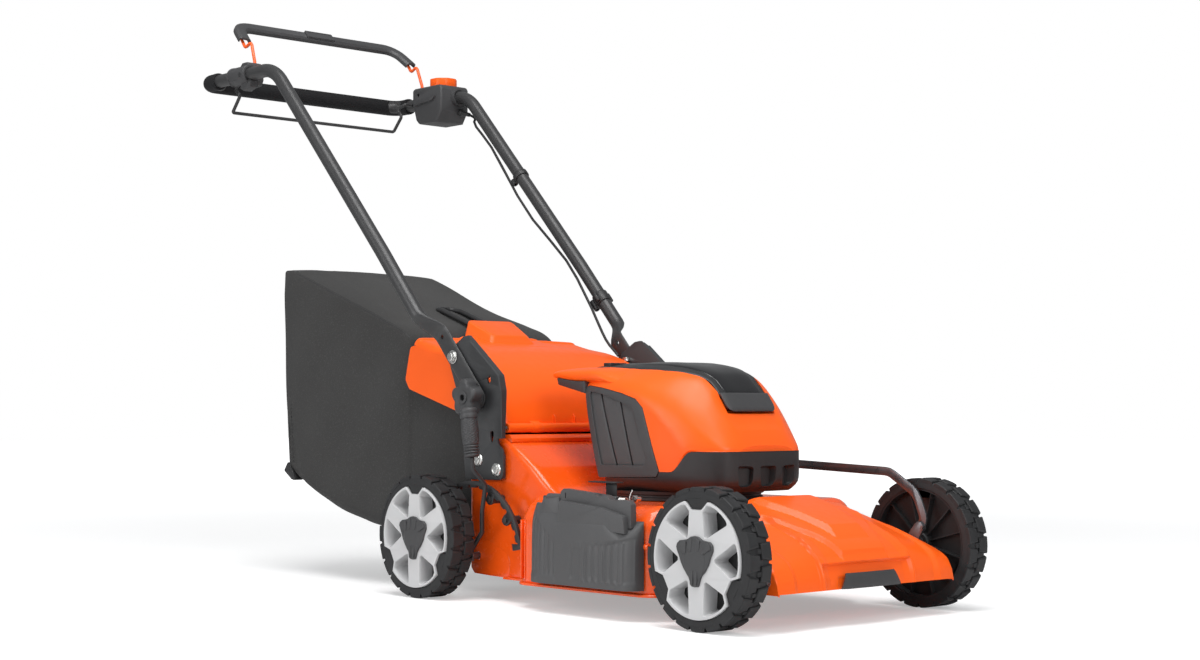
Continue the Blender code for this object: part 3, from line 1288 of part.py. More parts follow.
def build_housings(mats):
    """Right sleeve, and the left box with the switch gear and the dial."""
    y = TUBE_Y
    z = TUBE_TOP_Z
    sleeve = rod("housing_right", (SLEEVE_FRONT_X, -y, z), (SLEEVE_REAR_X, -y, z), SLEEVE_R, 14)
    cheek = side_plate("cheek", [(-0.636, 0.944), (-0.622, 0.938), (-0.600, 0.940),
                                 (-0.594, 0.950), (-0.596, 0.978), (-0.606, 0.984),
                                 (-0.622, 0.984), (-0.634, 0.974)], -y + 0.004, -0.195)
    lug = rod("lug", (-0.624, -y - 0.016, z - 0.002), (-0.624, -y, z - 0.002), 0.010, 12)
    chin = side_plate("chin", [(-0.600, 0.944), (-0.612, 0.932), (-0.600, 0.926),
                               (-0.578, 0.932), (-0.574, 0.944), (-0.585, 0.950)],
                      -y - 0.006, -y + 0.012)
    sleeve = join(sleeve, bevelled(cheek, 0.002, 1), lug, chin)
    sleeve = cut_housing(sleeve, -1)
    keep(sleeve, "housing_right", mats["grey"], (PIVOT_X, 0, PIVOT_Z))

    profile = [(-0.632, BOX_TOP_Z - 0.004), (-0.628, BOX_TOP_Z), (-0.540, BOX_TOP_Z),
               (-0.534, BOX_TOP_Z - 0.006), (-0.534, 0.928), (-0.550, 0.905), (-0.610, 0.905),
               (-0.620, 0.914), (-0.632, 0.950)]
    box = bevelled(side_plate("control_box", profile, 0.190, 0.262), 0.005, 1)
    collar = rod("collar", (-0.536, y, z), (SLEEVE_FRONT_X + 0.058, y, z), SLEEVE_R, 14)
    back = rod("back", (-0.630, y, z), (SLEEVE_REAR_X - 0.003, y, z), SLEEVE_R, 14)
    box = join(box, collar, back)
    ridge = side_plate("ridge", [(-0.622, 0.944), (-0.560, 0.950), (-0.552, 0.958),
                                 (-0.624, 0.950)], 0.186, 0.194)
    box = join(box, ridge)
    box = cut_housing(box, 1)
    keep(box, "control_box", mats["grey"], (PIVOT_X, 0, PIVOT_Z))

    points = []
    for k in range(24):
        angle = 2 * math.pi * k / 24
        points.append(polar(DIAL_R - 0.0016 * (k % 3 == 0), angle, (DIAL_X, DIAL_Y)))
    dial = floor_plate("speed_dial", points, BOX_TOP_Z + GAP, BOX_TOP_Z + GAP + DIAL_HEIGHT)
    spindle = rod("spindle", (DIAL_X, DIAL_Y, BOX_TOP_Z - 0.008),
                  (DIAL_X, DIAL_Y, BOX_TOP_Z + 0.002), 0.006, 16)
    dial = join(dial, spindle)
    keep(dial, "speed_dial", mats["orange"], (DIAL_X, DIAL_Y, BOX_TOP_Z))


def cut_housing(housing, side):
    """Seats for the tubes, the bail's pivot and its slot."""
    y = side * TUBE_Y
    z = TUBE_TOP_Z
    seat = TUBE_R + 0.0009
    front = rod("seat", (SLEEVE_FRONT_X + 0.1, y, z), (SLEEVE_FRONT_X - 0.0203, y, z), seat, 16)
    rear = rod("seat", (SLEEVE_REAR_X - 0.1, y, z), (SLEEVE_REAR_X + 0.0203, y, z), seat, 16)
    inner, outer = sorted((side * 0.150, side * (BAIL_Y + 0.0125)))
    pin = across("pin", BAIL_PIVOT_X, BAIL_PIVOT_Z, BAIL_R + RUNNING, inner, outer, 12)
    slot_x0 = BAIL_PIVOT_X - 0.022
    y0, y1 = sorted((side * (BAIL_Y - 0.0045), side * (BAIL_Y + 0.0045)))
    slot = side_plate("slot", [
        (BAIL_PIVOT_X + 0.0045, BAIL_PIVOT_Z - 0.0045), (BAIL_PIVOT_X + 0.0055, 1.0),
        (slot_x0 - 0.012, 1.0), (slot_x0, BAIL_PIVOT_Z + 0.004),
        (BAIL_PIVOT_X - 0.0045, BAIL_PIVOT_Z - 0.0045)], y0, y1)
    housing = cut(housing, front, rear, pin, slot)
    if side > 0:
        dial = rod("dial", (DIAL_X, DIAL_Y, BOX_TOP_Z - 0.0085), (DIAL_X, DIAL_Y, 1.0), 0.0067, 16)
        relief = rod("relief", (-0.550, 0.242, 0.926), (-0.520, 0.242, 0.926), CABLE_R + 0.0006, 12)
        housing = cut(housing, dial, relief)
    return housing


def build_bails(mats):
    """Upper bail: an orange wire under a grey channel. Lower bail: a bare black wire."""
    def leg(side):
        return [(BAIL_PIVOT_X, side * (BAIL_Y + 0.011), BAIL_PIVOT_Z),
                (BAIL_PIVOT_X, side * BAIL_Y, BAIL_PIVOT_Z),
                (BAIL_PIVOT_X - 0.004, side * BAIL_Y, BAIL_PIVOT_Z + 0.022),
                (-0.632, side * (BAIL_Y - 0.002), 1.030),
                (-0.652, side * (BAIL_Y - 0.001), 1.021),
                (-0.664, side * (BAIL_Y - 0.001), 1.037)]

    corner_r = (-0.7015, -0.192, 1.0705)
    corner_l = (-0.7015, 0.192, 1.0705)
    route = leg(-1) + [corner_r, corner_l] + list(reversed(leg(1)))
    wire = tube("bail_wire", bail_path(route), BAIL_R, 1)
    keep(wire, "bail_wire", mats["orange_wire"], (BAIL_PIVOT_X, 0, BAIL_PIVOT_Z))

    start = Vector((-0.655, -(BAIL_Y - 0.001), 1.0335))
    end = Vector((-0.655, BAIL_Y - 0.001, 1.0335))
    lift = Vector((1, 0, 1)).normalized() * (BAIL_R + GAP - 0.0005)
    path = rounded_path([start + lift, Vector(corner_r) + lift, Vector(corner_l) + lift,
                         end + lift], 0.035, 6)
    half, low, high, wall = 0.0125, -0.0062, 0.0052, 0.0022
    section = [(-half, low), (-half, high * 0.3), (-half * 0.6, high), (half * 0.6, high),
               (half, high * 0.3), (half, low), (half - wall, low), (half - wall, 0.0005),
               (-half + wall, 0.0005), (-half + wall, low)]
    cover = swept_bail(path, section)
    badge_mid = Vector(corner_r) + lift
    badge = block("badge", (-0.008, -0.030, 0.0045), (0.008, 0.030, 0.0068))
    tilt = Matrix.Rotation(math.radians(BAIL_TILT), 4, "Y")
    moved(badge, Matrix.Translation((badge_mid.x, 0.0, badge_mid.z)) @ tilt)
    cover = join(cover, badge)
    keep(cover, "bail_cover", mats["grey"], (BAIL_PIVOT_X, 0, BAIL_PIVOT_Z))

    def drive_leg(side):
        return [(DRIVE_PIVOT_X, side * (TUBE_Y - TUBE_R - GAP), DRIVE_PIVOT_Z),
                (DRIVE_PIVOT_X, side * 0.2000, DRIVE_PIVOT_Z),
                (-0.688, side * DRIVE_Y, 0.9280),
                (-0.706, side * DRIVE_Y, 0.900)]

    route = drive_leg(-1) + list(reversed(drive_leg(1)))
    wire = tube("drive_bail", rounded_path(route, 0.008, 2), DRIVE_R, 1)
    keep(wire, "drive_bail", mats["wire"], (DRIVE_PIVOT_X, 0, DRIVE_PIVOT_Z))


BAIL_TILT = 45            # the bail's plane leans back by this many degrees


def bail_path(route):
    """Small bends at the kinks and wide ones at the two upper corners."""
    path = []
    count = len(route)
    points = [Vector(p) for p in route]
    path.append(points[0])
    for i in range(1, count - 1):
        wide = i in (6, 7)
        piece = rounded_path(points[i - 1:i + 2], 0.035 if wide else 0.006, 5 if wide else 2)
        path += piece[1:-1]
    path.append(points[-1])
    return path


def swept_bail(path, section):
    """The channel keeps its open side towards the ground and the rear."""
    facing = Vector((math.sin(math.radians(BAIL_TILT)), 0, math.cos(math.radians(BAIL_TILT))))
    rings = []
    for i, point in enumerate(path):
        ahead = (path[min(i + 1, len(path) - 1)] - path[max(i - 1, 0)]).normalized()
        lateral = facing.cross(ahead).normalized()
        normal = ahead.cross(lateral).normalized()
        rings.append([point + lateral * u + normal * v for u, v in section])
    return loft("bail_cover", rings)


def build_cable(mats):
    """Cable clipped down the left tube, in one piece on each side of the fold."""
    relief_start = Vector((-0.5340 + 0.0, 0.242, 0.926))
    boot = turned("cable_boot", [(0, 0), (0.0075, 0), (0.0075, 0.004), (0.005, 0.006),
                                 (0.0040, 0.030), (0, 0.030)],
                  relief_start + Vector((GAP, 0, 0)), relief_start + Vector((0.03, 0, -0.008)), 14)
    keep(boot, "cable_boot", mats["black"], (PIVOT_X, 0, PIVOT_Z))
    side = TUBE_Y
    upper_dir = Vector((TUBE_BEND_X - TUBE_TOP_X, 0, TUBE_BEND_Z - TUBE_TOP_Z)).normalized()
    below = Vector((upper_dir.z, 0, -upper_dir.x))
    if below.z > 0:
        below = -below
    offset = below * (TUBE_R + CABLE_R + 0.0010)
    top = Vector((TUBE_TOP_X, side - 0.006, TUBE_TOP_Z))
    bend = Vector((TUBE_BEND_X, side - 0.006, TUBE_BEND_Z))
    start = relief_start + (Vector((0.03, 0, -0.008)).normalized() * 0.0308)
    points = [start, start + Vector((0.020, -0.002, -0.010)),
              top + (bend - top) * 0.14 + offset * 1.25,
              top + (bend - top) * 0.30 + offset * 1.05,
              top + (bend - top) * 0.62 + offset * 1.9,
              top + (bend - top) * 0.93 + offset * 1.05,
              Vector((-0.1130, 0.2165, 0.5185)), Vector((-0.0712, 0.2036, 0.4750)),
              Vector((-0.0350, 0.1922, 0.4400)), Vector((-0.0120, 0.1918, 0.4200)),
              Vector((-0.0020, 0.1918, 0.4110))]
    path = smooth_route(points, 24)
    cable = tube("cable_upper", path, CABLE_R, 1)
    keep(cable, "cable_upper", mats["cable"], (PIVOT_X, 0, PIVOT_Z))


def smooth_route(points, count):
    """Points on a smooth curve through a hand-chosen route."""
    points = [Vector(p) for p in points]
    padded = [2 * points[0] - points[1], *points, 2 * points[-1] - points[-2]]
    path = []
    for step in range(count + 1):
        t = step / count * (len(points) - 1)
        k = min(int(t), len(points) - 2)
        u = t - k
        a, b, c, d = padded[k:k + 4]
        path.append(0.5 * ((2 * b) + (c - a) * u + (2 * a - 5 * b + 4 * c - d) * u * u
                           + (3 * b - a - 3 * c + d) * u ** 3))
    return path


# Rear door, bag, side flap

DOOR_LINE = [(0.127, 0.2790), (0.122, 0.306), (0.106, 0.342), (0.078, 0.374), (0.040, 0.398),
             (-0.010, 0.414), (-0.066, 0.424), (-0.116, 0.436)]
WING = [(-0.116, 0.436), (-0.134, 0.434), (-0.144, 0.366), (-0.133, 0.349), (-0.010, 0.314),
        (0.040, 0.300), (0.092, 0.285), (0.118, 0.279)]


def build_door(mats):
    """Rear door: a curved lid with side wings and a raised scoop to lift it by."""
    half = DOOR_HALF
    rows = []
    for x, z in DOOR_LINE:
        crown = 0.010 * min(1.0, max(0.0, (z - 0.30) / 0.08))
        row = [(x, -half, z - crown), (x, -half + 0.012, z - crown * 0.4), (x, -0.110, z),
               (x, 0.0, z + crown * 0.3), (x, 0.110, z), (x, half - 0.012, z - crown * 0.4),
               (x, half, z - crown)]
        rows.append(row)
    skin = sheet("rear_door", rows)
    tidy(skin.data)
    door = thickened(skin, DOOR_WALL, -1.0)
    if average_height(door) > 0.40:
        door.data.flip_normals()
    outline = [(x, z - 0.004) for x, z in DOOR_LINE] + WING[1:]
    for side in (-1, 1):
        y0, y1 = sorted((side * (half - 0.0002), side * (half - DOOR_WALL)))
        door = join(door, side_plate("wing", outline, y0, y1))
    scoop = loft("scoop", [
        [(-0.070, -0.050, 0.410), (-0.070, 0.050, 0.410), (-0.143, 0.060, 0.424),
         (-0.143, -0.060, 0.424)],
        [(-0.080, -0.040, 0.446), (-0.080, 0.040, 0.446), (-0.141, 0.053, 0.474),
         (-0.141, -0.053, 0.474)]])
    door = join(door, scoop)
    hollow = block("hollow", (-0.16, -0.045, 0.400), (-0.095, 0.045, 0.462))
    shear = side_plate("shear", [(-0.155, 0.400), (-0.092, 0.400), (-0.092, 0.442),
                                 (-0.137, 0.462), (-0.155, 0.466)], -0.045, 0.045)
    bpy.data.objects.remove(hollow, do_unlink=True)
    door = cut(door, shear)
    for y in (-0.120, 0.120):
        ear = side_plate("ear", [*arc((DOOR_HINGE_X, DOOR_HINGE_Z), 0.0085, -90, 100, 4),
                                 (0.116, 0.300), (0.118, 0.276)], y - 0.010, y + 0.010)
        door = join(door, ear)
    door = cut(door, across("bore", DOOR_HINGE_X, DOOR_HINGE_Z, 0.003 + RUNNING, -0.3, 0.3, 12))
    keep(door, "rear_door", mats["orange"], (DOOR_HINGE_X, 0, DOOR_HINGE_Z))

    rod_end = BRACKET_INNER - GAP
    pin = across("door_rod", DOOR_HINGE_X, DOOR_HINGE_Z, 0.003, -rod_end, rod_end, 12)
    keep(pin, "door_rod", mats["steel"])


def average_height(obj):
    return sum(v.co.z for v in obj.data.vertices) / len(obj.data.vertices)


BAG_SIDE = [(-0.014, 0.120), (-0.230, 0.112), (-0.400, 0.145), (-0.525, 0.188),
            (-0.553, 0.575), (-0.345, 0.520), (-0.150, 0.412), (-0.014, 0.395)]


def bag_ring(x, low, high, half, wall=0.0):
    """A rounded upright section of the bag."""
    half -= wall
    low += wall
    high -= wall
    mid = (low + high) / 2
    r = 0.018
    points = [(-half + r, low), (half - r, low), (half, low + r), (half + 0.004, mid),
              (half, high - r), (half - r, high), (0.0, high + 0.004), (-half + r, high),
              (-half, high - r), (-half - 0.004, mid), (-half, low + r)]
    return [(x, y, z) for y, z in points]


BAG_STATIONS = [(CHUTE_REAR_X + 0.012, BAG_NECK_Z, 0.258, 0.160),
                (CHUTE_REAR_X + 0.0005, BAG_NECK_Z, 0.258, 0.160),
                (CHUTE_REAR_X - 0.0005, BAG_NECK_Z, 0.374, 0.160),
                (-0.020, BAG_NECK_Z, 0.385, 0.161), (-0.145, BAG_NECK_Z, 0.392, 0.164),
                (-0.160, 0.112, 0.445, 0.168), (-0.230, 0.111, 0.480, 0.172),
                (-0.340, 0.132, 0.522, 0.172), (-0.450, 0.160, 0.552, 0.170)]


def build_bag(mats):
    """Fabric bag, open where it hooks on behind the tunnel."""
    outer = [bag_ring(*station) for station in BAG_STATIONS]
    last = bag_ring(-0.535, 0.190, 0.578, 0.166)
    outer.append([(x - 0.02 * (z - 0.19) / 0.388, y, z) for x, y, z in last])
    bag = loft("grass_bag", outer)
    inner = [bag_ring(*station, BAG_WALL) for station in BAG_STATIONS]
    inner[0] = [(x + 0.01, y, z) for x, y, z in inner[0]]
    last = bag_ring(-0.532, 0.190, 0.578, 0.166, BAG_WALL)
    inner.append([(x - 0.02 * (z - 0.19) / 0.388, y, z) for x, y, z in last])
    bag = cut(bag, loft("inside", inner))
    keep(bag, "grass_bag", mats["fabric"])
    handle = rounded_path([(-0.175, 0, 0.4594), (-0.175, 0, 0.482), (-0.300, 0, 0.534),
                           (-0.300, 0, 0.5130)], 0.010, 2)
    bar = tube("bag_handle", handle, 0.005, 2)
    keep(bar, "bag_handle", mats["black"])


FLAP_STATIONS = [(FLAP_REAR_X, 0.018), (FLAP_REAR_X + 0.014, 0.006), (FLAP_REAR_X + 0.040, 0.0),
                 (FLAP_FRONT_X - 0.040, 0.0), (FLAP_FRONT_X - 0.016, 0.003),
                 (FLAP_FRONT_X, 0.014)]


def flap_rings(wall):
    """Sections of the flap from rear to front; with a wall, of the hollow behind it."""
    rings = []
    last = len(FLAP_STATIONS) - 1
    for i, (x, inset) in enumerate(FLAP_STATIONS):
        drop = along_table([(FLAP_FRONT_X - 0.060, 0.0), (FLAP_FRONT_X - 0.030, 0.020)], x)
        out = FLAP_OUT - inset - wall
        back = -DECK_HALF - GAP * 3 + (0.01 if wall else 0.0)
        top = FLAP_TOP_Z - drop - wall
        bottom = FLAP_BOTTOM_Z - (0.01 if wall else 0.0)
        ring = [(back, top), (-DECK_HALF - 0.35 * out, top - 0.006),
                (-DECK_HALF - 0.80 * out, top - 0.022), (-DECK_HALF - 0.95 * out, top - 0.045),
                (-DECK_HALF - out, bottom + 0.010), (-DECK_HALF - out, bottom), (back, bottom)]
        shift = wall if i == 0 else -wall if i == last else 0.0
        rings.append([(x + shift, y, z) for y, z in ring])
    return rings


def build_side_flap(mats):
    """Side discharge flap that hangs on a rod."""
    flap = loft("side_flap", flap_rings(0.0))
    crest = [(FLAP_REAR_X + 0.068, FLAP_TOP_Z - 0.016), (FLAP_REAR_X + 0.0725, FLAP_TOP_Z + 0.020),
             (FLAP_REAR_X + 0.080, FLAP_TOP_Z + 0.0245), (FLAP_FRONT_X - 0.060, FLAP_TOP_Z + 0.0165),
             (FLAP_FRONT_X - 0.018, FLAP_TOP_Z + 0.0125), (FLAP_FRONT_X - 0.012, FLAP_TOP_Z + 0.007),
             (FLAP_FRONT_X - 0.012, FLAP_TOP_Z - 0.030)]
    crest = side_plate("crest", crest, -DECK_HALF - 0.0155, -DECK_HALF - 0.0058)
    shelf = [(FLAP_REAR_X + 0.030, FLAP_TOP_Z - 0.019), (FLAP_REAR_X + 0.034, FLAP_TOP_Z + 0.0065),
             (FLAP_REAR_X + 0.066, FLAP_TOP_Z + 0.0105), (FLAP_REAR_X + 0.0735, FLAP_TOP_Z + 0.0105),
             (FLAP_REAR_X + 0.0735, FLAP_TOP_Z - 0.019)]
    shelf = side_plate("shelf", shelf, -DECK_HALF - 0.0185, -DECK_HALF - 0.0062)
    flap = join(flap, bevelled(crest, 0.0015, 1), shelf)
    for x in (FLAP_REAR_X + 0.036, FLAP_FRONT_X - 0.080):
        knuckle = rod("knuckle", (x - 0.016, FLAP_HINGE_Y, FLAP_HINGE_Z),
                      (x + 0.016, FLAP_HINGE_Y, FLAP_HINGE_Z), 0.0070, 12)
        neck = side_plate("neck", [(x - 0.016, FLAP_TOP_Z - 0.016), (x + 0.016, FLAP_TOP_Z - 0.016),
                                   (x + 0.016, FLAP_HINGE_Z), (x - 0.016, FLAP_HINGE_Z)],
                          -DECK_HALF - 0.0044, FLAP_HINGE_Y - 0.0042)
        flap = join(flap, join(knuckle, neck))
    flap = cut(flap, loft("hollow", flap_rings(0.0025)))
    bore = rod("bore", (0.2, FLAP_HINGE_Y, FLAP_HINGE_Z), (0.6, FLAP_HINGE_Y, FLAP_HINGE_Z),
               0.003 + RUNNING, 12)
    flap = cut(flap, bore)
    keep(flap, "side_flap", mats["grey"], (FLAP_REAR_X, FLAP_HINGE_Y, FLAP_HINGE_Z))
    hinge = rod("flap_rod", (FLAP_REAR_X + 0.008, FLAP_HINGE_Y, FLAP_HINGE_Z),
                (FLAP_FRONT_X - 0.050, FLAP_HINGE_Y, FLAP_HINGE_Z), 0.003, 12)
    keep(hinge, "flap_rod", mats["steel"])


def build_bumper(mats):
    pad = side_plate("bumper_pad", [(0.7471, 0.0560), (0.7508, 0.0572), (0.7482, 0.0745),
                                    (0.7445, 0.0755)], -0.064, 0.064)
    keep(pad, "bumper_pad", mats["grey"])


def main():
    clear_scene()
    mats = {
        "orange": material("orange_plastic", (0.95, 0.14, 0.025), 0.42),
        "paint": material("orange_paint", (0.90, 0.10, 0.015), 0.22),
        "orange_wire": material("orange_wire", (0.95, 0.16, 0.02), 0.40),
        "grey": material("grey_plastic", (0.055, 0.055, 0.057), 0.55),
        "black": material("black_plastic", (0.018, 0.018, 0.019), 0.50),
        "lid": material("lid_plastic", (0.025, 0.025, 0.026), 0.32),
        "tyre": material("tyre_rubber", (0.030, 0.030, 0.031), 0.75),
        "rim": material("silver_plastic", (0.58, 0.58, 0.59), 0.40),
        "tube": material("grey_coated_tube", (0.060, 0.060, 0.062), 0.45),
        "bracket": material("coated_bracket", (0.045, 0.045, 0.047), 0.50),
        "steel": material("bare_steel", (0.45, 0.45, 0.46), 0.35, 1.0),
        "zinc": material("zinc_plated_steel", (0.75, 0.75, 0.76), 0.25, 1.0),
        "wire": material("coated_wire", (0.020, 0.020, 0.021), 0.40),
        "foam": material("foam_grip", (0.015, 0.015, 0.015), 0.70),
        "cable": material("cable_sheath", (0.020, 0.020, 0.020), 0.50),
        "fabric": material("bag_fabric", (0.055, 0.055, 0.056), 0.90)}
    build_wheels(mats)
    build_axle("front_axle", FRONT_CRANK_X, FRONT_WHEEL_X, mats["steel"])
    build_axle("rear_axle", REAR_CRANK_X, REAR_WHEEL_X, mats["steel"])
    build_link(mats)
    build_quadrant(mats)
    build_lever(mats)
    build_deck(mats)
    build_nose(mats)
    build_bumper(mats)
    build_head(mats)
    build_blade(mats)
    build_brackets(mats)
    build_tubes(mats)
    build_grip(mats)
    build_housings(mats)
    build_bails(mats)
    build_cable(mats)
    build_door(mats)
    build_bag(mats)
    build_side_flap(mats)


main()
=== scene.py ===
import json
from math import acos, copysign, cos, exp, hypot, pi, radians, sin, sqrt, tan

import bmesh
import bpy
from mathutils import Matrix, Vector

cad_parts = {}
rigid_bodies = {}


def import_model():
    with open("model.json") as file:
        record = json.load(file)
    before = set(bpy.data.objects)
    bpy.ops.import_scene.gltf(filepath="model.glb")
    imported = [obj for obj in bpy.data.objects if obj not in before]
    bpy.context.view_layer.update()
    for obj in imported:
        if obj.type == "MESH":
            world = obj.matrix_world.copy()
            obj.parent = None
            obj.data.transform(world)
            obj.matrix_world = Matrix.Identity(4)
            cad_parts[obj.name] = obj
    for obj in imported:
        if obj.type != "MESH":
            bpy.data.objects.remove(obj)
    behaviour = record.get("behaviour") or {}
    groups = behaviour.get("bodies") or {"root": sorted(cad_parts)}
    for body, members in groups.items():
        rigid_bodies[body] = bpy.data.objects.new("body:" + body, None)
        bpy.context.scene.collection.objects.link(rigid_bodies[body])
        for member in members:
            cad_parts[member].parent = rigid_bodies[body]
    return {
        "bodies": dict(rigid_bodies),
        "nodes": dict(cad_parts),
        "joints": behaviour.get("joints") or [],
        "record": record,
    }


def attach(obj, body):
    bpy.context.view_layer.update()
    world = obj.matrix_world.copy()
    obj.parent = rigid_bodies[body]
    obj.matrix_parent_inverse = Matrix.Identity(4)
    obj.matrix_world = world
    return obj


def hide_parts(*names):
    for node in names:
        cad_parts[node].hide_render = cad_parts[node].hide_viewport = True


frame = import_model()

# Looks of the cordless lawn mower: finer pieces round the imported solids, their
# materials, the floor, the lights and the camera. Metres; +X is the mower's front.

bpy.context.scene.view_settings.view_transform = "Standard"
NODES = frame["nodes"]
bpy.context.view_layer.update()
BODY_OF = {node: body for body, members in frame["record"]["behaviour"]["bodies"].items()
           for node in members}
SLOT_OF = {part["node"]: part["material_slot"] for part in frame["record"]["subparts"]}
SIDES = ((-1, "right"), (1, "left"))
WELD = 0.00001


# Objects and shader nodes

def new_object(name, data):
    obj = bpy.data.objects.new(name, data)
    bpy.context.scene.collection.objects.link(obj)
    return obj


def from_bmesh(name, bm):
    mesh = bpy.data.meshes.new(name)
    bm.to_mesh(mesh)
    bm.free()
    return new_object(name, mesh)


def add_node(tree, kind, inputs=None, **settings):
    """A shader node; an input given as another node's output is linked, any other is set."""
    made = tree.nodes.new("ShaderNode" + kind)
    for key, value in settings.items():
        setattr(made, key, value)
    for key, value in (inputs or {}).items():
        if isinstance(value, bpy.types.NodeSocket):
            tree.links.new(value, made.inputs[key])
        else:
            made.inputs[key].default_value = value
    return made


def empty_tree(owner):
    owner.use_nodes = True
    owner.node_tree.nodes.clear()
    return owner.node_tree


def seen_by_camera(tree, other, seen):
    """One shader for the light that falls on things and another for what the camera sees."""
    ray = add_node(tree, "LightPath").outputs["Is Camera Ray"]
    return add_node(tree, "MixShader", {0: ray, 1: other, 2: seen}).outputs[0]


# Camera, floor and light

def add_camera():
    data = bpy.data.cameras.new("camera")
    data.lens = 57.1
    data.sensor_width = 36
    data.clip_end = 60
    camera = new_object("camera", data)
    camera.location = (2.553, -2.1895, 0.3178)
    camera.rotation_euler = (radians(92.3126), 0, radians(47.572))
    bpy.context.scene.camera = camera


def add_area(name, place, target, size, power):
    data = bpy.data.lights.new(name, "AREA")
    data.energy = power
    data.size = size
    light = new_object(name, data)
    light.location = place
    aim = Vector(target) - Vector(place)
    light.rotation_euler = aim.to_track_quat("-Z", "Y").to_euler()


def add_world():
    world = bpy.data.worlds.new("studio")
    tree = empty_tree(world)
    soft = add_node(tree, "Background", {"Color": (0.96, 0.98, 1, 1), "Strength": 0.32})
    white = add_node(tree, "Background", {"Color": (1, 1, 1, 1), "Strength": 1})
    both = seen_by_camera(tree, soft.outputs[0], white.outputs[0])
    add_node(tree, "OutputWorld", {"Surface": both})
    bpy.context.scene.world = world


def add_floor():
    """A matt floor that fades to white away from the mower, for the camera only."""
    bm = bmesh.new()
    bmesh.ops.create_grid(bm, x_segments=1, y_segments=1, size=14)
    floor = from_bmesh("floor", bm)
    floor.location.z = -0.0003
    mat = bpy.data.materials.new("studio_floor")
    tree = empty_tree(mat)
    place = add_node(tree, "NewGeometry").outputs["Position"]
    away = add_node(tree, "VectorMath", {0: place}, operation="LENGTH").outputs["Value"]
    fade = add_node(tree, "MapRange", {"Value": away, "From Min": 1.2, "From Max": 5.5,
                                       "To Min": 0.36, "To Max": 1},
                    interpolation_type="SMOOTHSTEP").outputs[0]
    plain = add_node(tree, "BsdfDiffuse", {"Color": (0.8, 0.8, 0.8, 1)}).outputs[0]
    glow = add_node(tree, "Emission", {"Color": (1, 1, 1, 1), "Strength": fade}).outputs[0]
    lit = add_node(tree, "AddShader", {0: plain, 1: glow}).outputs[0]
    add_node(tree, "OutputMaterial", {"Surface": seen_by_camera(tree, plain, lit)})
    floor.data.materials.append(mat)


add_camera()
add_world()
add_floor()
add_area("key_light", (0.9, -0.8, 3.4), (0.1, 0, 0.3), 2.2, 96)
add_area("front_light", (3.4, -1, 1.9), (0.3, 0, 0.3), 1.8, 38)
add_area("side_light", (-0.5, -3.6, 1.5), (0, 0, 0.35), 2, 46)


# Materials

def noise_node(tree, coords, scale, detail=2, rough=0.5):
    return add_node(tree, "TexNoise", {"Vector": coords, "Scale": scale, "Detail": detail,
                                       "Roughness": rough}).outputs["Fac"]


def ranged(tree, value, low, high, from_low=0.3, from_high=0.7):
    return add_node(tree, "MapRange", {"Value": value, "From Min": from_low,
                                       "From Max": from_high, "To Min": low,
                                       "To Max": high}).outputs["Result"]


def tint(colour, factor=1):
    return (*(min(1.0, c * factor) for c in colour), 1)


def mixed(tree, fac, first, second):
    return add_node(tree, "Mix", {0: fac, 6: first, 7: second}, data_type="RGBA").outputs[2]


def bumped(tree, height, strength, distance):
    return add_node(tree, "Bump", {"Height": height, "Strength": strength,
                                   "Distance": distance}).outputs["Normal"]


def new_material(name, metallic=0, coat=0, coat_rough=0.05, specular=0.5, sheen=0):
    mat = bpy.data.materials.new(name)
    mat.use_nodes = True
    inputs = mat.node_tree.nodes["Principled BSDF"].inputs
    for key, value in (("Metallic", metallic), ("Coat Weight", coat),
                       ("Coat Roughness", coat_rough), ("Specular IOR Level", specular),
                       ("Sheen Weight", sheen)):
        inputs[key].default_value = value
    return mat, mat.node_tree, add_node(mat.node_tree, "TexCoord").outputs["Object"]


def fed(mat, colour, rough, normal):
    tree = mat.node_tree
    inputs = tree.nodes["Principled BSDF"].inputs
    for key, source in (("Base Color", colour), ("Roughness", rough), ("Normal", normal)):
        tree.links.new(source, inputs[key])
    return mat


def moulded(name, colour, rough, grain=1400, depth=0.00006, strength=0.5, vary=0.06,
            rough_vary=0.06, **look):
    """Moulded or coated surface: fine grain, faint mottling, uneven gloss."""
    mat, tree, coords = new_material(name, **look)
    broad = ranged(tree, noise_node(tree, coords, 9, 3), 0, 1)
    middle = noise_node(tree, coords, 70, 3)
    fine = noise_node(tree, coords, grain, 2, 0.6)
    return fed(mat, mixed(tree, broad, tint(colour, 1 - vary), tint(colour, 1 + vary)),
               ranged(tree, middle, rough - rough_vary, rough + rough_vary),
               bumped(tree, fine, strength, depth))


def plated(name, colour, rough, grain):
    """Plated metal with fine marks along Y."""
    mat, tree, coords = new_material(name, metallic=1)
    drawn = add_node(tree, "Mapping", {"Vector": coords, "Scale": (1, 0.03, 1)}).outputs[0]
    streak = noise_node(tree, drawn, grain, 3)
    stain = ranged(tree, noise_node(tree, coords, 45, 4), 0, 1)
    return fed(mat, mixed(tree, stain, tint(colour, 0.8), tint(colour)),
               ranged(tree, streak, rough - 0.08, rough + 0.12),
               bumped(tree, streak, 0.25, 0.00008))


def rubber(name, colour, rough):
    """Tyre tread plastic: dull, with mould speckle and light scuffs."""
    mat, tree, coords = new_material(name, specular=0.35)
    scuff = noise_node(tree, coords, 38, 6, 0.65)
    worn = ranged(tree, scuff, 0, 1, 0.45, 0.75)
    return fed(mat, mixed(tree, worn, tint(colour), tint(colour, 1.5)),
               ranged(tree, scuff, rough - 0.1, rough + 0.08),
               bumped(tree, noise_node(tree, coords, 1500), 0.5, 0.00012))


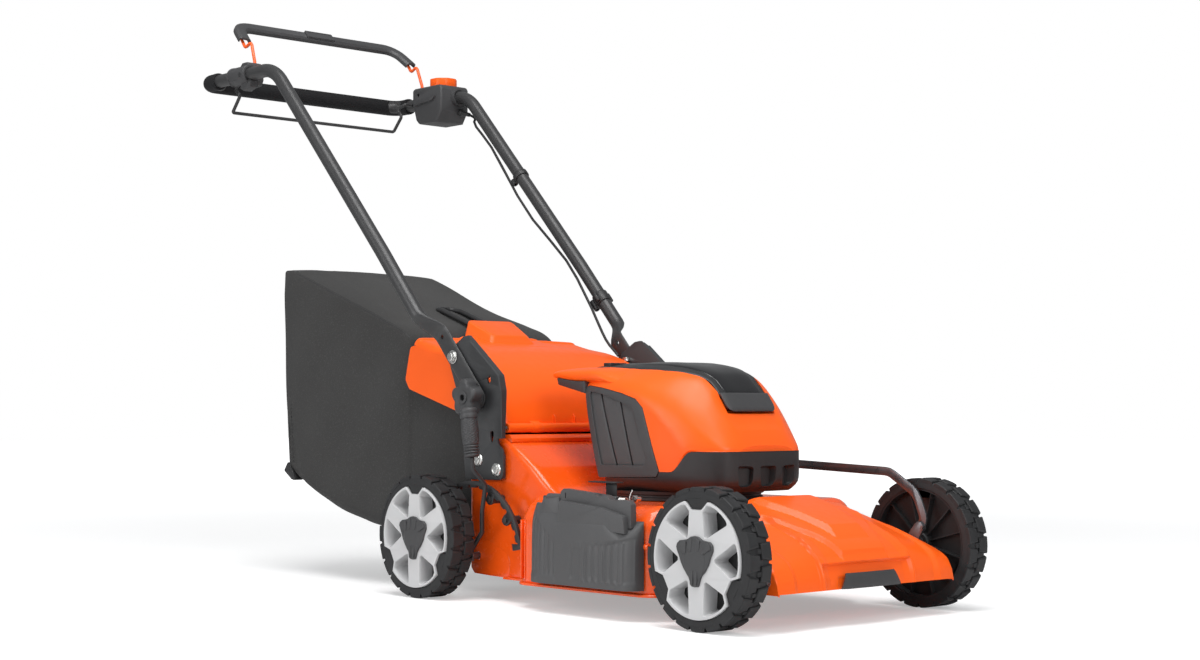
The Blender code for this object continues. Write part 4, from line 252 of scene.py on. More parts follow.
def foam(name, colour):
    mat, tree, coords = new_material(name, specular=0.3)
    cells = add_node(tree, "TexVoronoi", {"Vector": coords, "Scale": 900})
    broad = noise_node(tree, coords, 30, 3)
    return fed(mat, mixed(tree, ranged(tree, broad, 0, 1), tint(colour), tint(colour, 1.3)),
               ranged(tree, broad, 0.62, 0.74),
               bumped(tree, cells.outputs["Distance"], 0.4, 0.0003))


def woven(name, colour, thread):
    """Plain weave laid out on the piece's UV map."""
    mat, tree, coords = new_material(name, specular=0.2, sheen=0.06)
    uv = add_node(tree, "TexCoord").outputs["UV"]
    parts = add_node(tree, "SeparateXYZ", {0: uv})
    waves = []
    for axis in "XY":
        turn = add_node(tree, "Math", {0: parts.outputs[axis], 1: pi / thread},
                        operation="MULTIPLY")
        waves.append(add_node(tree, "Math", {0: turn.outputs[0]}, operation="SINE").outputs[0])
    weave = add_node(tree, "Math", dict(enumerate(waves)), operation="MULTIPLY")
    height = ranged(tree, weave.outputs[0], 0, 1, -1, 1)
    fleck = noise_node(tree, coords, 420, 3, 0.7)
    broad = ranged(tree, noise_node(tree, coords, 7, 3), 0, 1)
    base = mixed(tree, broad, tint(colour, 0.88), tint(colour, 1.1))
    # lit is the thread colour, with lighter flecks mixed in.
    lit = mixed(tree, ranged(tree, fleck, 0, 1, 0.5, 0.72), base, tint(colour, 2))
    # Painted shade: where the weave is low the colour falls to 0.55 of its own, as shade in the
    # hollows between threads.
    return fed(mat, mixed(tree, height, tint(colour, 0.55), lit),
               ranged(tree, fleck, 0.8, 0.95), bumped(tree, height, 0.6, thread * 0.25))


M = {
    "orange_plastic": moulded("orange_plastic_look", (1, 0.122, 0.008), 0.34, 1100, 0.00001, 0.2,
                              0.02, 0.03, specular=0.32),
    "orange_paint": moulded("orange_paint_look", (0.92, 0.098, 0.006), 0.24, 260, 0.00001, 0.15,
                            0.02, coat=0.55, coat_rough=0.03, specular=0.3),
    "orange_wire": moulded("orange_wire_look", (0.95, 0.12, 0.015), 0.38, 700, 0.00004, 0.4, 0.05),
    "grey_plastic": moulded("grey_plastic_look", (0.045, 0.045, 0.047), 0.5, 1600, 0.0001),
    "flap_plastic": moulded("flap_plastic_look", (0.07, 0.07, 0.072), 0.5, 1600, 0.0001),
    "slat_plastic": moulded("slat_look", (0.058, 0.058, 0.06), 0.5, 1600, 0.00008, 0.45),
    "black_plastic": moulded("black_plastic_look", (0.02, 0.02, 0.021), 0.46, 1600, 0.0001),
    "lid_plastic": moulded("lid_plastic_look", (0.01, 0.01, 0.011), 0.22, 1500, 0.000002, 0.05,
                           0.05, 0.03),
    "tyre_rubber": rubber("tyre_rubber_look", (0.019, 0.019, 0.02), 0.6),
    "silver_plastic": moulded("silver_plastic_look", (0.56, 0.56, 0.565), 0.42, 1500, 0.00003,
                              0.3, 0.02),
    "grey_coated_tube": moulded("coated_tube_look", (0.034, 0.034, 0.035), 0.38, 1300, 0.000001,
                                0.1, 0.05),
    "coated_bracket": moulded("coated_bracket_look", (0.036, 0.037, 0.039), 0.46, 1300, 0.00004,
                              0.45),
    "bare_steel": moulded("bare_steel_look", (0.16, 0.165, 0.175), 0.33, 900, 0.00001, 0.2, 0.12,
                          0.07, metallic=0.8),
    "zinc_plated_steel": plated("zinc_look", (0.74, 0.74, 0.72), 0.24, 600),
    "coated_wire": moulded("coated_wire_look", (0.035, 0.035, 0.036), 0.4, 900, 0.00005, 0.4),
    "foam_grip": foam("foam_grip_look", (0.007, 0.007, 0.008)),
    "cable_sheath": moulded("cable_sheath_look", (0.014, 0.014, 0.015), 0.48, 1200, 0.00004, 0.4),
    "bag_fabric": woven("bag_fabric_look", (0.053, 0.052, 0.051), 0.0011),
    "stitch_thread": moulded("stitch_look", (0.028, 0.028, 0.03), 0.8, 2400, 0.0001),
}


# Mesh tools

def drop(obj):
    bpy.data.objects.remove(obj, do_unlink=True)


def tidy(mesh, weld=WELD):
    bm = bmesh.new()
    bm.from_mesh(mesh)
    bmesh.ops.remove_doubles(bm, verts=bm.verts, dist=weld)
    bmesh.ops.dissolve_degenerate(bm, edges=bm.edges, dist=weld)
    bmesh.ops.recalc_face_normals(bm, faces=bm.faces)
    if bm.calc_volume(signed=True) < 0:
        bmesh.ops.reverse_faces(bm, faces=bm.faces)
    bm.to_mesh(mesh)
    bm.free()
    return mesh


def settle(obj, weld=WELD):
    """Replace a curve, or an object with modifiers, by the mesh it shows."""
    depsgraph = bpy.context.evaluated_depsgraph_get()
    mesh = bpy.data.meshes.new_from_object(obj.evaluated_get(depsgraph))
    name = obj.name
    drop(obj)
    return new_object(name, tidy(mesh, weld))


def modified(obj, kind, **settings):
    modifier = obj.modifiers.new(kind.lower(), kind)
    for key, value in settings.items():
        setattr(modifier, key, value)
    return obj


def moved(obj, matrix):
    obj.data.transform(matrix)
    return obj


def shifted(obj, *offset):
    return moved(obj, Matrix.Translation(offset))


def combine(obj, tools, operation):
    for tool in tools:
        obj = settle(modified(obj, "BOOLEAN", operation=operation, solver="EXACT", object=tool))
        drop(tool)
    return obj


def join(obj, *tools):
    return combine(obj, tools, "UNION")


def cut(obj, *tools):
    return combine(obj, tools, "DIFFERENCE")


def common(obj, *tools):
    return combine(obj, tools, "INTERSECT")


def merged(name, objs):
    """Several closed bodies as one mesh, without joining their surfaces."""
    bm = bmesh.new()
    for obj in objs:
        bm.from_mesh(obj.data)
        drop(obj)
    return from_bmesh(name, bm)


def bevelled(obj, width, segments=2, angle=35):
    return settle(modified(obj, "BEVEL", width=width, segments=segments, limit_method="ANGLE",
                           angle_limit=radians(angle), use_clamp_overlap=True))


def block(name, low, high):
    """A box between two corners, given in any order."""
    bm = bmesh.new()
    bmesh.ops.create_cube(bm, size=1)
    pairs = [sorted(pair) for pair in zip(low, high)]
    bmesh.ops.scale(bm, verts=bm.verts, vec=[b - a for a, b in pairs])
    bmesh.ops.translate(bm, verts=bm.verts, vec=[(a + b) / 2 for a, b in pairs])
    return from_bmesh(name, bm)


def upright(along):
    """Turns the Z axis into a direction."""
    return along.to_track_quat("Z", "Y").to_matrix().to_4x4()


def rod(name, start, end, radius, sides=48):
    start, end = Vector(start), Vector(end)
    along = end - start
    bm = bmesh.new()
    bmesh.ops.create_cone(bm, cap_ends=True, segments=sides, depth=along.length,
                          radius1=radius, radius2=radius)
    bm.transform(Matrix.Translation((start + end) / 2) @ upright(along))
    return from_bmesh(name, bm)


def across(name, x, z, radius, y0, y1, sides=48):
    """A rod along Y, between two places given in any order."""
    y0, y1 = sorted((y0, y1))
    return rod(name, (x, y0, z), (x, y1, z), radius, sides)


def extruded(name, outline, thickness, holes=()):
    curve = bpy.data.curves.new(name, "CURVE")
    curve.dimensions = "2D"
    curve.fill_mode = "BOTH"
    curve.extrude = thickness / 2
    for points in [outline, *holes]:
        spline = curve.splines.new("POLY")
        spline.points.add(len(points) - 1)
        for point, (x, y) in zip(spline.points, points):
            point.co = (x, y, 0, 1)
        spline.use_cyclic_u = True
    return shifted(settle(new_object(name, curve)), 0, 0, thickness / 2)


def side_plate(name, outline, y0, y1, holes=()):
    """An XZ outline extruded along Y, between two places given in any order."""
    y0, y1 = sorted((y0, y1))
    stand = Matrix(((1, 0, 0, 0), (0, 0, -1, y1), (0, 1, 0, 0), (0, 0, 0, 1)))
    obj = moved(extruded(name, outline, y1 - y0, holes), stand)
    tidy(obj.data)
    return obj


def floor_plate(name, outline, z0, z1):
    return shifted(extruded(name, outline, z1 - z0), 0, 0, z0)


def turned(name, profile, start, end, steps=64):
    """A closed profile of (radius, height) turned about a line."""
    bm = bmesh.new()
    rings = []
    for radius, height in profile:
        spokes = [2 * pi * k / steps for k in range(steps)] if radius >= 1e-6 else [pi / 2]
        rings.append([bm.verts.new((radius * cos(a), radius * sin(a), height)) for a in spokes])
    for low, high in zip(rings, rings[1:]):
        for k in range(steps):
            j = (k + 1) % steps
            quad = [low[k % len(low)], low[j % len(low)], high[j % len(high)], high[k % len(high)]]
            corners = list(dict.fromkeys(quad))
            if len(corners) > 2:
                bm.faces.new(corners)
    obj = from_bmesh(name, bm)
    tidy(obj.data)
    return moved(obj, Matrix.Translation(start) @ upright(Vector(end) - Vector(start)))


def pin(name, profile, side, spot, height, steps):
    """A profile turned about a line along Y through spot (x, z), outwards from a height."""
    x, z = spot
    return turned(name, profile, (x, side * height, z), (x, side * 1.0, z), steps)


def sleeve(inner, outer, low, high, round_r, round_z):
    """Closed profile of a sleeve whose outer edges are chamfered."""
    return [(inner, low), (outer - round_r, low), (outer, low + round_z), (outer, high - round_z),
            (outer - round_r, high), (inner, high), (inner, low)]


def across_at(name, spot, radius, start, end, sides=28):
    """A rod along Y through spot (x, z), from one place to the other."""
    x, z = spot
    return rod(name, (x, start, z), (x, end, z), radius, sides)


def corner_arc(before, corner, after, radius, steps):
    """Points that round one corner of a path."""
    back, ahead = before - corner, after - corner
    half = back.angle(ahead) / 2
    reach = min(radius / tan(half), 0.49 * back.length, 0.49 * ahead.length)
    back.normalize()
    ahead.normalize()
    start, end = corner + back * reach, corner + ahead * reach
    centre = corner + (back + ahead).normalized() * reach / cos(half)
    spokes = [(start - centre).slerp(end - centre, k / steps) for k in range(steps + 1)]
    return [centre + spoke.normalized() * (start - centre).length for spoke in spokes]


def rounded_path(points, radius, steps=8):
    points = [Vector(p) for p in points]
    path = points[:1]
    for corner in zip(points, points[1:], points[2:]):
        path += corner_arc(*corner, radius, steps)
    return path + points[-1:]


def rounded_outline(points, radius, steps=4):
    """A closed flat outline with its corners rounded, by one radius or each by its own."""
    count = len(points)
    result = []
    for i in range(count):
        before, corner, after = (Vector((*points[k % count], 0)) for k in (i - 1, i, i + 1))
        r = radius[i] if isinstance(radius, (list, tuple)) else radius
        if r <= 0 or (before - corner).angle(after - corner) > pi - 0.02:
            result.append((corner.x, corner.y))
        else:
            result += [(p.x, p.y) for p in corner_arc(before, corner, after, r, steps)]
    return result


def tube(name, path, radius, resolution=8):
    curve = bpy.data.curves.new(name, "CURVE")
    curve.dimensions = "3D"
    curve.bevel_depth = radius
    curve.bevel_resolution = resolution
    curve.use_fill_caps = True
    spline = curve.splines.new("POLY")
    spline.points.add(len(path) - 1)
    for point, co in zip(spline.points, path):
        point.co = (*co, 1)
    return settle(new_object(name, curve))


def loft(name, rings, caps=True, closed=True):
    bm = bmesh.new()
    rows = [[bm.verts.new(p) for p in ring] for ring in rings]
    count = len(rows[0])
    for low, high in zip(rows, rows[1:]):
        for i in range(count if closed else count - 1):
            j = (i + 1) % count
            bm.faces.new((low[i], low[j], high[j], high[i]))
    if caps and closed:
        bm.faces.new(rows[0])
        bm.faces.new(rows[-1])
    obj = from_bmesh(name, bm)
    if caps and closed:
        tidy(obj.data)
    return obj


def thickened(obj, thickness, offset):
    obj = settle(modified(obj, "SOLIDIFY", thickness=thickness, offset=offset,
                          use_even_offset=True))
    tidy(obj.data)
    return obj


def sheet(name, rows, thickness, offset=1):
    """An open grid of points as a thin wall."""
    return thickened(loft(name, rows, False, False), thickness, offset)


def polar(radius, degrees, centre=(0, 0)):
    angle = radians(degrees)
    return (centre[0] + radius * cos(angle), centre[1] + radius * sin(angle))


def arc(centre, radius, start, end, count):
    return [polar(radius, start + (end - start) * k / count, centre) for k in range(count + 1)]


def grown(outline, distance):
    area = sum(a[0] * b[1] - b[0] * a[1] for a, b in zip(outline, outline[1:] + outline[:1]))
    turn = 1 if area > 0 else -1
    result = []
    count = len(outline)
    for i in range(count):
        before, here, after = (Vector(outline[k % count]) for k in (i - 1, i, i + 1))
        first = (here - before).normalized()
        second = (after - here).normalized()
        one = Vector((first.y, -first.x)) * turn
        two = Vector((second.y, -second.x)) * turn
        mitre = (one + two).normalized()
        stretch = min(1.6, 1 / max(mitre.dot(one), 0.3))
        result.append(tuple(here + mitre * distance * stretch))
    return result


def eased(pairs, x):
    """A value read from (x, value) pairs along a smooth curve that doesn't overshoot."""
    if x <= pairs[0][0]:
        return pairs[0][1]
    if x >= pairs[-1][0]:
        return pairs[-1][1]
    grades = [(b - a) / (x1 - x0) for (x0, a), (x1, b) in zip(pairs, pairs[1:])]
    slopes = [grades[0], *(0.0 if a * b <= 0 else 2 * a * b / (a + b)
                           for a, b in zip(grades, grades[1:])), grades[-1]]
    i = next(i for i, (place, _) in enumerate(pairs[1:]) if x <= place)
    (x0, a), (x1, b) = pairs[i:i + 2]
    h = x1 - x0
    t = (x - x0) / h
    return ((2 * t ** 3 - 3 * t ** 2 + 1) * a + (t ** 3 - 2 * t ** 2 + t) * h * slopes[i]
            + (-2 * t ** 3 + 3 * t ** 2) * b + (t ** 3 - t ** 2) * h * slopes[i + 1])


def ramp(low, high, value):
    """Straight rise from 0 at low to 1 at high, so that pressed edges stay crisp."""
    return min(1.0, max(0.0, (value - low) / (high - low)))


def step(low, high, x):
    """Smooth 0..1 between low and high."""
    t = ramp(low, high, x)
    return t * t * (3 - 2 * t)


def spread(low, high, count):
    return [low + (high - low) * k / count for k in range(count + 1)]


def curve_through(points, count):
    """Points on a smooth curve through the given ones."""
    points = [Vector(p) for p in points]
    padded = [2 * points[0] - points[1], *points, 2 * points[-1] - points[-2]]
    path = []
    for index in range(count + 1):
        t = index / count * (len(points) - 1)
        k = min(int(t), len(points) - 2)
        u = t - k
        a, b, c, d = padded[k:k + 4]
        path.append(0.5 * ((2 * b) + (c - a) * u + (2 * a - 5 * b + 4 * c - d) * u * u
                           + (3 * b - a - 3 * c + d) * u ** 3))
    return path


def flat_curve(pairs, count):
    """A smooth curve through flat points, as pairs."""
    return [(p.x, p.y) for p in curve_through([(a, b, 0) for a, b in pairs], count)]


done = set()


def piece(obj, name, mat, body, *nodes, angle=32, slot=None):
    """Finish a piece: name, shading, its body and the nodes it stands for.

    It gets the material of that name, or keeps its own where mat is None.
    """
    obj.name = name
    mesh = obj.data
    mesh.name = name
    if mat:
        mesh.materials.clear()
        mesh.materials.append(M[mat])
    mesh.shade_smooth()
    mesh.set_sharp_from_angle(angle=radians(angle))
    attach(obj, body)
    if nodes:
        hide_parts(*nodes)
        done.update(nodes)


def refined(node):
    """The node's own solid with rounded edges and smooth shading."""
    bm = bmesh.new()
    bm.from_mesh(NODES[node].data)
    bmesh.ops.remove_doubles(bm, verts=bm.verts, dist=WELD)
    bmesh.ops.dissolve_limit(bm, angle_limit=radians(1), verts=bm.verts, edges=bm.edges)
    obj = bevelled(from_bmesh(f"{node}_fine", bm), 0.0008, 2, 30)
    piece(obj, f"{node}_fine", SLOT_OF[node], BODY_OF[node], node, angle=40)


# Wheels: tyre, web and teeth in one dark moulding, silver trim disc, hub cap

WHEEL_R = 0.1025
TYRE_HALF = 0.0225
RIM_R = 0.085
RIM_FACE = 0.0255
WEB_FACE = -0.002
PLACES = {
    "front_right": (0.657, -0.2484, 1), "rear_right": (-0.002, -0.2484, 1),
    "front_left": (0.657, 0.2484, -1), "rear_left": (-0.002, 0.2484, -1)}
TEETH = (90, 210, 330)
WINDOW_FACE = ([(0.0365, 3.5), (0.069, 18.6), (0.0795, 14.2), (0.0812, 9), (0.0815, 2),
                (0.0815, -7), (0.0812, -15), (0.0795, -19.8), (0.0365, -3.5)],
               [0.002, 0.003, 0.0035, 0, 0, 0, 0, 0.0035, 0.002])
WINDOW_BACK = ([(0.0378, 2.2), (0.0655, 17.2), (0.0722, 13.8), (0.0735, 9), (0.0738, 2),
                (0.0738, -6.5), (0.0735, -13.2), (0.0718, -18), (0.0378, -2.2)],
               [0.001, 0.002, 0.0022, 0, 0, 0, 0, 0.0022, 0.001])


def lug(angle, half_wide, half_narrow, z_wide, z_narrow, low, high):
    """Tread block: broad at the tyre's shoulder, narrower towards the middle, sides drafted."""
    rings = []
    for radius, ease in ((low, 1.14), (high - 0.0011, 1.03), (high, 0.86)):
        trim = 0 if ease > 1 else 0.0011
        reach = trim if z_wide > 0 else -trim
        ring = []
        for half, z, order in ((half_wide, z_wide - reach, (0, 1, 2, 3)),
                               (half_narrow, z_narrow + reach, (3, 2, 1, 0))):
            ring += [(*polar(radius, angle + half * ease * (2 * k / 3 - 1)), z) for k in order]
        rings.append(ring)
    return loft("lug", rings)


def spun(name, profile, steps):
    """A profile turned about the wheel's axle."""
    return turned(name, profile, (0, 0, 0), (0, 0, 1), steps)


def tyre_mesh():
    base = WHEEL_R - 0.0036
    left = [(RIM_R + 0.0004, TYRE_HALF - 0.001), (RIM_R + 0.002, TYRE_HALF), (0.0925, TYRE_HALF),
            (0.0962, TYRE_HALF - 0.0006), (base, TYRE_HALF - 0.0045), (base + 0.0004, 0.004),
            (base - 0.0012, 0.001)]
    profile = [(r, -z) for r, z in left] + left[::-1]
    parts = [spun("ring", profile + profile[:1], 120)]
    for k in range(20):
        for turn, side, narrow in ((0, 1, 2.3), (9, -1, 2)):
            angle = 90 + 18 * k + turn
            parts.append(lug(angle, 7.2, 5.4, side * (TYRE_HALF - 0.0002), side * 0.0022, 0.096,
                             WHEEL_R))
            parts.append(lug(angle, narrow, narrow, side * 0.0065, -side * 0.005, 0.095,
                             WHEEL_R - 0.0016))
    return merged("tyre", parts)


def tooth_outline(inner, outer, half_inner, half_outer, angle):
    corners = [polar(outer, angle - half_outer), polar(outer, angle + half_outer),
               polar(inner, angle + half_inner), polar(inner, angle - half_inner)]
    return rounded_outline(corners, [0, 0, 0.0035, 0.0035], 4)


def web_mesh():
    back = WEB_FACE - 0.004
    parts = [spun("web", [(0, back), (RIM_R + 0.001, back), (RIM_R + 0.001, WEB_FACE),
                          (0.06, WEB_FACE - 0.0006), (0.03, WEB_FACE), (0, WEB_FACE)], 72),
             spun("hub", [(0.0067, -0.019), (0.015, -0.019), (0.0168, -0.017), (0.0168, 0.014),
                          (0.0155, 0.0155), (0.0067, 0.0155), (0.0067, -0.019)], 40)]
    for k in range(12):
        rib = block("rib", (0.0165, -0.0011, back - 0.009), (RIM_R + 0.0008, 0.0011, back + 0.001))
        parts.append(moved(rib, Matrix.Rotation(radians(30 * k + 15), 4, "Z")))
    lip = [(RIM_R + 0.0005, -TYRE_HALF + 0.0012), (RIM_R + 0.0005, back), (RIM_R - 0.0018, back),
           (RIM_R - 0.0018, -TYRE_HALF + 0.0012)]
    parts.append(spun("lip", lip + lip[:1], 72))
    for angle in TEETH:
        outline = tooth_outline(RIM_R - 0.0135, RIM_R + 0.004, 8.2, 15, angle)
        tooth = shifted(extruded("tooth", outline, TYRE_HALF - 0.0002 - back), 0, 0, back)
        parts.append(bevelled(tooth, 0.0012, 3, 40))
    return merged("web", parts)


def window_outline(direction, side, polars, radii):
    """Wedge window between two spokes; side tells where the neighbouring tooth lies."""
    return rounded_outline([polar(r, direction + a * side) for r, a in polars], radii, 4)


def rim_mesh():
    edge, inner = RIM_R - 0.0002, RIM_R - 0.0135 - 0.0005
    notch = [(edge, -18), (edge, -15.9), (inner, -8.9), (inner, 8.9), (edge, 15.9), (edge, 18)]
    outline = []
    for angle in TEETH:
        outline += rounded_outline([polar(r, angle + a) for r, a in notch],
                                   [0, 0.0007, 0.0035, 0.0035, 0.0007, 0], 4)
        outline += [polar(edge, angle + 18 + 84 * k / 22) for k in range(1, 22)]
    depth = RIM_FACE - WEB_FACE - 0.0003
    rim = bevelled(shifted(extruded("rim", outline, depth), 0, 0, RIM_FACE - depth), 0.0009, 3, 60)
    z0, z1 = RIM_FACE - depth - 0.0005, RIM_FACE + 0.0001
    for k in range(6):
        side = 1 if k % 2 else -1
        face = window_outline(60 * k, side, *WINDOW_FACE)
        back = window_outline(60 * k, side, *WINDOW_BACK)
        middle = Vector(polar(0.062, 60 * k))
        rings = []
        for t in (-0.04, 0, 0.3, 0.6, 0.86, 0.97, 1, 1.04):
            blend = min(1.0, max(0.0, t)) ** 1.25
            flare = 1 if t < 0.97 else (1.012 if t < 1 else 1.03)
            ring = []
            for a, b in zip(back, face):
                point = middle + (Vector(a).lerp(Vector(b), blend) - middle) * flare
                ring.append((point.x, point.y, z0 + (z1 - z0) * t))
            rings.append(ring)
        rim = cut(rim, loft("window", rings))
    return cut(rim, rod("centre", (0, 0, -0.01), (0, 0, RIM_FACE + 0.01), 0.0172))


CAP_HALF = [(0.0, 0.0335), (0.008, 0.0322), (0.015, 0.0282), (0.0215, 0.0272), (0.03, 0.0262),
            (0.0352, 0.0212), (0.0358, 0.014), (0.031, 0.0045), (0.0272, -0.005),
            (0.0208, -0.015), (0.013, -0.0225), (0.0098, -0.03), (0.0072, -0.0375),
            (0.0, -0.0385)]


def cap_mesh():
    outline = CAP_HALF + [(-x, y) for x, y in reversed(CAP_HALF[1:-1])]
    radii = [0, 0.004, 0.003, 0.003, 0.004, 0.004, 0.004, 0.004, 0.006, 0.006, 0.004, 0.003, 0.003]
    outline = rounded_outline(outline, radii + [0] + radii[1:][::-1], 3)
    z0 = RIM_FACE + 0.0003
    rings = []
    for inset, z in ((0, z0), (0, z0 + 0.002), (0.0006, z0 + 0.0029), (0.002, z0 + 0.0034)):
        ring = grown(outline, -inset) if inset else outline
        rings.append([(x, y, z) for x, y in ring])
    dome = []
    for share, z in ((1, 0.0015), (0.985, 0.0034), (0.93, 0.0042), (0.8, 0.0046), (0.4, 0.0049)):
        angles = [2 * pi * k / 48 for k in range(48)]
        dome.append([(0.0222 * share * cos(a), (0.0312 if sin(a) > 0 else 0.0285) * share * sin(a),
                      z0 + z) for a in angles])
    parts = [loft("cap", rings), loft("dome", dome)]
    for wedge in ([(0.002, 0.0318), (0.0125, 0.0272), (0.0118, 0.016), (0.005, 0.008)],
                  [(0.0145, 0.0262), (0.0318, 0.0232), (0.0338, 0.0158), (0.015, 0.0072)],
                  [(0.001, -0.013), (0.0078, -0.018), (0.0062, -0.035), (0.001, -0.0362)]):
        for shape in ([(-x, y) for x, y in reversed(wedge)], wedge):
            pad = extruded("pad", rounded_outline(shape, 0.0022, 3), 0.0024)
            parts.append(bevelled(shifted(pad, 0, 0, z0 + 0.003), 0.0009, 2, 30))
    return merged("cap", parts)


def build_wheels():
    forms = (("tyre", tyre_mesh(), "tyre_rubber", 30, "wheel"),
             ("web", web_mesh(), "tyre_rubber", 35, None),
             ("trim", rim_mesh(), "silver_plastic", 28, "rim"),
             ("cap", cap_mesh(), "grey_plastic", 30, "hub_cap"))
    for place, (x, y, hand) in PLACES.items():
        turn = Matrix(((hand, 0, 0), (0, 0, -hand), (0, 1, 0)))
        matrix = Matrix.Translation((x, y, WHEEL_R)) @ turn.to_4x4()
        for label, form, mat, angle, node in forms:
            obj = moved(new_object(label, form.data.copy()), matrix)
            nodes = [f"{node}_{place}"] if node else []
            piece(obj, f"{label}_{place}", mat, f"{place}_wheel", *nodes, angle=angle)
    for _, form, *_ in forms:
        drop(form)


build_wheels()


# Motor head: cover, lid, vent panels, base

HEAD_HALF = [(0.247, 0.1225), (0.262, 0.127), (0.3, 0.13), (0.38, 0.13), (0.42, 0.1275),
             (0.455, 0.122), (0.485, 0.113), (0.508, 0.103), (0.524, 0.093), (0.536, 0.08),
             (0.542, 0.06)]
HEAD_TOP = [(0.247, 0.376), (0.262, 0.381), (0.3, 0.387), (0.34, 0.389), (0.38, 0.388),
            (0.42, 0.383), (0.455, 0.372), (0.485, 0.348), (0.508, 0.318), (0.524, 0.292),
            (0.536, 0.27), (0.542, 0.258)]
HEAD_SHOULDER = [(0.247, 0.35), (0.3, 0.352), (0.34, 0.348), (0.38, 0.34),
                 (0.42, 0.326), (0.455, 0.308), (0.485, 0.29), (0.508, 0.274),
                 (0.524, 0.263), (0.536, 0.256), (0.542, 0.252)]
BLADE_X = 0.367
SEAM_Z = 0.217
SEAM_FRONT_Z = 0.249
HEAD_REAR_X = 0.247
HEAD_BEND_X = 0.505
TAIL_REAR_X = 0.171
LID_REAR_X = 0.2622
LID_FRONT_X = 0.462
LEDGE_Z = 0.33
SILL_Z = 0.3115
PANEL_HALF = 0.053
LID_PLAN = [(0.262, 0.072), (0.29, 0.083), (0.35, 0.086), (0.4, 0.081), (0.44, 0.069),
            (0.465, 0.058), (0.489, 0.0534)]
LID_FOOT = [(0.262, 0.0715), (0.29, 0.082), (0.332, 0.084), (0.382, 0.08), (0.422, 0.068),
            (0.447, 0.057), (0.471, 0.053)]
CREASE = [(0.285, 0.362), (0.32, 0.352), (0.35, 0.344), (0.385, 0.331), (0.42, 0.311),
          (0.45, 0.286), (0.47, 0.262), (0.488, 0.238)]


def head_seam(x):
    return SEAM_Z + (SEAM_FRONT_Z - SEAM_Z) * step(0.452, 0.487, x)


def line_distance(line, x, z):
    """Signed distance from a polyline in the side view; positive above and ahead of it."""
    best, sign, along = 9.0, 1.0, 0.0
    for i, ((x0, z0), (x1, z1)) in enumerate(zip(line, line[1:])):
        dx, dz = x1 - x0, z1 - z0
        t = ((x - x0) * dx + (z - z0) * dz) / (dx * dx + dz * dz)
        t = min(1.0, max(0.0, t))
        gap = hypot(x - x0 - t * dx, z - z0 - t * dz)
        if gap < best:
            best = gap
            sign = 1.0 if dx * (z - z0) - dz * (x - x0) > 0 else -1.0
            along = (i + t) / (len(line) - 1)
    return best * sign, along


def head_profile(x, bottom, count=34):
    """Smooth half section from the top middle down to the seam, as (y, z) pairs."""
    half, top, shoulder = (eased(pairs, x) for pairs in (HEAD_HALF, HEAD_TOP, HEAD_SHOULDER))
    rise = top - shoulder
    control = [(0, top), (0.34 * half, top - 0.01 * rise), (0.6 * half, top - 0.16 * rise),
               (0.8 * half, top - 0.52 * rise), (0.925 * half, shoulder + 0.1 * rise),
               (0.975 * half, shoulder - 0.22 * (shoulder - bottom)),
               (half, bottom + 0.3 * (shoulder - bottom)), (half, bottom)]
    return [(max(0.0, min(y, half)), z) for y, z in flat_curve(control, count)]


def head_relief(x, y, z):
    """Creases and hollows of the cover, as a distance outwards."""
    out = 0.0
    if abs(y) > 0.055:
        gap, along = line_distance(CREASE, x, z)
        fade = step(0.02, 0.3, along) * step(0.052, 0.085, abs(y))
        out += 0.003 * fade * exp(-abs(gap) / (0.02 if gap > 0 else 0.012))
        if gap > 0:
            out -= 0.0012 * fade * step(0.0, 0.03, gap)
    if x > 0.46 and z < 0.335:
        side = 0.06 - 0.01 * step(0.312, 0.286, z)
        out -= 0.0026 * step(side + 0.006, side - 0.004, abs(y)) * step(0.2835, 0.2895, z)
    return out


def relieved(x, y, z):
    out = head_relief(x, y, z)
    away = Vector((max(0.0, x - 0.43) * 1.6, y, max(0.0, z - 0.3) * 1.2 + 0.01)).normalized()
    return Vector((x, y, z)) + away * out


def head_form(name, bottom, inset=0, relief=True, count=34):
    rings = []
    stations = [HEAD_REAR_X + (HEAD_BEND_X - HEAD_REAR_X) * k / 46 for k in range(46)]
    stations += [HEAD_BEND_X + 0.037 * sin(pi / 2 * k / 16) for k in range(17)]
    for x in stations:
        low = bottom(x)
        half = head_profile(x, low, count)
        ring = [(-y, z) for y, z in reversed(half[1:])] + half
        if inset:
            ring = grown(ring, -inset)
        rings.append([relieved(x, y, z) if relief and z > low + 0.0005 else (x, y, z)
                      for y, z in ring])
    return loft(name, rings)


def both_sides(right, inset):
    return grown(right + [(x, -y) for x, y in reversed(right)], -inset)


def head_z(x, y):
    """Height of the smooth cover over a point of the plan."""
    profile = head_profile(x, SEAM_Z)
    y = abs(y)
    for (y0, z0), (y1, z1) in zip(profile, profile[1:]):
        if y1 > y >= y0:
            return z0 + (z1 - z0) * (y - y0) / (y1 - y0)
    return profile[-1][1]


def head_front_x(y, z):
    """How far forward the smooth cover reaches at a point of the front view."""
    low, high = 0.4, 0.542
    for _ in range(26):
        middle = (low + high) / 2
        if head_z(middle, y) > z:
            low = middle
        else:
            high = middle
    return low


VENT = [(0.253, 0.3492), (0.262, 0.3525), (0.3, 0.348), (0.345, 0.3395), (0.379, 0.33),
        (0.395, 0.316), (0.431, 0.218), (0.4265, 0.2085), (0.298, 0.2052)]
SLATS = [(0.2685, 0.343), (0.3, 0.3385), (0.345, 0.3255), (0.372, 0.313), (0.405, 0.237),
         (0.4035, 0.229), (0.398, 0.2265), (0.3045, 0.225)]


def lid_top(y):
    """Height of the lid at its hinge."""
    return 0.3893 - 0.0062 * (y / 0.083) ** 2


def lid_crest(x, y):
    """Top of the lid, fuller than the cover towards its hinge."""
    z = head_z(x, y)
    return z + max(0.0, lid_top(y) - z) * step(0.345, 0.275, x)


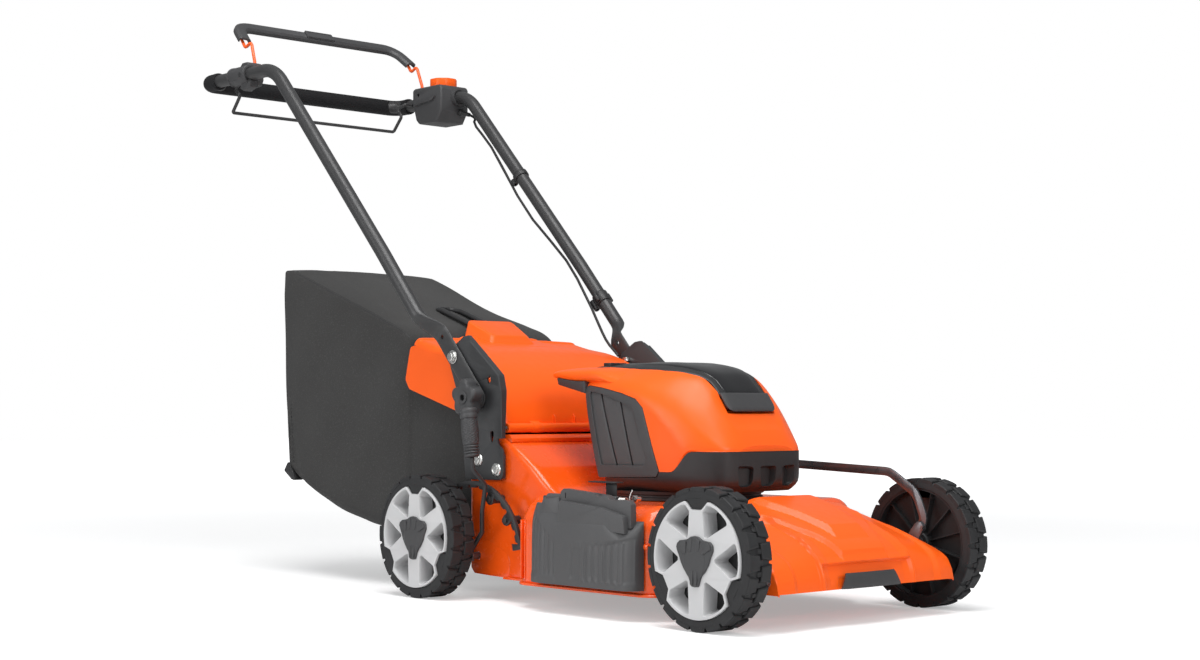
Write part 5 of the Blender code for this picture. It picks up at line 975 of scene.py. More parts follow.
def cover_point(x, turn):
    """Point of the cover's upper skin; turn runs from 0 at the shoulder to 1 in the middle."""
    top = [(y, z) for y, z in head_profile(x, SEAM_Z, 60) if z > 0.353]
    run = [0.0]
    for (y0, z0), (y1, z1) in zip(top, top[1:]):
        run.append(run[-1] + hypot(y1 - y0, z1 - z0))
    want = (1 - turn) * run[-1]
    for i in range(len(top) - 1):
        if run[i + 1] >= want:
            part = (want - run[i]) / max(1e-9, run[i + 1] - run[i])
            return tuple(top[i][n] + (top[i + 1][n] - top[i][n]) * part for n in (0, 1))
    return top[-1]


def corner_trim(distance, radius):
    """How far a rounded corner has drawn in at a distance from the end."""
    t = max(0.0, 1 - distance / radius)
    return radius * (1 - sqrt(max(0.0, 1 - t * t)))


def tail_form():
    """Flat lip behind the hood that runs out forward into its shoulders."""
    rings = []
    for x in [TAIL_REAR_X + 0.091 * (k / 11) ** 1.25 for k in range(12)] + spread(0.27, 0.345, 9):
        t = min(1.0, (x - TAIL_REAR_X) / 0.091)
        half = 0.1232 + 0.0013 * t - corner_trim(x - TAIL_REAR_X, 0.011)
        top = 0.3785 + 0.004 * sin(pi / 2 * min(1.0, t * 1.5))
        low = 0.362 - 0.008 * step(0.0, 0.7, t)
        middle = (top + low) / 2
        deep = (top - low) / 2 * min(1.0, 0.5 + 0.5 * sqrt(min(1.0, (x - TAIL_REAR_X) / 0.006)))
        join = step(0.266, 0.345, x)
        ring = []
        for j in range(48):
            a = 2 * pi * j / 48
            c, d = cos(a), sin(a)
            y = half * copysign(abs(c) ** 0.42, c)
            z = middle + deep * copysign(abs(d) ** 0.62, d)
            z += 0.003 * (1 - (y / half) ** 2) * (1 - 0.7 * t)
            if join:
                if d >= 0:
                    turn = 1 - abs(c) ** 0.42 / 0.865 * 0.75 if d > 0.7071 else 0.25 * d / 0.7071
                    y1, z1 = cover_point(x, turn)
                    y1, z1 = copysign(y1 * 0.99, c), z1 - 0.0014
                else:
                    y1, z1 = y * 0.9, 0.346
                y, z = y + (y1 - y) * join, z + (z1 - z) * join
            ring.append((x, y, z))
        rings.append(ring)
    return loft("tail", rings)


def build_lid_hinge():
    """Fixed strip behind the lid with two low knuckles."""
    rows = []
    for x, fall, half in ((0.233, 0.0058, 0.0765), (0.234, 0.003, 0.0788),
                          (0.236, 0.0012, 0.0802), (0.24, 0.0003, 0.081),
                          (0.248, 0, 0.0812), (0.255, 0, 0.0812), (0.2572, 0.0008, 0.0812),
                          (0.2586, 0.0024, 0.0812), (0.26, 0.0046, 0.0812)):
        rows.append([(x, y, lid_top(y) - fall) for y in spread(-half, half, 24)]
                    + [(x, half, 0.377), (x, -half, 0.377)])
    piece(loft("hinge", rows), "lid_hinge", "black_plastic", "deck", angle=35)
    tabs = [bevelled(block("tab", (0.2385, side * 0.03, 0.384), (0.256, side * 0.066, 0.3902)),
                     0.0009, 2) for side in (-1, 1)]
    piece(merged("tabs", tabs), "lid_tab", "black_plastic", "deck", angle=30)


def build_cover():
    behind = side_plate("behind", [(0.24, 0.353), (0.2535, 0.353), (0.2985, 0.2052),
                                   (0.2985, 0.19), (0.24, 0.19)], -0.2, 0.2)
    cover = cut(head_form("cover", head_seam), behind)
    recess, spare = (floor_plate("recess", both_sides(LID_PLAN, -0.0006), LEDGE_Z, 0.45)
                     for _ in range(2))
    front = side_plate("front", [(0.44, SILL_Z), (0.49, SILL_Z), (0.545, 0.3), (0.545, 0.46),
                                 (0.44, 0.46)], -PANEL_HALF - 0.0005, PANEL_HALF + 0.0005)
    piece(cut(tail_form(), spare), "cover_tail", "orange_plastic", "deck", angle=30)
    cover = cut(cover, recess, front)
    cover = cut(cover, block("bay", (0.2847, -0.0623, 0.25), (0.4303, 0.0623, 0.45)))
    for side in (-1, 1):
        outline = rounded_outline(grown(VENT, 0.0005), 0.004, 3)
        cover = cut(cover, side_plate("vent", outline, side * 0.116, side * 0.15))
    piece(cover, "cover", "orange_plastic", "deck", "motor_cover", angle=22)


def shell_section(wall, shift):
    """A wall of the hood's form, moved across."""
    form = head_form("shell", lambda x: SEAM_Z - 0.02, 0, False)
    inside = head_form("inside", lambda x: SEAM_Z - 0.02 - 0.01, wall, False, 20)
    return shifted(cut(form, inside), 0, shift, 0)


def build_vents():
    outer = rounded_outline(grown(VENT, -0.0003), 0.004, 4)
    inner = rounded_outline(SLATS, [0.003, 0.006, 0.006, 0.01, 0.004, 0.003, 0.003, 0.003], 4)
    for side, label in SIDES:
        reach = side * 0.09, side * 0.15
        frame = common(shell_section(0.005, side * 0.0016),
                       side_plate("plate", outer, *reach, [inner]))
        piece(bevelled(frame, 0.0012, 2, 50), f"vent_frame_{label}", "grey_plastic", "deck",
              f"vent_panel_{label}", angle=30)
        slats = common(shell_section(0.004, -side * 0.0006),
                       side_plate("plate", grown(inner, -0.00015), *reach))
        for top, foot in ((0.2905, 0.3432), (0.3335, 0.3788)):
            groove = [(top - 0.0019, 0.356), (top + 0.0019, 0.356),
                      (foot + 0.0019, 0.215), (foot - 0.0019, 0.215)]
            slats = cut(slats, side_plate("groove", groove, *reach))
        back = side_plate("back", grown(inner, -0.003), side * 0.1164, side * 0.1176)
        piece(merged("slats", [bevelled(slats, 0.0006, 2, 50), back]), f"vent_slats_{label}",
              "slat_plastic", "deck", angle=30, slot="grey_plastic")


def build_lid():
    shares = [0, 0.15, 0.3, 0.45, 0.58, 0.68, 0.755, 0.775, 0.795, 0.815, 0.87, 0.93, 0.975, 1]
    rings = []
    for x in (spread(LID_REAR_X, 0.2722, 6) + spread(0.277, LID_FRONT_X, 38)
              + spread(0.4624, 0.492, 12)):
        wide = eased(LID_PLAN, x)
        if x > LID_FRONT_X:
            wide = min(wide, eased([(LID_FRONT_X, 0.059), (0.472, 0.053)], x))
        narrow = min(eased(LID_FOOT, x), wide - 0.0006)
        end = step(LID_REAR_X, 0.272, x)
        fall = 0.004 * max(0.0, 1 - (x - LID_REAR_X) / 0.0098) ** 2
        half = []
        for share in shares:
            crown = 0.0013 * step(0.795, 0.755, share) * (0.3 + 0.7 * end)
            crown -= 0.0011 * step(0.97, 1.0, share)
            half.append((share * wide, lid_crest(x, share * wide) - fall + crown))
        foot_z = LEDGE_Z + 0.0006 if x < LID_FRONT_X + 0.0002 else 0.3358
        rings.append([(x, -y, z) for y, z in reversed(half[1:])] + [(x, y, z) for y, z in half]
                     + [(x, narrow, foot_z), (x, -narrow, foot_z)])
    lid = cut(loft("lid", rings), block("heel", (0.25, -0.1, 0.2), (0.31, 0.1, 0.354)))
    inner = []
    for x in spread(0.268, 0.4585, 24):
        wide = eased(LID_PLAN, x) - 0.004
        low = eased(LID_FOOT, x) - 0.004
        inner.append([(x, y, head_z(x, y) - 0.0035) for y in spread(-wide, wide, 12)]
                     + [(x, low, 0.25), (x, -low, 0.25)])
    lid = cut(lid, loft("inside", inner))
    lid.data.materials.clear()
    for mat in ("black_plastic", "lid_plastic"):
        lid.data.materials.append(M[mat])
    for face in lid.data.polygons:
        c = face.center
        if abs(c.y) < eased(LID_PLAN, c.x) * 0.795 and face.normal.z > 0.25:
            if c.z > head_z(c.x, c.y) - 0.001:
                face.material_index = 1
    piece(lid, "lid", None, "lid", "battery_lid", angle=25, slot="lid_plastic")
    rows = []
    low, high = 0.3122, 0.3367
    for z in spread(low, high, 20):
        half = PANEL_HALF - corner_trim(z - low, 0.009)
        row = []
        for y in spread(-half, half, 24):
            edge = min(1.0, (1 - abs(y) / half) * half / 0.0025)
            rim = min(edge, (z - low) / 0.0022, (high - z) / 0.0015 + 0.2)
            sink = 0.0016 * (1 - sqrt(min(1.0, max(0.0, rim))))
            row.append((head_front_x(y, z) + 0.0006 - sink, y, z))
        rows.append(row)
    piece(sheet("panel", rows, 0.004), "lid_front", "grey_plastic", "lid", "lid_panel", angle=30)


BASE_PLAN = [(0.297, 0.112), (0.31, 0.126), (0.38, 0.13), (0.42, 0.1275), (0.455, 0.122),
             (0.485, 0.113), (0.508, 0.103), (0.524, 0.093), (0.536, 0.08), (0.542, 0.06),
             (0.5445, 0.03), (0.545, 0.0)]


def base_ring(inset, z):
    right = flat_curve(BASE_PLAN, 56)
    outline = right + [(x, -y) for x, y in reversed(right[:-1])]
    return [(x, y, z) for x, y in (grown(outline, -inset) if inset else outline)]


def build_base():
    base = loft("base", [base_ring(inset, z) for inset, z in (
        (0.02, 0.186), (0.0165, 0.1862), (0.012, 0.189), (0.0055, 0.195), (0.0018, 0.2005),
        (0.0005, 0.206), (0, 0.213), (0, 0.252))])
    top = [(0.1, SEAM_Z - 0.0004)]
    top += [(x, head_seam(x) - 0.0004) for x in spread(0.44, 0.5, 24)]
    top += [(0.7, SEAM_FRONT_Z - 0.0004), (0.7, 0.4), (0.1, 0.4)]
    base = cut(base, side_plate("seam", top, -0.2, 0.2))
    for y, wide in ((-0.048, 0.0165), (0.0, 0.019), (0.048, 0.0165)):
        turn = Matrix.Rotation(y * 5.5, 4, "Z")
        outline = rounded_outline([(-wide, 0), (-wide * 0.8, -0.034), (wide * 0.8, -0.034),
                                   (wide, 0)], [0.005, 0.01, 0.01, 0.005], 5)
        face = 0.545 - 0.0022 * (abs(y) / 0.048) ** 2
        rings = []
        for depth, scale in ((0.004, 1.06), (0, 1), (-0.003, 0.93), (-0.011, 0.8)):
            points = [Vector((depth, a * scale, -0.017 + (b + 0.017) * scale)) for a, b in outline]
            rings.append([tuple(turn @ point + Vector((face, y, 0.2265))) for point in points])
        base = cut(base, loft("slot", rings))
    for side in (-1, 1):
        outline = rounded_outline(grown(VENT, 0.0006), 0.004, 3)
        base = cut(base, side_plate("foot", outline, side * 0.1, side * 0.15))
    piece(base, "base", "black_plastic", "deck", "motor_base", angle=28)
    strip = []
    for k in range(10):
        t = k / 9
        x = 0.177 + 0.078 * t
        half = 0.1222 + 0.0018 * t - corner_trim(x - 0.177, 0.011)
        top = 0.3655 - 0.006 * step(0.0, 0.8, t)
        low = 0.3556 - 0.0165 * t if k else 0.3575
        drop_y = 0.0035 * (1 - 0.7 * t)
        strip.append([(x, y, z + drop_y * (1 - (y / half) ** 2)) for y, z in
                      [(y, top) for y in spread(-half, half, 12)]
                      + [(y * 0.975, low) for y in spread(half, -half, 12)]])
    piece(bevelled(loft("under", strip), 0.0018, 3, 25), "tail_trim", "grey_plastic", "deck",
          angle=40)
    profile = [(0.04, 0.1705), (0.1215, 0.1705), (0.1225, 0.1712), (0.1225, 0.175),
               (0.1195, 0.1762), (0.1195, 0.179), (0.1235, 0.1805), (0.124, 0.1852),
               (0.1225, 0.1857), (0.04, 0.1857), (0.04, 0.1705)]
    plinth = turned("plinth", profile, (BLADE_X, 0, 0), (BLADE_X, 0, 1), 96)
    plinth = cut(plinth, block("rear", (0.2, -0.2, 0.1), (0.2935, 0.2, 0.25)))
    piece(plinth, "plinth", "black_plastic", "deck", "motor_plinth", angle=30)


build_cover()
build_vents()
build_lid()
build_lid_hinge()
build_base()


# Nose cover, deck, bumper pad and side flap

DECK_HALF = 0.235
REAR_AXLE = (0.066, 0.0705)
FRONT_AXLE = (0.725, 0.0705)
NOSE_REAR_X = 0.5465
NOSE_HALF = 0.2
NOSE_CENTRE = [(0.5465, 0.1725), (0.58, 0.1665), (0.61, 0.159), (0.65, 0.147),
               (0.69, 0.131), (0.715, 0.117), (0.733, 0.1), (0.744, 0.076), (0.747, 0.054)]
NOSE_EDGE = [(0.5465, 0.152), (0.587, 0.141), (0.61, 0.132), (0.652, 0.117), (0.69, 0.104),
             (0.715, 0.094), (0.729, 0.086), (0.738, 0.07), (0.741, 0.054)]
NOSE_FALL = [(0.0, 0.0), (0.045, 0.0), (0.07, 0.05), (0.11, 0.22), (0.15, 0.5),
             (0.178, 0.8), (0.192, 1.0), (0.2, 1.12)]


def nose_relief(x, y, z):
    """Raised plateau, the step round it, soft ridges and the low crease in front."""
    y = abs(y)
    out = 0.0
    half = table([(0.545, 0.064), (0.6, 0.059), (0.69, 0.033), (0.75, 0.02)], x)
    side = ramp(half + 0.009, half, y)
    front = ramp(0.7125, 0.6895, x)
    out += 0.008 * min(side, front)
    outer = table([(0.545, 0.137), (0.6, 0.124), (0.65, 0.092), (0.7, 0.062),
                   (0.735, 0.046)], x)
    out += 0.006 * min(ramp(outer + 0.007, outer, y), ramp(0.7385, 0.729, x))
    ridge = table([(0.58, 0.116), (0.64, 0.0995), (0.69, 0.0985), (0.728, 0.1035),
                   (0.75, 0.104)], x)
    rise = ramp(ridge + 0.0035, ridge, y) * ramp(ridge - 0.02, ridge, y)
    out += 0.0046 * rise * ramp(0.59, 0.64, x)
    out += 0.005 * ramp(0.156, 0.166, y) * ramp(0.59, 0.66, x)
    if x > 0.7:
        inside = ramp(0.101, 0.096, y)
        out += 0.003 * ramp(0.089, 0.0905, z) * ramp(0.1, 0.092, z) * inside
        out -= 0.0028 * ramp(0.0905, 0.0885, z) * inside
        out -= 0.0016 * ramp(0.0725, 0.0705, z) * ramp(0.067, 0.064, y)
    return out * ramp(0.546, 0.575, x)


def table(pairs, value):
    """Straight lines through pairs of place and value."""
    if value <= pairs[0][0]:
        return pairs[0][1]
    for (x0, v0), (x1, v1) in zip(pairs, pairs[1:]):
        if value <= x1:
            return v0 + (v1 - v0) * (value - x0) / (x1 - x0)
    return pairs[-1][1]


def nose_surface(t, y):
    """Point of the nose at t along its middle line (0 rear, 1 lip) and y across."""
    line = NOSE_LINE
    place = t * (len(line) - 1)
    i = min(int(place), len(line) - 2)
    here = line[i].lerp(line[i + 1], place - i)
    ahead = (line[min(i + 2, len(line) - 1)] - line[max(i - 1, 0)]).normalized()
    normal = Vector((-ahead.z, 0, ahead.x))
    if normal.z < 0:
        normal = -normal
    x, centre = here.x, here.z
    edge_x = x - 0.006 * ((x - NOSE_REAR_X) / (NOSE_CENTRE[-1][0] - NOSE_REAR_X))
    edge = min(eased(NOSE_EDGE, edge_x), centre - 0.0004)
    z = centre - eased(NOSE_FALL, abs(y)) * (centre - edge)
    px = edge_x + (x - edge_x) * max(0.0, 1 - abs(y) / NOSE_HALF) ** 0.5
    return Vector((px, y, z)) + normal * nose_relief(px, y, z)


NOSE_LINE = curve_through([(x, 0, z) for x, z in NOSE_CENTRE], 240)


def nose_hem(x):
    return max(0.0515, eased([(0.5465, 0.11), (0.6, 0.072), (0.66, 0.054), (0.74, 0.0525)], x))


def build_nose():
    rows = []
    for t in [0, 0.008] + [0.02 + 0.98 * k / 150 for k in range(151)]:
        row = [nose_surface(t, y) for y in spread(-NOSE_HALF + 0.0035, NOSE_HALF - 0.0035, 210)]
        for point, side in ((row[0], -1), (row[-1], 1)):
            hem = min(nose_hem(point.x), point.z - 0.003)
            skirt = [(point.x - 0.0005, side * (NOSE_HALF - inset),
                      hem + (point.z - hem) * (1 - share))
                     for inset, share in ((0, 1), (0, 0.5), (0, 0.12), (0.0011, 0.035))]
            row = skirt + row if side < 0 else row + skirt[::-1]
        rows.append(row)
    nose = sheet("nose", rows, 0.0028)
    for side in (-1, 1):
        nose = cut(nose, across("hole", *FRONT_AXLE, 0.0072, side * 0.18, side * 0.22, 32))
    piece(nose, "nose", "orange_plastic", "deck", "nose_cover", angle=16)
    rows = []
    for k in range(9):
        z = 0.0545 + 0.0205 * k / 8
        half = 0.0665 - 0.0125 * (k / 8)
        trim = 0.0006 if k in (0, 8) else 0
        lean = eased([(0.054, 0.7503), (0.062, 0.7497), (0.072, 0.748), (0.076, 0.7465)], z)
        row = []
        for y in spread(-half, half, 24):
            edge = min(1.0, (1 - abs(y) / half) * half / 0.002)
            row.append((lean - 0.0016 * (y / 0.066) ** 2 - 0.0012 * (1 - edge) - trim, y, z))
        rows.append(row)
    piece(sheet("pad", rows, 0.003), "bumper", "grey_plastic", "deck", "bumper_pad", angle=35)


def deck_plan():
    right = [(0.588, 0.0), (0.588, 0.085), (0.572, 0.14), (0.548, 0.192), (0.534, 0.206),
             (0.522, 0.227), (0.508, DECK_HALF), (0.239, DECK_HALF), (0.223, 0.227), (0.209, 0.2),
             (0.193, 0.192), (0.145, 0.192), (0.145, 0.0)]
    radii = [0, 0.05, 0.05, 0.012, 0.012, 0.016, 0.022, 0.022, 0.016, 0.016, 0.02, 0, 0]
    back = [(x, -y, r) for (x, y), r in zip(reversed(right), reversed(radii))
            if y > 0 or x == 0.145]
    return rounded_outline(right[:-1] + [(x, y) for x, y, _ in back],
                           radii[:-1] + [r for _, _, r in back], 4)


def pressed(obj, voxel, rounds):
    """Rounds every edge and inner corner, as a deep-drawn sheet has them."""
    modified(obj, "REMESH", mode="VOXEL", voxel_size=voxel, adaptivity=0)
    modified(obj, "SMOOTH", factor=0.5, iterations=rounds)
    return settle(obj, 0.000001)


def tunnel_solid(half):
    line = [(0.128, 0.268), (0.158, 0.253), (0.205, 0.222), (0.245, 0.19), (0.285, 0.171),
            (0.33, 0.163)]
    profile = [(0.04, 0.268), *flat_curve(line, 24), (0.33, 0.12), (0.157, 0.06),
               (0.04, 0.108)]
    return bevelled(side_plate("tunnel", profile, -half, half), 0.014, 4, 40)


def deck_ring(inset, z, low=False):
    """The deck's plan drawn in at a height; above its foot the front also falls."""
    ring = []
    for x, y in deck_plan():
        ahead = eased([(0.5, 0.0), (0.588, inset)], x)
        fall = 0 if low else eased([(0.52, 0.0), (0.588, 0.03)], x)
        ring.append((x - ahead, y * (1 - inset / DECK_HALF), z - fall))
    return ring


def deck_pan():
    rings = [[(x, y, 0.037) for x, y in deck_plan()]]
    rings += [deck_ring(inset, z) for inset, z in (
        (0, 0.06), (0, 0.1085), (0, 0.14), (0.0025, 0.1465), (0.012, 0.16),
        (0.023, 0.1672), (0.036, 0.17))]
    return loft("pan", rings)


def deck_marks():
    """Pressed beads: the crease along each side and the joint at its rear corner."""
    tools = []
    for side in (-1, 1):
        for x0, x1, z0, z1, y, out, edge in (
                (0.262, 0.52, 0.1105 - 0.004, 0.1105 + 0.004, 0.2349, 0.0022, 0.002),
                (0.229 - 0.0014, 0.229 + 0.0014, 0.046, 0.139, 0.232, 0.0038, 0.001),
                (0.2385 - 0.0014, 0.2385 + 0.0014, 0.046, 0.139, 0.232, 0.0038, 0.001)):
            bead = block("bead", (x0, side * y - out, z0), (x1, side * y + out, z1))
            tools.append(bevelled(bead, edge, 2))
    return tools


def axle_bore(spot):
    return across("bore", *spot, 0.0066, -0.25, 0.25, 32)


def build_deck():
    body = pressed(merged("deck", [deck_pan(), tunnel_solid(0.1914)]), 0.0032, 9)
    inner = loft("hollow", [deck_ring(0.004, 0.02, True), deck_ring(0.004, 0.138),
                            deck_ring(0.016, 0.153)])
    duct = side_plate("duct", [(0.01, 0.264), (0.128, 0.264), (0.158, 0.249), (0.205, 0.218),
                               (0.245, 0.186), (0.285, 0.167), (0.33, 0.158), (0.33, 0.11),
                               (0.1606, 0.0625), (0.01, 0.1243)], -0.187, 0.187)
    body = cut(body, join(inner, duct))
    body = cut(body, block("mouth", (0.3, -0.255, 0.066), (0.482, -0.22, 0.134)))
    body = cut(body, rod("shaft", (BLADE_X, 0, 0.1), (BLADE_X, 0, 0.2), 0.015, 32))
    body = cut(body, axle_bore(REAR_AXLE))
    piece(body, "deck_body", "orange_paint", "deck", "deck_shell", angle=40)
    rail = side_plate("rail", rounded_outline([(0.112, 0.266), (0.14, 0.261), (0.148, 0.259),
                                               (0.148, 0.266), (0.14, 0.2722), (0.112, 0.2722)],
                                              0.0015, 3), -0.186, 0.186)
    piece(bevelled(rail, 0.0008, 2, 50), "deck_hinge_rail", "orange_paint", "deck", angle=40)
    flange = [[(x, y, z) for x, y in grown(deck_plan(), -inset)] for inset, z in (
        (0.0022, 0.0362), (-0.0054, 0.0362), (-0.006, 0.0368), (-0.006, 0.0392),
        (-0.0054, 0.04), (-0.001, 0.0404), (0.0022, 0.0404))]
    rim = loft("rim", flange + [flange[0]], False)
    tidy(rim.data)
    piece(rim, "deck_flange", "orange_paint", "deck", "deck_shell", angle=30)
    for index, tool in enumerate(deck_marks()):
        piece(tool, f"deck_bead_{index}", "orange_paint", "deck", "deck_shell", angle=40)
    skirt = [(0.0471, 0.115), (0.0471, 0.05), (0.056, 0.0408), (0.1, 0.039), (0.186, 0.0374),
             (0.186, 0.115)]
    for side, label in SIDES:
        wall = side_plate("skirt", rounded_outline(skirt, 0.004, 3), side * 0.191, side * 0.1885)
        wall = cut(bevelled(wall, 0.0006), axle_bore(REAR_AXLE))
        piece(wall, f"deck_cheek_{label}", "orange_paint", "deck", "deck_shell", angle=40)
    lug_line = [(0.561, 0.056), *arc(FRONT_AXLE, 0.0105, -80, 60, 8), (0.7, 0.112),
                (0.65, 0.126), (0.61, 0.138), (0.561, 0.15)]
    for y, label in ((-0.16, "right"), (0.156, "left")):
        rib = cut(side_plate("rib", lug_line, y, y + 0.004),
                  axle_bore(FRONT_AXLE))
        piece(rib, f"deck_rib_{label}", "orange_paint", "deck", "deck_shell", angle=40)


FLAP_FOOT_Z = 0.046
FLAP_INNER_Y = -0.2359
FLAP_REAR_X = 0.27
FLAP_FRONT_X = 0.512
FLAP_INSET = [(0.27, 0.018), (0.273, 0.0145), (0.284, 0.006), (0.31, 0.0), (0.48, 0.0),
              (0.492, 0.0012), (0.501, 0.0048), (0.507, 0.01), (0.5105, 0.0165), (0.512, 0.024)]


def flap_relief(x, z):
    """Two ribbed panels and the lip along the flap's lower edge."""
    out = 0.0
    top = 0.146 - 0.68 * (x - 0.2946)
    edge = step(0.274, 0.277, x) * step(0.3425, 0.34, x) * step(top, top - 0.003, z)
    edge *= step(0.0615, 0.064, z)
    if edge > 0:
        wave = 0.5 + 0.5 * cos(2 * pi * (x - 0.275) / 0.0105)
        out += edge * (-0.0004 - 0.0011 * step(0.45, 0.95, wave))
    top = eased([(0.379, 0.0985), (0.384, 0.106), (0.394, 0.11), (0.452, 0.114),
                 (0.512, 0.125)], x)
    edge = step(0.3785, 0.381, x) * step(top + 0.001, top - 0.002, z) * step(0.056, 0.059, z)
    edge *= step(0.5095, 0.5065, x)
    if edge > 0:
        out -= 0.0018 * edge
        inner = step(0.396, 0.3975, x) * step(0.5, 0.4985, x) * step(top - 0.003, top - 0.0055, z)
        wave = 0.5 + 0.5 * cos(2 * pi * (x - 0.3985) / 0.014)
        out += 0.0014 * inner * step(0.15, 0.6, 1 - wave) - 0.0002
    out += 0.001 * step(0.0585, 0.0565, z) * step(0.345, 0.342, x)
    return out


def flap_section(x, wall=0):
    out = 0.03 - eased(FLAP_INSET, x) - wall
    top = 0.168 - eased([(0.452, 0.0), (0.482, 0.02)], x) - wall
    bottom = FLAP_FOOT_Z
    line = [(FLAP_INNER_Y, top), (-DECK_HALF - 0.35 * out, top - 0.0055),
            (-DECK_HALF - 0.8 * out, top - 0.022), (-DECK_HALF - 0.95 * out, top - 0.045),
            (-DECK_HALF - out, bottom + 0.01), (-DECK_HALF - out, bottom)]
    return flat_curve(line, 64)


def build_flap():
    rings = [[(x, y - flap_relief(x, z) * step(-0.245, -0.255, y), z)
              for y, z in flap_section(x)] + [(x, FLAP_INNER_Y, FLAP_FOOT_Z)]
             for x in spread(FLAP_REAR_X, FLAP_FRONT_X, 150)]
    inside = []
    for x in (0.2725, 0.284, 0.31, 0.472, 0.496, 0.5095):
        low = flap_section(x, 0.0045)[::8]
        inside.append([(x, y + (0 if i else 0.012), z) for i, (y, z) in enumerate(low)]
                      + [(x, low[-1][0], 0.03), (x, -0.22, 0.03)])
    flap = cut(loft("flap", rings), loft("inside", inside))
    piece(flap, "flap", "flap_plastic", "flap", "side_flap", angle=30, slot="grey_plastic")
    crest = rounded_outline([(0.336, 0.14), (0.3425, 0.187), (0.35, 0.1925), (0.448, 0.185),
                             (0.452, 0.179), (0.46, 0.1785), (0.494, 0.1795),
                             (0.5, 0.173), (0.501, 0.138)],
                            [0, 0.003, 0.004, 0.003, 0.002, 0.002, 0.003, 0.003, 0], 3)
    ledge = rounded_outline([(0.345, 0.14), (0.349, 0.1745), (0.44, 0.167), (0.492, 0.156),
                             (0.496, 0.13)], [0, 0.004, 0.003, 0.004, 0], 3)
    shelf = rounded_outline([(0.296, 0.148), (0.303, 0.174), (0.334, 0.1785), (0.3415, 0.1785),
                             (0.3415, 0.148)], [0, 0.004, 0.003, 0.001, 0], 3)
    parts = [bevelled(side_plate("plate", outline, low, high), width, 3, 30)
             for outline, low, high, width in ((crest, -0.2515, -0.2405, 0.0016),
                                               (ledge, -0.261, -0.25, 0.0022),
                                               (shelf, -0.254, -0.2412, 0.0016))]
    parts[0] = cut(parts[0], across("notch", 0.43, 0.1905, 0.0085, -0.262, -0.2445, 28),
                   block("hole", (0.353, -0.253, 0.1775), (0.3555, -0.25, 0.186)))
    for x in (0.306, 0.432):
        parts.append(turned("knuckle", sleeve(0.0037, 0.007, -0.016, 0.016, 0.0006, 0.0007),
                            (x, -0.229, 0.176), (x + 1, -0.229, 0.176), 40))
        parts.append(bevelled(block("neck", (x - 0.016, -0.242, 0.156),
                                    (x + 0.016, -0.2332, 0.176)), 0.0008, 2))
    piece(merged("flap_top", parts), "flap_top", "flap_plastic", "flap", "side_flap", angle=35,
          slot="grey_plastic")
    clip = rounded_outline([(0.368, -0.2185), (0.43, -0.2185), (0.432, -0.2),
                            (0.366, -0.2)], 0.003, 3)
    bracket = bevelled(floor_plate("clip", clip, 0.2015, 0.2035), 0.0005, 2)
    foot = bevelled(block("foot", (0.399, -0.2085, 0.1675), (0.423, -0.2065, 0.202)), 0.0005, 2)
    piece(merged("flap_bracket", [bracket, foot]), "flap_bracket", "black_plastic", "deck",
          angle=35)
    coil = [(0.453 + 0.015 * k / 96, -0.229 + 0.0052 * cos(2 * pi * k / 16),
             0.176 + 0.0052 * sin(2 * pi * k / 16)) for k in range(97)]
    coil += [(0.469, -0.224, 0.183), (0.469, -0.219, 0.193)]
    piece(tube("spring", coil, 0.0009, 3), "flap_spring", "zinc_plated_steel", "deck", angle=60)
    head = [(0, 0), (0.0055, 0), (0.0062, 0.0006), (0.0062, 0.0042), (0.0048, 0.0052), (0, 0.0052)]
    bolt = turned("bolt", head, (0.464, -0.206, 0.179), (0.464, -0.236, 0.179), 6)
    shank = rod("shank", (0.464, -0.198, 0.179), (0.464, -0.21, 0.179), 0.003, 24)
    piece(merged("flap_bolt", [bolt, shank]), "flap_bolt", "zinc_plated_steel", "deck", angle=35)


build_nose()
build_deck()
build_flap()


# Rear door and fabric bag

DOOR_HALF = 0.187
DOOR_HINGE = (0.131, 0.283)
DOOR_LINE = [(0.127, 0.279), (0.122, 0.306), (0.106, 0.342), (0.078, 0.374), (0.04, 0.398),
             (-0.01, 0.414), (-0.066, 0.424), (-0.116, 0.436)]
WING = [(-0.134, 0.434), (-0.144, 0.366), (-0.133, 0.349), (-0.01, 0.314),
        (0.04, 0.3), (0.092, 0.285), (0.118, 0.279)]


def door_relief(x, y):
    """A raised middle field that widens towards the hinge, and a lip at the rear."""
    half = eased([(-0.12, 0.083), (-0.06, 0.098), (0.000, 0.12), (0.04, 0.15)], x)
    out = 0.003 * step(half + 0.005, half - 0.001, abs(y)) * step(0.05, 0.0, x)
    out += 0.0022 * step(-0.108, -0.112, x)
    out -= 0.0016 * exp(-((x + 0.044) / 0.005) ** 2) * step(0.07, 0.064, abs(y))
    return out


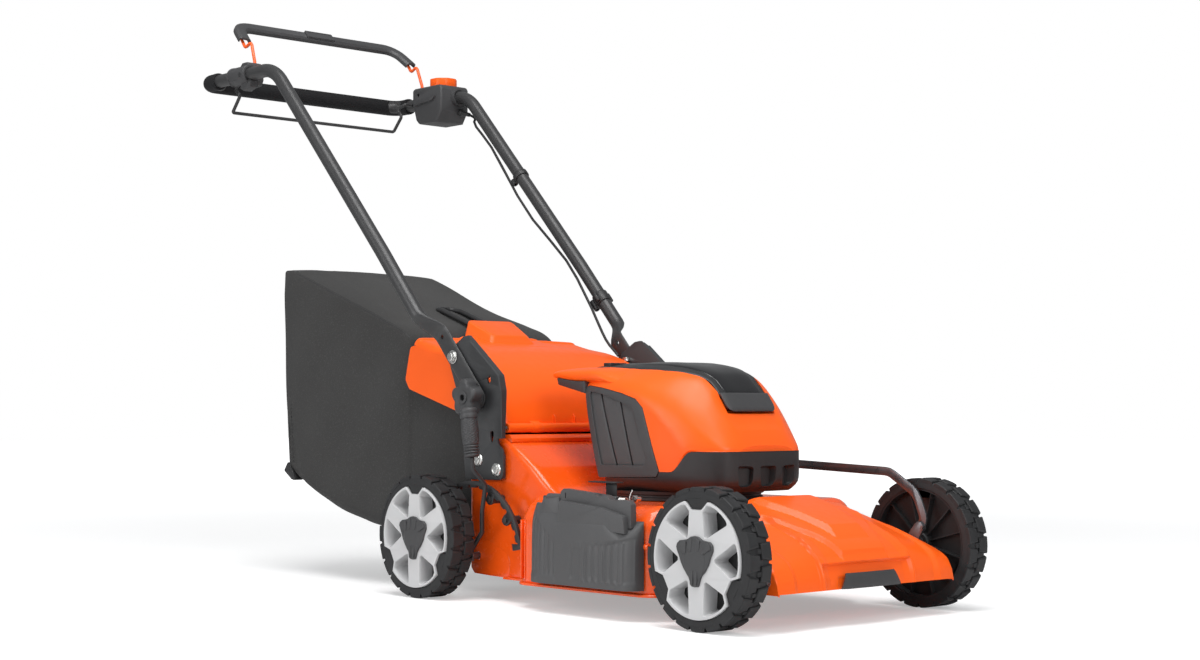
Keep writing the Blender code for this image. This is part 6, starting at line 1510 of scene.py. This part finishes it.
def build_door():
    line = curve_through([(x, 0, z) for x, z in DOOR_LINE], 90)
    corner = 0.013
    half = [(y, 0) for y in [0.0] + spread(0.006, DOOR_HALF - corner, 34)]
    half += [(DOOR_HALF - corner + corner * sin(radians(a)), -corner * (1 - cos(radians(a))))
             for a in range(10, 91, 10)]
    rows = []
    for i, p in enumerate(line):
        ahead = line[min(i + 1, len(line) - 1)] - line[max(i - 1, 0)]
        normal = Vector((ahead.z, 0, -ahead.x)).normalized()
        if normal.z < -0.2:
            normal = -normal
        row = []
        for side in (-1, 1):
            points = []
            for y, down in half:
                sag = 0.003 * (1 - (y / DOOR_HALF) ** 2) * step(0.3, 0.36, p.z)
                lift = sag + down + door_relief(p.x, y)
                points.append(Vector((p.x, side * y, p.z)) + normal * lift)
            row += points[::-1] if side < 0 else points[1:]
        rows.append(row)
    top = [(p.x, p.z) for p in line]
    inner = grown(top + [(x, z - 0.1) for x, z in reversed(top)], -corner + 0.0004)
    inner = inner[:len(top)][2:-2:4]
    outline = rounded_outline(inner + [(-0.118, 0.4245), (-0.13, 0.4225)] + WING[1:],
                              [0] * len(inner) + [0.002, 0.012, 0.01, 0.012, 0.02, 0.02, 0.01,
                                                  0.003], 6)
    parts = [sheet("door", rows, 0.0028, -1)]
    for side in (-1, 1):
        wing = side_plate("wing", outline, side * DOOR_HALF, side * (DOOR_HALF - 0.0028))
        parts.append(bevelled(wing, 0.0008, 2, 40))
        ear = [*arc(DOOR_HINGE, 0.0085, -90, 100, 12), (0.116, 0.3), (0.118, 0.276)]
        tab = cut(side_plate("ear", ear, side * 0.13, side * 0.11),
                  across("bore", *DOOR_HINGE, 0.0034, -0.2, 0.2, 24))
        parts.append(bevelled(tab, 0.0007, 2, 40))
        for y in (0.03, 0.075):
            rib = side_plate("rib", [(0.1265, 0.284), (0.13, 0.286), (0.1285, 0.301),
                                     (0.123, 0.306)], side * y - 0.0012, side * y + 0.0012)
            parts.append(bevelled(rib, 0.0006, 2, 40))
    x, z = DOOR_HINGE
    parts.append(turned("barrel", sleeve(0.0034, 0.0078, 0, 0.37, 0.0006, 0.0006),
                        (x, -0.185, z), (x, 1, z), 40))
    piece(merged("door", parts), "door", "orange_plastic", "door", "rear_door", angle=26)
    rings = []
    for front, rear, front_half, rear_half, front_z, rear_z in (
            (-0.06, -0.1445, 0.06, 0.066, 0.4195, 0.432),
            (-0.061, -0.1445, 0.059, 0.0655, 0.4235, 0.4375),
            (-0.063, -0.144, 0.0565, 0.064, 0.4265, 0.44),
            (-0.067, -0.143, 0.0525, 0.06, 0.4275, 0.4415),
            (-0.072, -0.142, 0.05, 0.059, 0.433, 0.448),
            (-0.0785, -0.1412, 0.042, 0.054, 0.443, 0.47),
            (-0.08, -0.141, 0.0405, 0.053, 0.4452, 0.4725),
            (-0.083, -0.14, 0.038, 0.051, 0.4468, 0.474)):
        ring = rounded_outline([(front, -front_half), (front, front_half), (rear, rear_half),
                                (rear, -rear_half)], [0.009, 0.009, 0.006, 0.006], 6)
        rings.append([(x, y, front_z + (rear_z - front_z) * (front - x) / (front - rear))
                      for x, y in ring])
    shear = side_plate("shear", [(-0.155, 0.4), (-0.092, 0.4), (-0.092, 0.442),
                                 (-0.137, 0.462), (-0.155, 0.466)], -0.045, 0.045)
    piece(cut(loft("scoop", rings), shear), "door_scoop", "orange_plastic", "door", "rear_door",
          angle=32)


BAG_FOOT_Z = 0.19
BAG_TALL = 0.388
BAG_TABLE = [(0.052, 0.1095, 0.258, 0.16), (0.0405, 0.1095, 0.258, 0.16),
             (0.0395, 0.1095, 0.374, 0.16), (-0.02, 0.11, 0.385, 0.161),
             (-0.145, 0.11, 0.394, 0.164), (-0.158, 0.11, 0.438, 0.167),
             (-0.23, 0.104, 0.474, 0.171), (-0.34, 0.12, 0.517, 0.172),
             (-0.44, 0.148, 0.549, 0.17), (-0.5, 0.173, 0.567, 0.168),
             (-0.535, 0.19, 0.578, 0.166)]


def bag_values(x):
    return [eased([(s[0], s[k]) for s in reversed(BAG_TABLE)], x) for k in (1, 2, 3)]


def bag_slack(x, side):
    """Sag of the bag's top seam, more on the left than on the right."""
    return (0.017 if side > 0 else 0.005) * sin(pi * step(-0.15, -0.545, x))


def bag_lean(z):
    """How far the bag's rear panel leans back at a height."""
    return -0.02 * (z - BAG_FOOT_Z) / BAG_TALL


def bag_ring(x, low, high, half):
    """One section of the bag with slack sides, sagging floor and a seam at each top edge."""
    loose = step(0.03, -0.1, x)
    right = [(y, low + 0.0022 * sin(9 * y + 31 * x) * loose, 0)
             for y in ((half - 0.026) * k / 8 for k in range(9))]
    for k in range(1, 7):
        a = radians(-90 + 15 * k)
        right.append((half - 0.026 + 0.026 * cos(a), low + 0.026 + 0.026 * sin(a), 1))
    right += [(half, low + 0.026 + (high - 0.004 - low - 0.026) * k / 18, 1)
              for k in range(1, 19)]
    for k in range(1, 5):
        a = radians(22.5 * k)
        right.append((half - 0.004 + 0.004 * cos(a), high - 0.004 + 0.004 * sin(a), 2))
    right += [((half - 0.004) * (1 - k / 12), high, 3) for k in range(1, 13)]
    ring = []
    for side in (1, -1):
        half_ring = []
        slack = bag_slack(x, side)
        for y, z, kind in right:
            if kind > 1:
                z -= slack * (abs(y) / half)
            elif kind == 1:
                z -= slack * max(0.0, (z - low) / (high - low)) ** 2
            t = (z - low) / max(high - low, 0.01)
            if kind == 1:
                bulge = 0.0045 * sin(pi * min(1.0, max(0.0, t)))
                bulge += 0.0016 * sin(19 * x + 11 * z + side) + 0.001 * sin(37 * x - 29 * z)
                fold = (z - BAG_FOOT_Z) * 0.35 + 0.505 + x
                bulge -= 0.0022 * exp(-(fold / 0.006) ** 2) * step(0.4, 0.3, z)
                y += bulge * loose * min(1.0, (1 - t) * 8)
            if kind == 3:
                inner = 1 - (y / half) ** 2
                z += (0.006 * inner + 0.0016 * sin(27 * x + 15 * side * y) * inner) * loose
                for slope, place, depth in ((0.9, 0.085, 0.003), (0.35, 0.12, 0.0022),
                                            (-0.6, 0.15, 0.0018)):
                    away = side * y + place + (x + 0.22) * slope * 0.4
                    z -= depth * inner * exp(-(away / 0.01) ** 2) * step(-0.18, -0.26, x)
            half_ring.append((x, side * y, z))
        ring += half_ring if side > 0 else half_ring[-2:0:-1]
    return ring


def bag_skin():
    xs = [0.052, 0.0406, 0.0395] + spread(0.03, -0.145, 16) + spread(-0.15, -0.158, 3)
    rings = [bag_ring(x, *bag_values(x)) for x in xs + spread(-0.168, -0.535, 52)]
    rear = [(x + bag_lean(z), y, z) for x, y, z in rings[-1]]
    rings[-1] = rear
    middle_x, middle_z = sum(p[0] for p in rear) / len(rear), 0.385
    for share in (0.985, 0.93, 0.8, 0.62, 0.42, 0.22, 0.06):
        ring = []
        for x, y, z in rear:
            away = 0.006 * (1 - share ** 2) + 0.0012 * sin(21 * y + 13 * z)
            lean = x + (middle_x - x) * (1 - share)
            ring.append((lean - (away if share < 0.98 else 0.0012),
                         y * share, middle_z + (z - middle_z) * share))
        rings.append(ring)
    skin = loft("bag", rings, False)
    bm = bmesh.new()
    bm.from_mesh(skin.data)
    holes = [e for e in bm.edges if e.is_boundary and e.verts[0].co.x < -0.4]
    bmesh.ops.contextual_create(bm, geom=holes)
    bm.to_mesh(skin.data)
    bm.free()
    return thickened(skin, 0.0022, -1)


def build_bag():
    piece(bag_skin(), "bag_cloth", "bag_fabric", "bag", "grass_bag", angle=50)
    pipes = []
    for side in (-1, 1):
        seam = []
        for x in spread(-0.16, -0.535, 44):
            _, high, half = bag_values(x)
            seam.append((x + bag_lean(high) * step(-0.515, -0.535, x), side * (half - 0.001),
                         high - 0.0008 - bag_slack(x, side)))
        edge = [(-0.5352 + bag_lean(z) - 0.001,
                 side * (0.1655 + 0.004 * sin(pi * (z - BAG_FOOT_Z) / BAG_TALL) * 0.9), z)
                for z in spread(0.577, 0.2, 30)]
        pipes += [tube("seam", seam, 0.0021, 2), tube("edge", edge, 0.0019, 2)]
    rear = [(-0.5562, y, 0.5775 + 0.006 * (1 - (y / 0.166) ** 2))
            for y in spread(-0.165, 0.165, 24)]
    pipes.append(tube("rear", rear, 0.0019, 2))
    piece(merged("bag_piping", pipes), "bag_piping", "black_plastic", "bag", angle=60,
          slot="bag_fabric")
    stitches = []
    corners = []
    rail = []
    grips = []
    for side in (-1, 1):
        for k in range(46):
            z = 0.215 + 0.345 * k / 45
            x = -0.5352 + bag_lean(z) + 0.013
            low, high, half = bag_values(max(x, -0.5349))
            y = side * (half + 0.0047 * sin(pi * (z - low) / (high - low)) + 0.0012)
            stitches.append(bevelled(block("stitch", (x - 0.0004, y - 0.0006, z - 0.0022),
                                           (x + 0.0004, y + 0.0006, z + 0.0022)), 0.0003, 1))
        outline = rounded_outline([(-0.556, 0.196), (-0.542, 0.214), (-0.525, 0.192),
                                   (-0.516, 0.177), (-0.53, 0.18)], 0.003, 3)
        corners.append(bevelled(side_plate("clip", outline, side * 0.15, side * 0.169),
                                0.0014, 2, 30))
        line = [(-0.16, side * 0.022, 0.446), (-0.164, side * 0.022, 0.466),
                (-0.252, side * 0.0215, 0.496), (-0.276, side * 0.018, 0.5)]
        rail += line[::-side]
        grips.append(bevelled(block("pad", (-0.185, side * 0.021 - 0.009, 0.44),
                                    (-0.156, side * 0.021 + 0.009, 0.449)), 0.002, 2))
    piece(merged("bag_stitches", stitches), "bag_stitches", "stitch_thread", "bag", angle=60,
          slot="bag_fabric")
    piece(merged("bag_corners", corners), "bag_corners", "black_plastic", "bag", angle=35)
    bar = tube("rail", rounded_path(rail, 0.012, 6), 0.005, 3)
    foot = tube("foot", rounded_path([(-0.27, 0, 0.499), (-0.281, 0, 0.499), (-0.281, 0, 0.48)],
                                     0.004, 3), 0.0042, 3)
    piece(merged("bag_grip", [bar, foot, *grips]), "bag_grip", "black_plastic", "bag",
          "bag_handle", angle=50)


build_door()
build_bag()


# Handle tubes, grip, brackets, knobs, bolts and the height lever's grip

FLAT_Y = 0.2033
TUBE_Y = 0.2323
TUBE_R = 0.0127
GRIP_Z = 0.957
LOW_BEND = (-0.149, 0.585)
HIGH_BEND = (-0.501, GRIP_Z)
PIVOT = (0.016, 0.402)
KNOB = (0.079, 0.333)
FOOT = (0.0925, 0.3182)
BRACKET_INNER = 0.1965
BRACKET_OUTER = 0.2
OUTER = FLAT_Y + 0.003 + 0.0003


def tube_ring(centre, along, wide, thick, power, steps=44):
    """Section of the tube: wide in the plane of the side, thick across the machine."""
    up = Vector((0, 1, 0)).cross(along).normalized()
    ring = []
    for k in range(steps):
        a = 2 * pi * k / steps
        c, s = cos(a), sin(a)
        x = wide * copysign(abs(c) ** power, c)
        y = thick * copysign(abs(s) ** power, s)
        ring.append(centre + up * x + Vector((0, y, 0)))
    return ring


def side_tube(side):
    foot, pivot, *bends = (Vector((x, 0, z)) for x, z in
                           (FOOT, PIVOT, LOW_BEND, HIGH_BEND, (-0.603, GRIP_Z)))
    route = rounded_path([pivot, *bends], 0.085, 14)
    dense = []
    for a, b in zip(route, route[1:]):
        count = max(1, int((b - a).length / 0.008))
        dense += [a.lerp(b, k / count) for k in range(count)]
    dense.append(route[-1])
    down = (foot - pivot).normalized()
    rings = []
    end = 0.0175

    def flat_ring(centre, wide, thick):
        centre = Vector((centre.x, side * FLAT_Y, centre.z))
        rings.append(tube_ring(centre, -down, wide, thick, 0.85))

    for t in (0.02, 0.12, 0.3, 0.5, 0.7, 0.86, 1):
        a = acos(1 - t)
        flat_ring(foot - down * end * (1 - cos(a)), max(0.0012, end * sin(a)),
                  0.0028 if t < 0.1 else 0.003)
    for t in spread(0.18, 0.95, 8):
        flat_ring(foot.lerp(pivot, t), end, 0.003)
    travelled = 0.0
    for i, p in enumerate(dense):
        if i:
            travelled += (p - dense[i - 1]).length
        along = (dense[min(i + 1, len(dense) - 1)] - dense[max(i - 1, 0)]).normalized()
        t = step(0.05, 0.096, travelled)
        wide = end + (TUBE_R - end) * t
        thick = 0.003 + (TUBE_R - 0.003) * step(0.05, 0.092, travelled)
        y = FLAT_Y + (TUBE_Y - FLAT_Y) * step(0.052, 0.096, travelled)
        rings.append(tube_ring(Vector((p.x, side * y, p.z)), along, wide, thick, 0.85 + 0.15 * t))
    body = loft("tube", rings)
    for x, z, r in ((*PIVOT, 0.0043), (*KNOB, 0.0043), (-0.0145, 0.436, 0.004)):
        body = cut(body, across("hole", x, z, r, side * 0.19, side * 0.23, 28))
    return body


def handle_clip(start, end, distance, size, name, ears=True):
    """Cable clip on the left tube, at a distance along it from the first of two points."""
    start, end = (Vector((x, 0, z)) for x, z in (start, end))
    along = (end - start).normalized()
    spot = start + along * distance
    start = Vector((spot.x, TUBE_Y, spot.z)) - along * size / 2
    ring = turned("clip", sleeve(TUBE_R + 0.0001, TUBE_R + 0.0026, 0, size, 0.0004, 0.001),
                  start, start + along, 40)
    below = Vector((along.z, 0, -along.x)).normalized()
    if below.z > 0:
        below = -below
    hold = start + below * (TUBE_R + 0.005) + Vector((0, -0.006, 0))
    parts = [ring, turned("loop", sleeve(0.003, 0.0058, 0, size, 0.0004, 0.001),
                          hold, hold + along, 28)]
    for side in (-1, 1) if ears else ():
        ear = start + Vector((0, side * (TUBE_R + 0.0035), 0)) - below * 0.004 + along * 0.002
        parts.append(turned("ear", [(0, 0), (0.0036, 0), (0.0042, 0.0008), (0.0042, size - 0.0048),
                                    (0.0036, size - 0.004), (0, size - 0.004)],
                            ear, ear + along, 20))
    piece(merged("clip", parts), name, "black_plastic", "handle", angle=40)


def build_handle():
    for side, label in SIDES:
        piece(side_tube(side), f"tube_{label}", "grey_coated_tube", "handle",
              f"handle_tube_{label}", angle=40)
        parts = [pin(name, profile, side, PIVOT, OUTER + lift, steps)
                 for name, profile, lift, steps in (
                     ("washer", sleeve(0.0044, 0.0116, 0, 0.0016, 0.0004, 0.0004), 0.0001, 48),
                     ("head", [(0, 0), (0.007, 0), (0.0078, 0.0008), (0.0078, 0.0052),
                               (0.0066, 0.0064), (0, 0.0064)], 0.0017, 6),
                     ("collar", [(0, 0), (0.0088, 0), (0.0092, 0.0005), (0.0086, 0.0018),
                                 (0, 0.002)], 0.0014, 40))]
        parts.append(across_at("shank", PIVOT, 0.004, side * (OUTER + 0.002),
                               side * (BRACKET_INNER - 0.0085)))
        x, z = PIVOT
        parts.append(turned("nut", [(0, 0), (0.007, 0), (0.0078, 0.0008), (0.0078, 0.0056),
                                    (0.007, 0.0064), (0, 0.0064)],
                            (x, side * (BRACKET_INNER - 0.0004), z), (x, 0, z), 6))
        piece(merged("bolt", parts), f"pivot_bolt_{label}", "zinc_plated_steel", "deck",
              f"handle_bolt_{label}", angle=35)
    corners = [(-0.743, -TUBE_Y, GRIP_Z), (-0.743, TUBE_Y, GRIP_Z)]
    bar, cover = ([(x, -TUBE_Y, GRIP_Z), *corners, (x, TUBE_Y, GRIP_Z)] for x in (-0.62, -0.697))
    piece(tube("grip_bar", rounded_path(bar, 0.05, 18), 0.01255, 10), "grip_bar",
          "grey_coated_tube", "handle", "grip_tube", angle=50)
    parts = [tube("foam", rounded_path(cover, 0.0459, 18), 0.0162, 10)]
    for y in (-TUBE_Y, TUBE_Y):
        parts.append(turned("end", [(0.0128, 0), (0.015, 0), (0.0162, 0.0012), (0.0166, 0.004),
                                    (0.0166, 0.009), (0.016, 0.0115), (0.0128, 0.0115),
                                    (0.0128, 0)], (-0.6965, y, GRIP_Z), (-1, y, GRIP_Z), 48))
    piece(merged("foam", parts), "foam", "foam_grip", "handle", "grip_foam", angle=50)
    handle_clip(LOW_BEND, HIGH_BEND, 0.262, 0.012, "cable_clip_top", False)
    handle_clip(PIVOT, LOW_BEND, 0.16, 0.022, "cable_clip_low")


BRACKET = [(0.042, 0.197), (0.137, 0.198), (0.142, 0.21), (0.14, 0.247), (0.1275, 0.257),
           (0.127, 0.2655), (0.1425, 0.266), (0.1462, 0.345), (0.1396, 0.37), (0.064, 0.429),
           (0.052, 0.438), (0.036, 0.436), (-0.002, 0.414), (-0.003, 0.394), (0.018, 0.345),
           (0.032, 0.29)]


def build_bracket(side, label):
    outline = rounded_outline(BRACKET, [0.006, 0.01, 0.012, 0.01, 0.003, 0.001, 0.002, 0.014,
                                        0.012, 0.008, 0.008, 0.012, 0.012, 0.01, 0.02, 0.02], 5)
    slot = [*arc((0.112, 0.274), 0.0045, 0, 180, 10), *arc((0.112, 0.262), 0.003, 180, 360, 8)]
    gap = [(0.101, 0.3555), (0.109, 0.36), (0.1065, 0.369), (0.0985, 0.3645)]
    plate = side_plate("plate", outline, side * BRACKET_INNER, side * BRACKET_OUTER,
                       [slot, rounded_outline(gap, 0.001, 2)])
    plate = bevelled(plate, 0.0007, 2, 40)
    path = rounded_path([(0.1427, 0, 0.2665), (0.1462, 0, 0.345), (0.1396, 0, 0.37),
                         (0.064, 0, 0.429), (0.056, 0, 0.435)], 0.012, 6)
    rings = []
    for i, p in enumerate(path):
        along = (path[min(i + 1, len(path) - 1)] - path[max(i - 1, 0)]).normalized()
        out = Vector((along.z, 0, -along.x))
        tall = 0.0085 * min(1.0, (len(path) - 1 - i) / 3 + 0.25, i / 2 + 0.4)
        section = [(-0.006, 0.1968), (-0.003, 0.1968), (-0.0008, 0.198), (0, 0.2005),
                   (0, 0.2 + tall), (-0.001, 0.2008 + tall), (-0.0028, 0.2008 + tall),
                   (-0.0034, 0.2 + tall), (-0.0034, 0.202), (-0.0044, 0.2), (-0.006, 0.1998)]
        rings.append([p + out * a + Vector((0, side * y, 0)) for a, y in section])
    flange = loft("flange", rings)
    spacer = bevelled(block("spacer", (0.044, side * 0.1966, 0.2),
                            (0.139, side * 0.1924, 0.24)), 0.001, 2)
    plate = cut(plate, across("hole", *PIVOT, 0.0043, -0.3, 0.3, 28),
                across("hole", *KNOB, 0.0043, -0.3, 0.3, 28))
    piece(merged("bracket", [plate, flange, spacer]), f"bracket_{label}", "coated_bracket", "deck",
          f"handle_bracket_{label}", angle=35)
    bolts = []
    for spot in ((0.076, 0.23), (0.124, 0.2145)):
        bolts.append(pin("washer", [(0, 0), (0.0108, 0), (0.0112, 0.0004), (0.0106, 0.0016),
                                    (0.0088, 0.0022), (0, 0.0022)], side, spot, BRACKET_OUTER, 44))
        bolts.append(pin("head", [(0, 0), (0.0078, 0), (0.0083, 0.0006), (0.0083, 0.004),
                                  (0.007, 0.0052), (0.0052, 0.0053), (0.0047, 0.0045),
                                  (0, 0.0045)], side, spot, BRACKET_OUTER + 0.0004, 6))
    piece(merged("bolts", bolts), f"bracket_bolts_{label}", "zinc_plated_steel", "deck", angle=35)


def build_knob(side, label):
    low = OUTER + 0.008
    top = OUTER + 0.031
    rings = []
    for radius, lift, y in (
            (0.019, 0.005, low), (0.0222, 0.0078, low + 0.0006), (0.0235, 0.0085, low + 0.003),
            (0.0235, 0.0085, top - 0.006), (0.0228, 0.008, top - 0.003),
            (0.0208, 0.0072, top - 0.001), (0.018, 0.0062, top - 0.0004),
            (0.015, 0.003, top - 0.0008), (0.012, 0.0008, top - 0.0022),
            (0.0108, 0, top - 0.0022), (0.0104, 0, top - 0.001), (0.0098, 0, top - 0.0006)):
        ring = []
        for k in range(160):
            a = 2 * pi * k / 160
            r = radius + lift * (0.5 + 0.5 * cos(5 * (a - pi / 2))) ** 0.75
            ring.append((KNOB[0] + r * cos(a), side * y, KNOB[1] + r * sin(a)))
        rings.append(ring)
    knob = cut(loft("knob", rings), across_at("socket", KNOB, 0.0062, side * (top - 0.009),
                                              side * (top + 0.01), 6))
    skirt = pin("skirt", [(0, 0), (0.02, 0), (0.021, 0.001), (0.021, 0.0075),
                          (0.0195, 0.0088), (0, 0.0088)], side, KNOB, OUTER + 0.001, 48)
    washer = pin("washer", [(0, 0), (0.0128, 0), (0.013, 0.0002), (0.013, 0.001), (0, 0.001)],
                 side, KNOB, OUTER, 40)
    piece(merged("knob", [knob, skirt, washer]), f"knob_{label}_star", "grey_plastic",
          f"knob_{label}", f"star_knob_{label}", angle=28)
    stud = across_at("stud", KNOB, 0.004, side * (top - 0.0125), side * 0.1905)
    piece(stud, f"knob_{label}_stud", "zinc_plated_steel", f"knob_{label}", f"star_knob_{label}",
          angle=35)


def build_lever_grip():
    start, end = Vector((0.129, -0.255, 0.236)), Vector((0.118, -0.255, 0.317))
    along = (end - start).normalized()
    length = (end - start).length
    side = Vector((0, 1, 0))
    other = along.cross(side).normalized()
    profile = [(0, 0.005), (0.0006, 0.0098), (0.0012, 0.0108)]
    for k in range(4):
        s = 0.0015 + k * 0.0046
        profile += [(s, 0.0112), (s + 0.0018, 0.0122 + 0.0004 * k),
                    (s + 0.0034, 0.0114 + 0.0003 * k), (s + 0.0042, 0.0104 + 0.0003 * k)]
    profile += [(0.0206, 0.012), (0.0212, 0.0126)]
    profile += [(0.0215 + 0.04 * k / 40, 0.0128 + 0.0012 * sin(pi * k / 40)) for k in range(41)]
    profile += [(0.0625, 0.0124), (0.0633, 0.0124), (0.064, 0.0142), (0.0662, 0.0145),
                (0.07, 0.0145), (0.0712, 0.0138), (0.0722, 0.0139), (0.0745, 0.0145),
                (0.0778, 0.0142), (0.08, 0.0128), (length - 0.001, 0.0098), (length, 0.006)]
    rings = []
    for s, r in profile:
        ring = []
        for k in range(72):
            a = 2 * pi * k / 72
            rr = r
            if 0.0225 < s < 0.0605:
                rr += 0.00045 * (1 if (k // 3 + int((s - 0.0215) / 0.002)) % 2 else -1)
            ring.append(start + along * s + side * rr * cos(a) + other * rr * sin(a))
        rings.append(ring)
    piece(loft("lever_grip", rings), "lever_hand_grip", "grey_plastic", "rear_crank", "lever_grip",
          angle=60)


def rectangle(half_x, half_y, radius):
    return rounded_outline([(-half_x, -half_y), (half_x, -half_y), (half_x, half_y),
                            (-half_x, half_y)], radius, 4)


def build_bail_parts():
    route = []
    for side in (-1, 1):
        leg = [(x, side * y, z) for x, y, z in (
            (-0.673, 0.2192, 0.955), (-0.673, 0.201, 0.955), (-0.689, 0.1985, 0.9495),
            (-0.692, 0.198, 0.942), (-0.6815, 0.1975, 0.934), (-0.68, 0.197, 0.928),
            (-0.706, 0.1965, 0.9))]
        route += leg[::-side]
    piece(tube("wire", rounded_path(route, 0.0042, 5), 0.0033, 6), "drive_bail_wire",
          "coated_wire", "lower_bail", "drive_bail", angle=60)
    middle = Vector((-0.7015, 0, 1.0705)) + Vector((1, 0, 1)).normalized() * 0.0032
    pad = bevelled(floor_plate("pad", rectangle(0.0098, 0.033, 0.0022), 0.0035, 0.0082),
                   0.0009, 3, 30)
    pad = cut(pad, floor_plate("field", rectangle(0.007, 0.028, 0.0016), 0.0077, 0.02))
    piece(moved(pad, Matrix.Translation(middle) @ Matrix.Rotation(radians(45), 4, "Y")),
          "bail_pad", "grey_plastic", "upper_bail", angle=35)
    # Painted shade: a flat black disc on the sleeve stands for the dark inside of its hole.
    hole = turned("painted_hole_disc", [(0, 0), (0.004, 0), (0.0043, 0.0003), (0.0043, 0.0012), (0, 0.0012)],
                  (-0.5957, -0.249, 0.9555), (-0.5957, -1, 0.9555), 32)
    piece(hole, "sleeve_hole_shade", "black_plastic", "handle", angle=40)
    for x, label in ((-0.5835, "front"), (-0.6385, "rear")):
        ring = turned("band", sleeve(0.0128, 0.0186, 0, 0.004, 0.0006, 0.0006),
                      (x, -TUBE_Y, GRIP_Z), (x - 1, -TUBE_Y, GRIP_Z), 48)
        piece(ring, f"sleeve_band_{label}", "grey_plastic", "handle", angle=40)


build_handle()
build_bail_parts()
for place, tag in SIDES:
    build_bracket(place, tag)
    build_knob(place, tag)
build_lever_grip()


for node in NODES:
    if node not in done:
        refined(node)
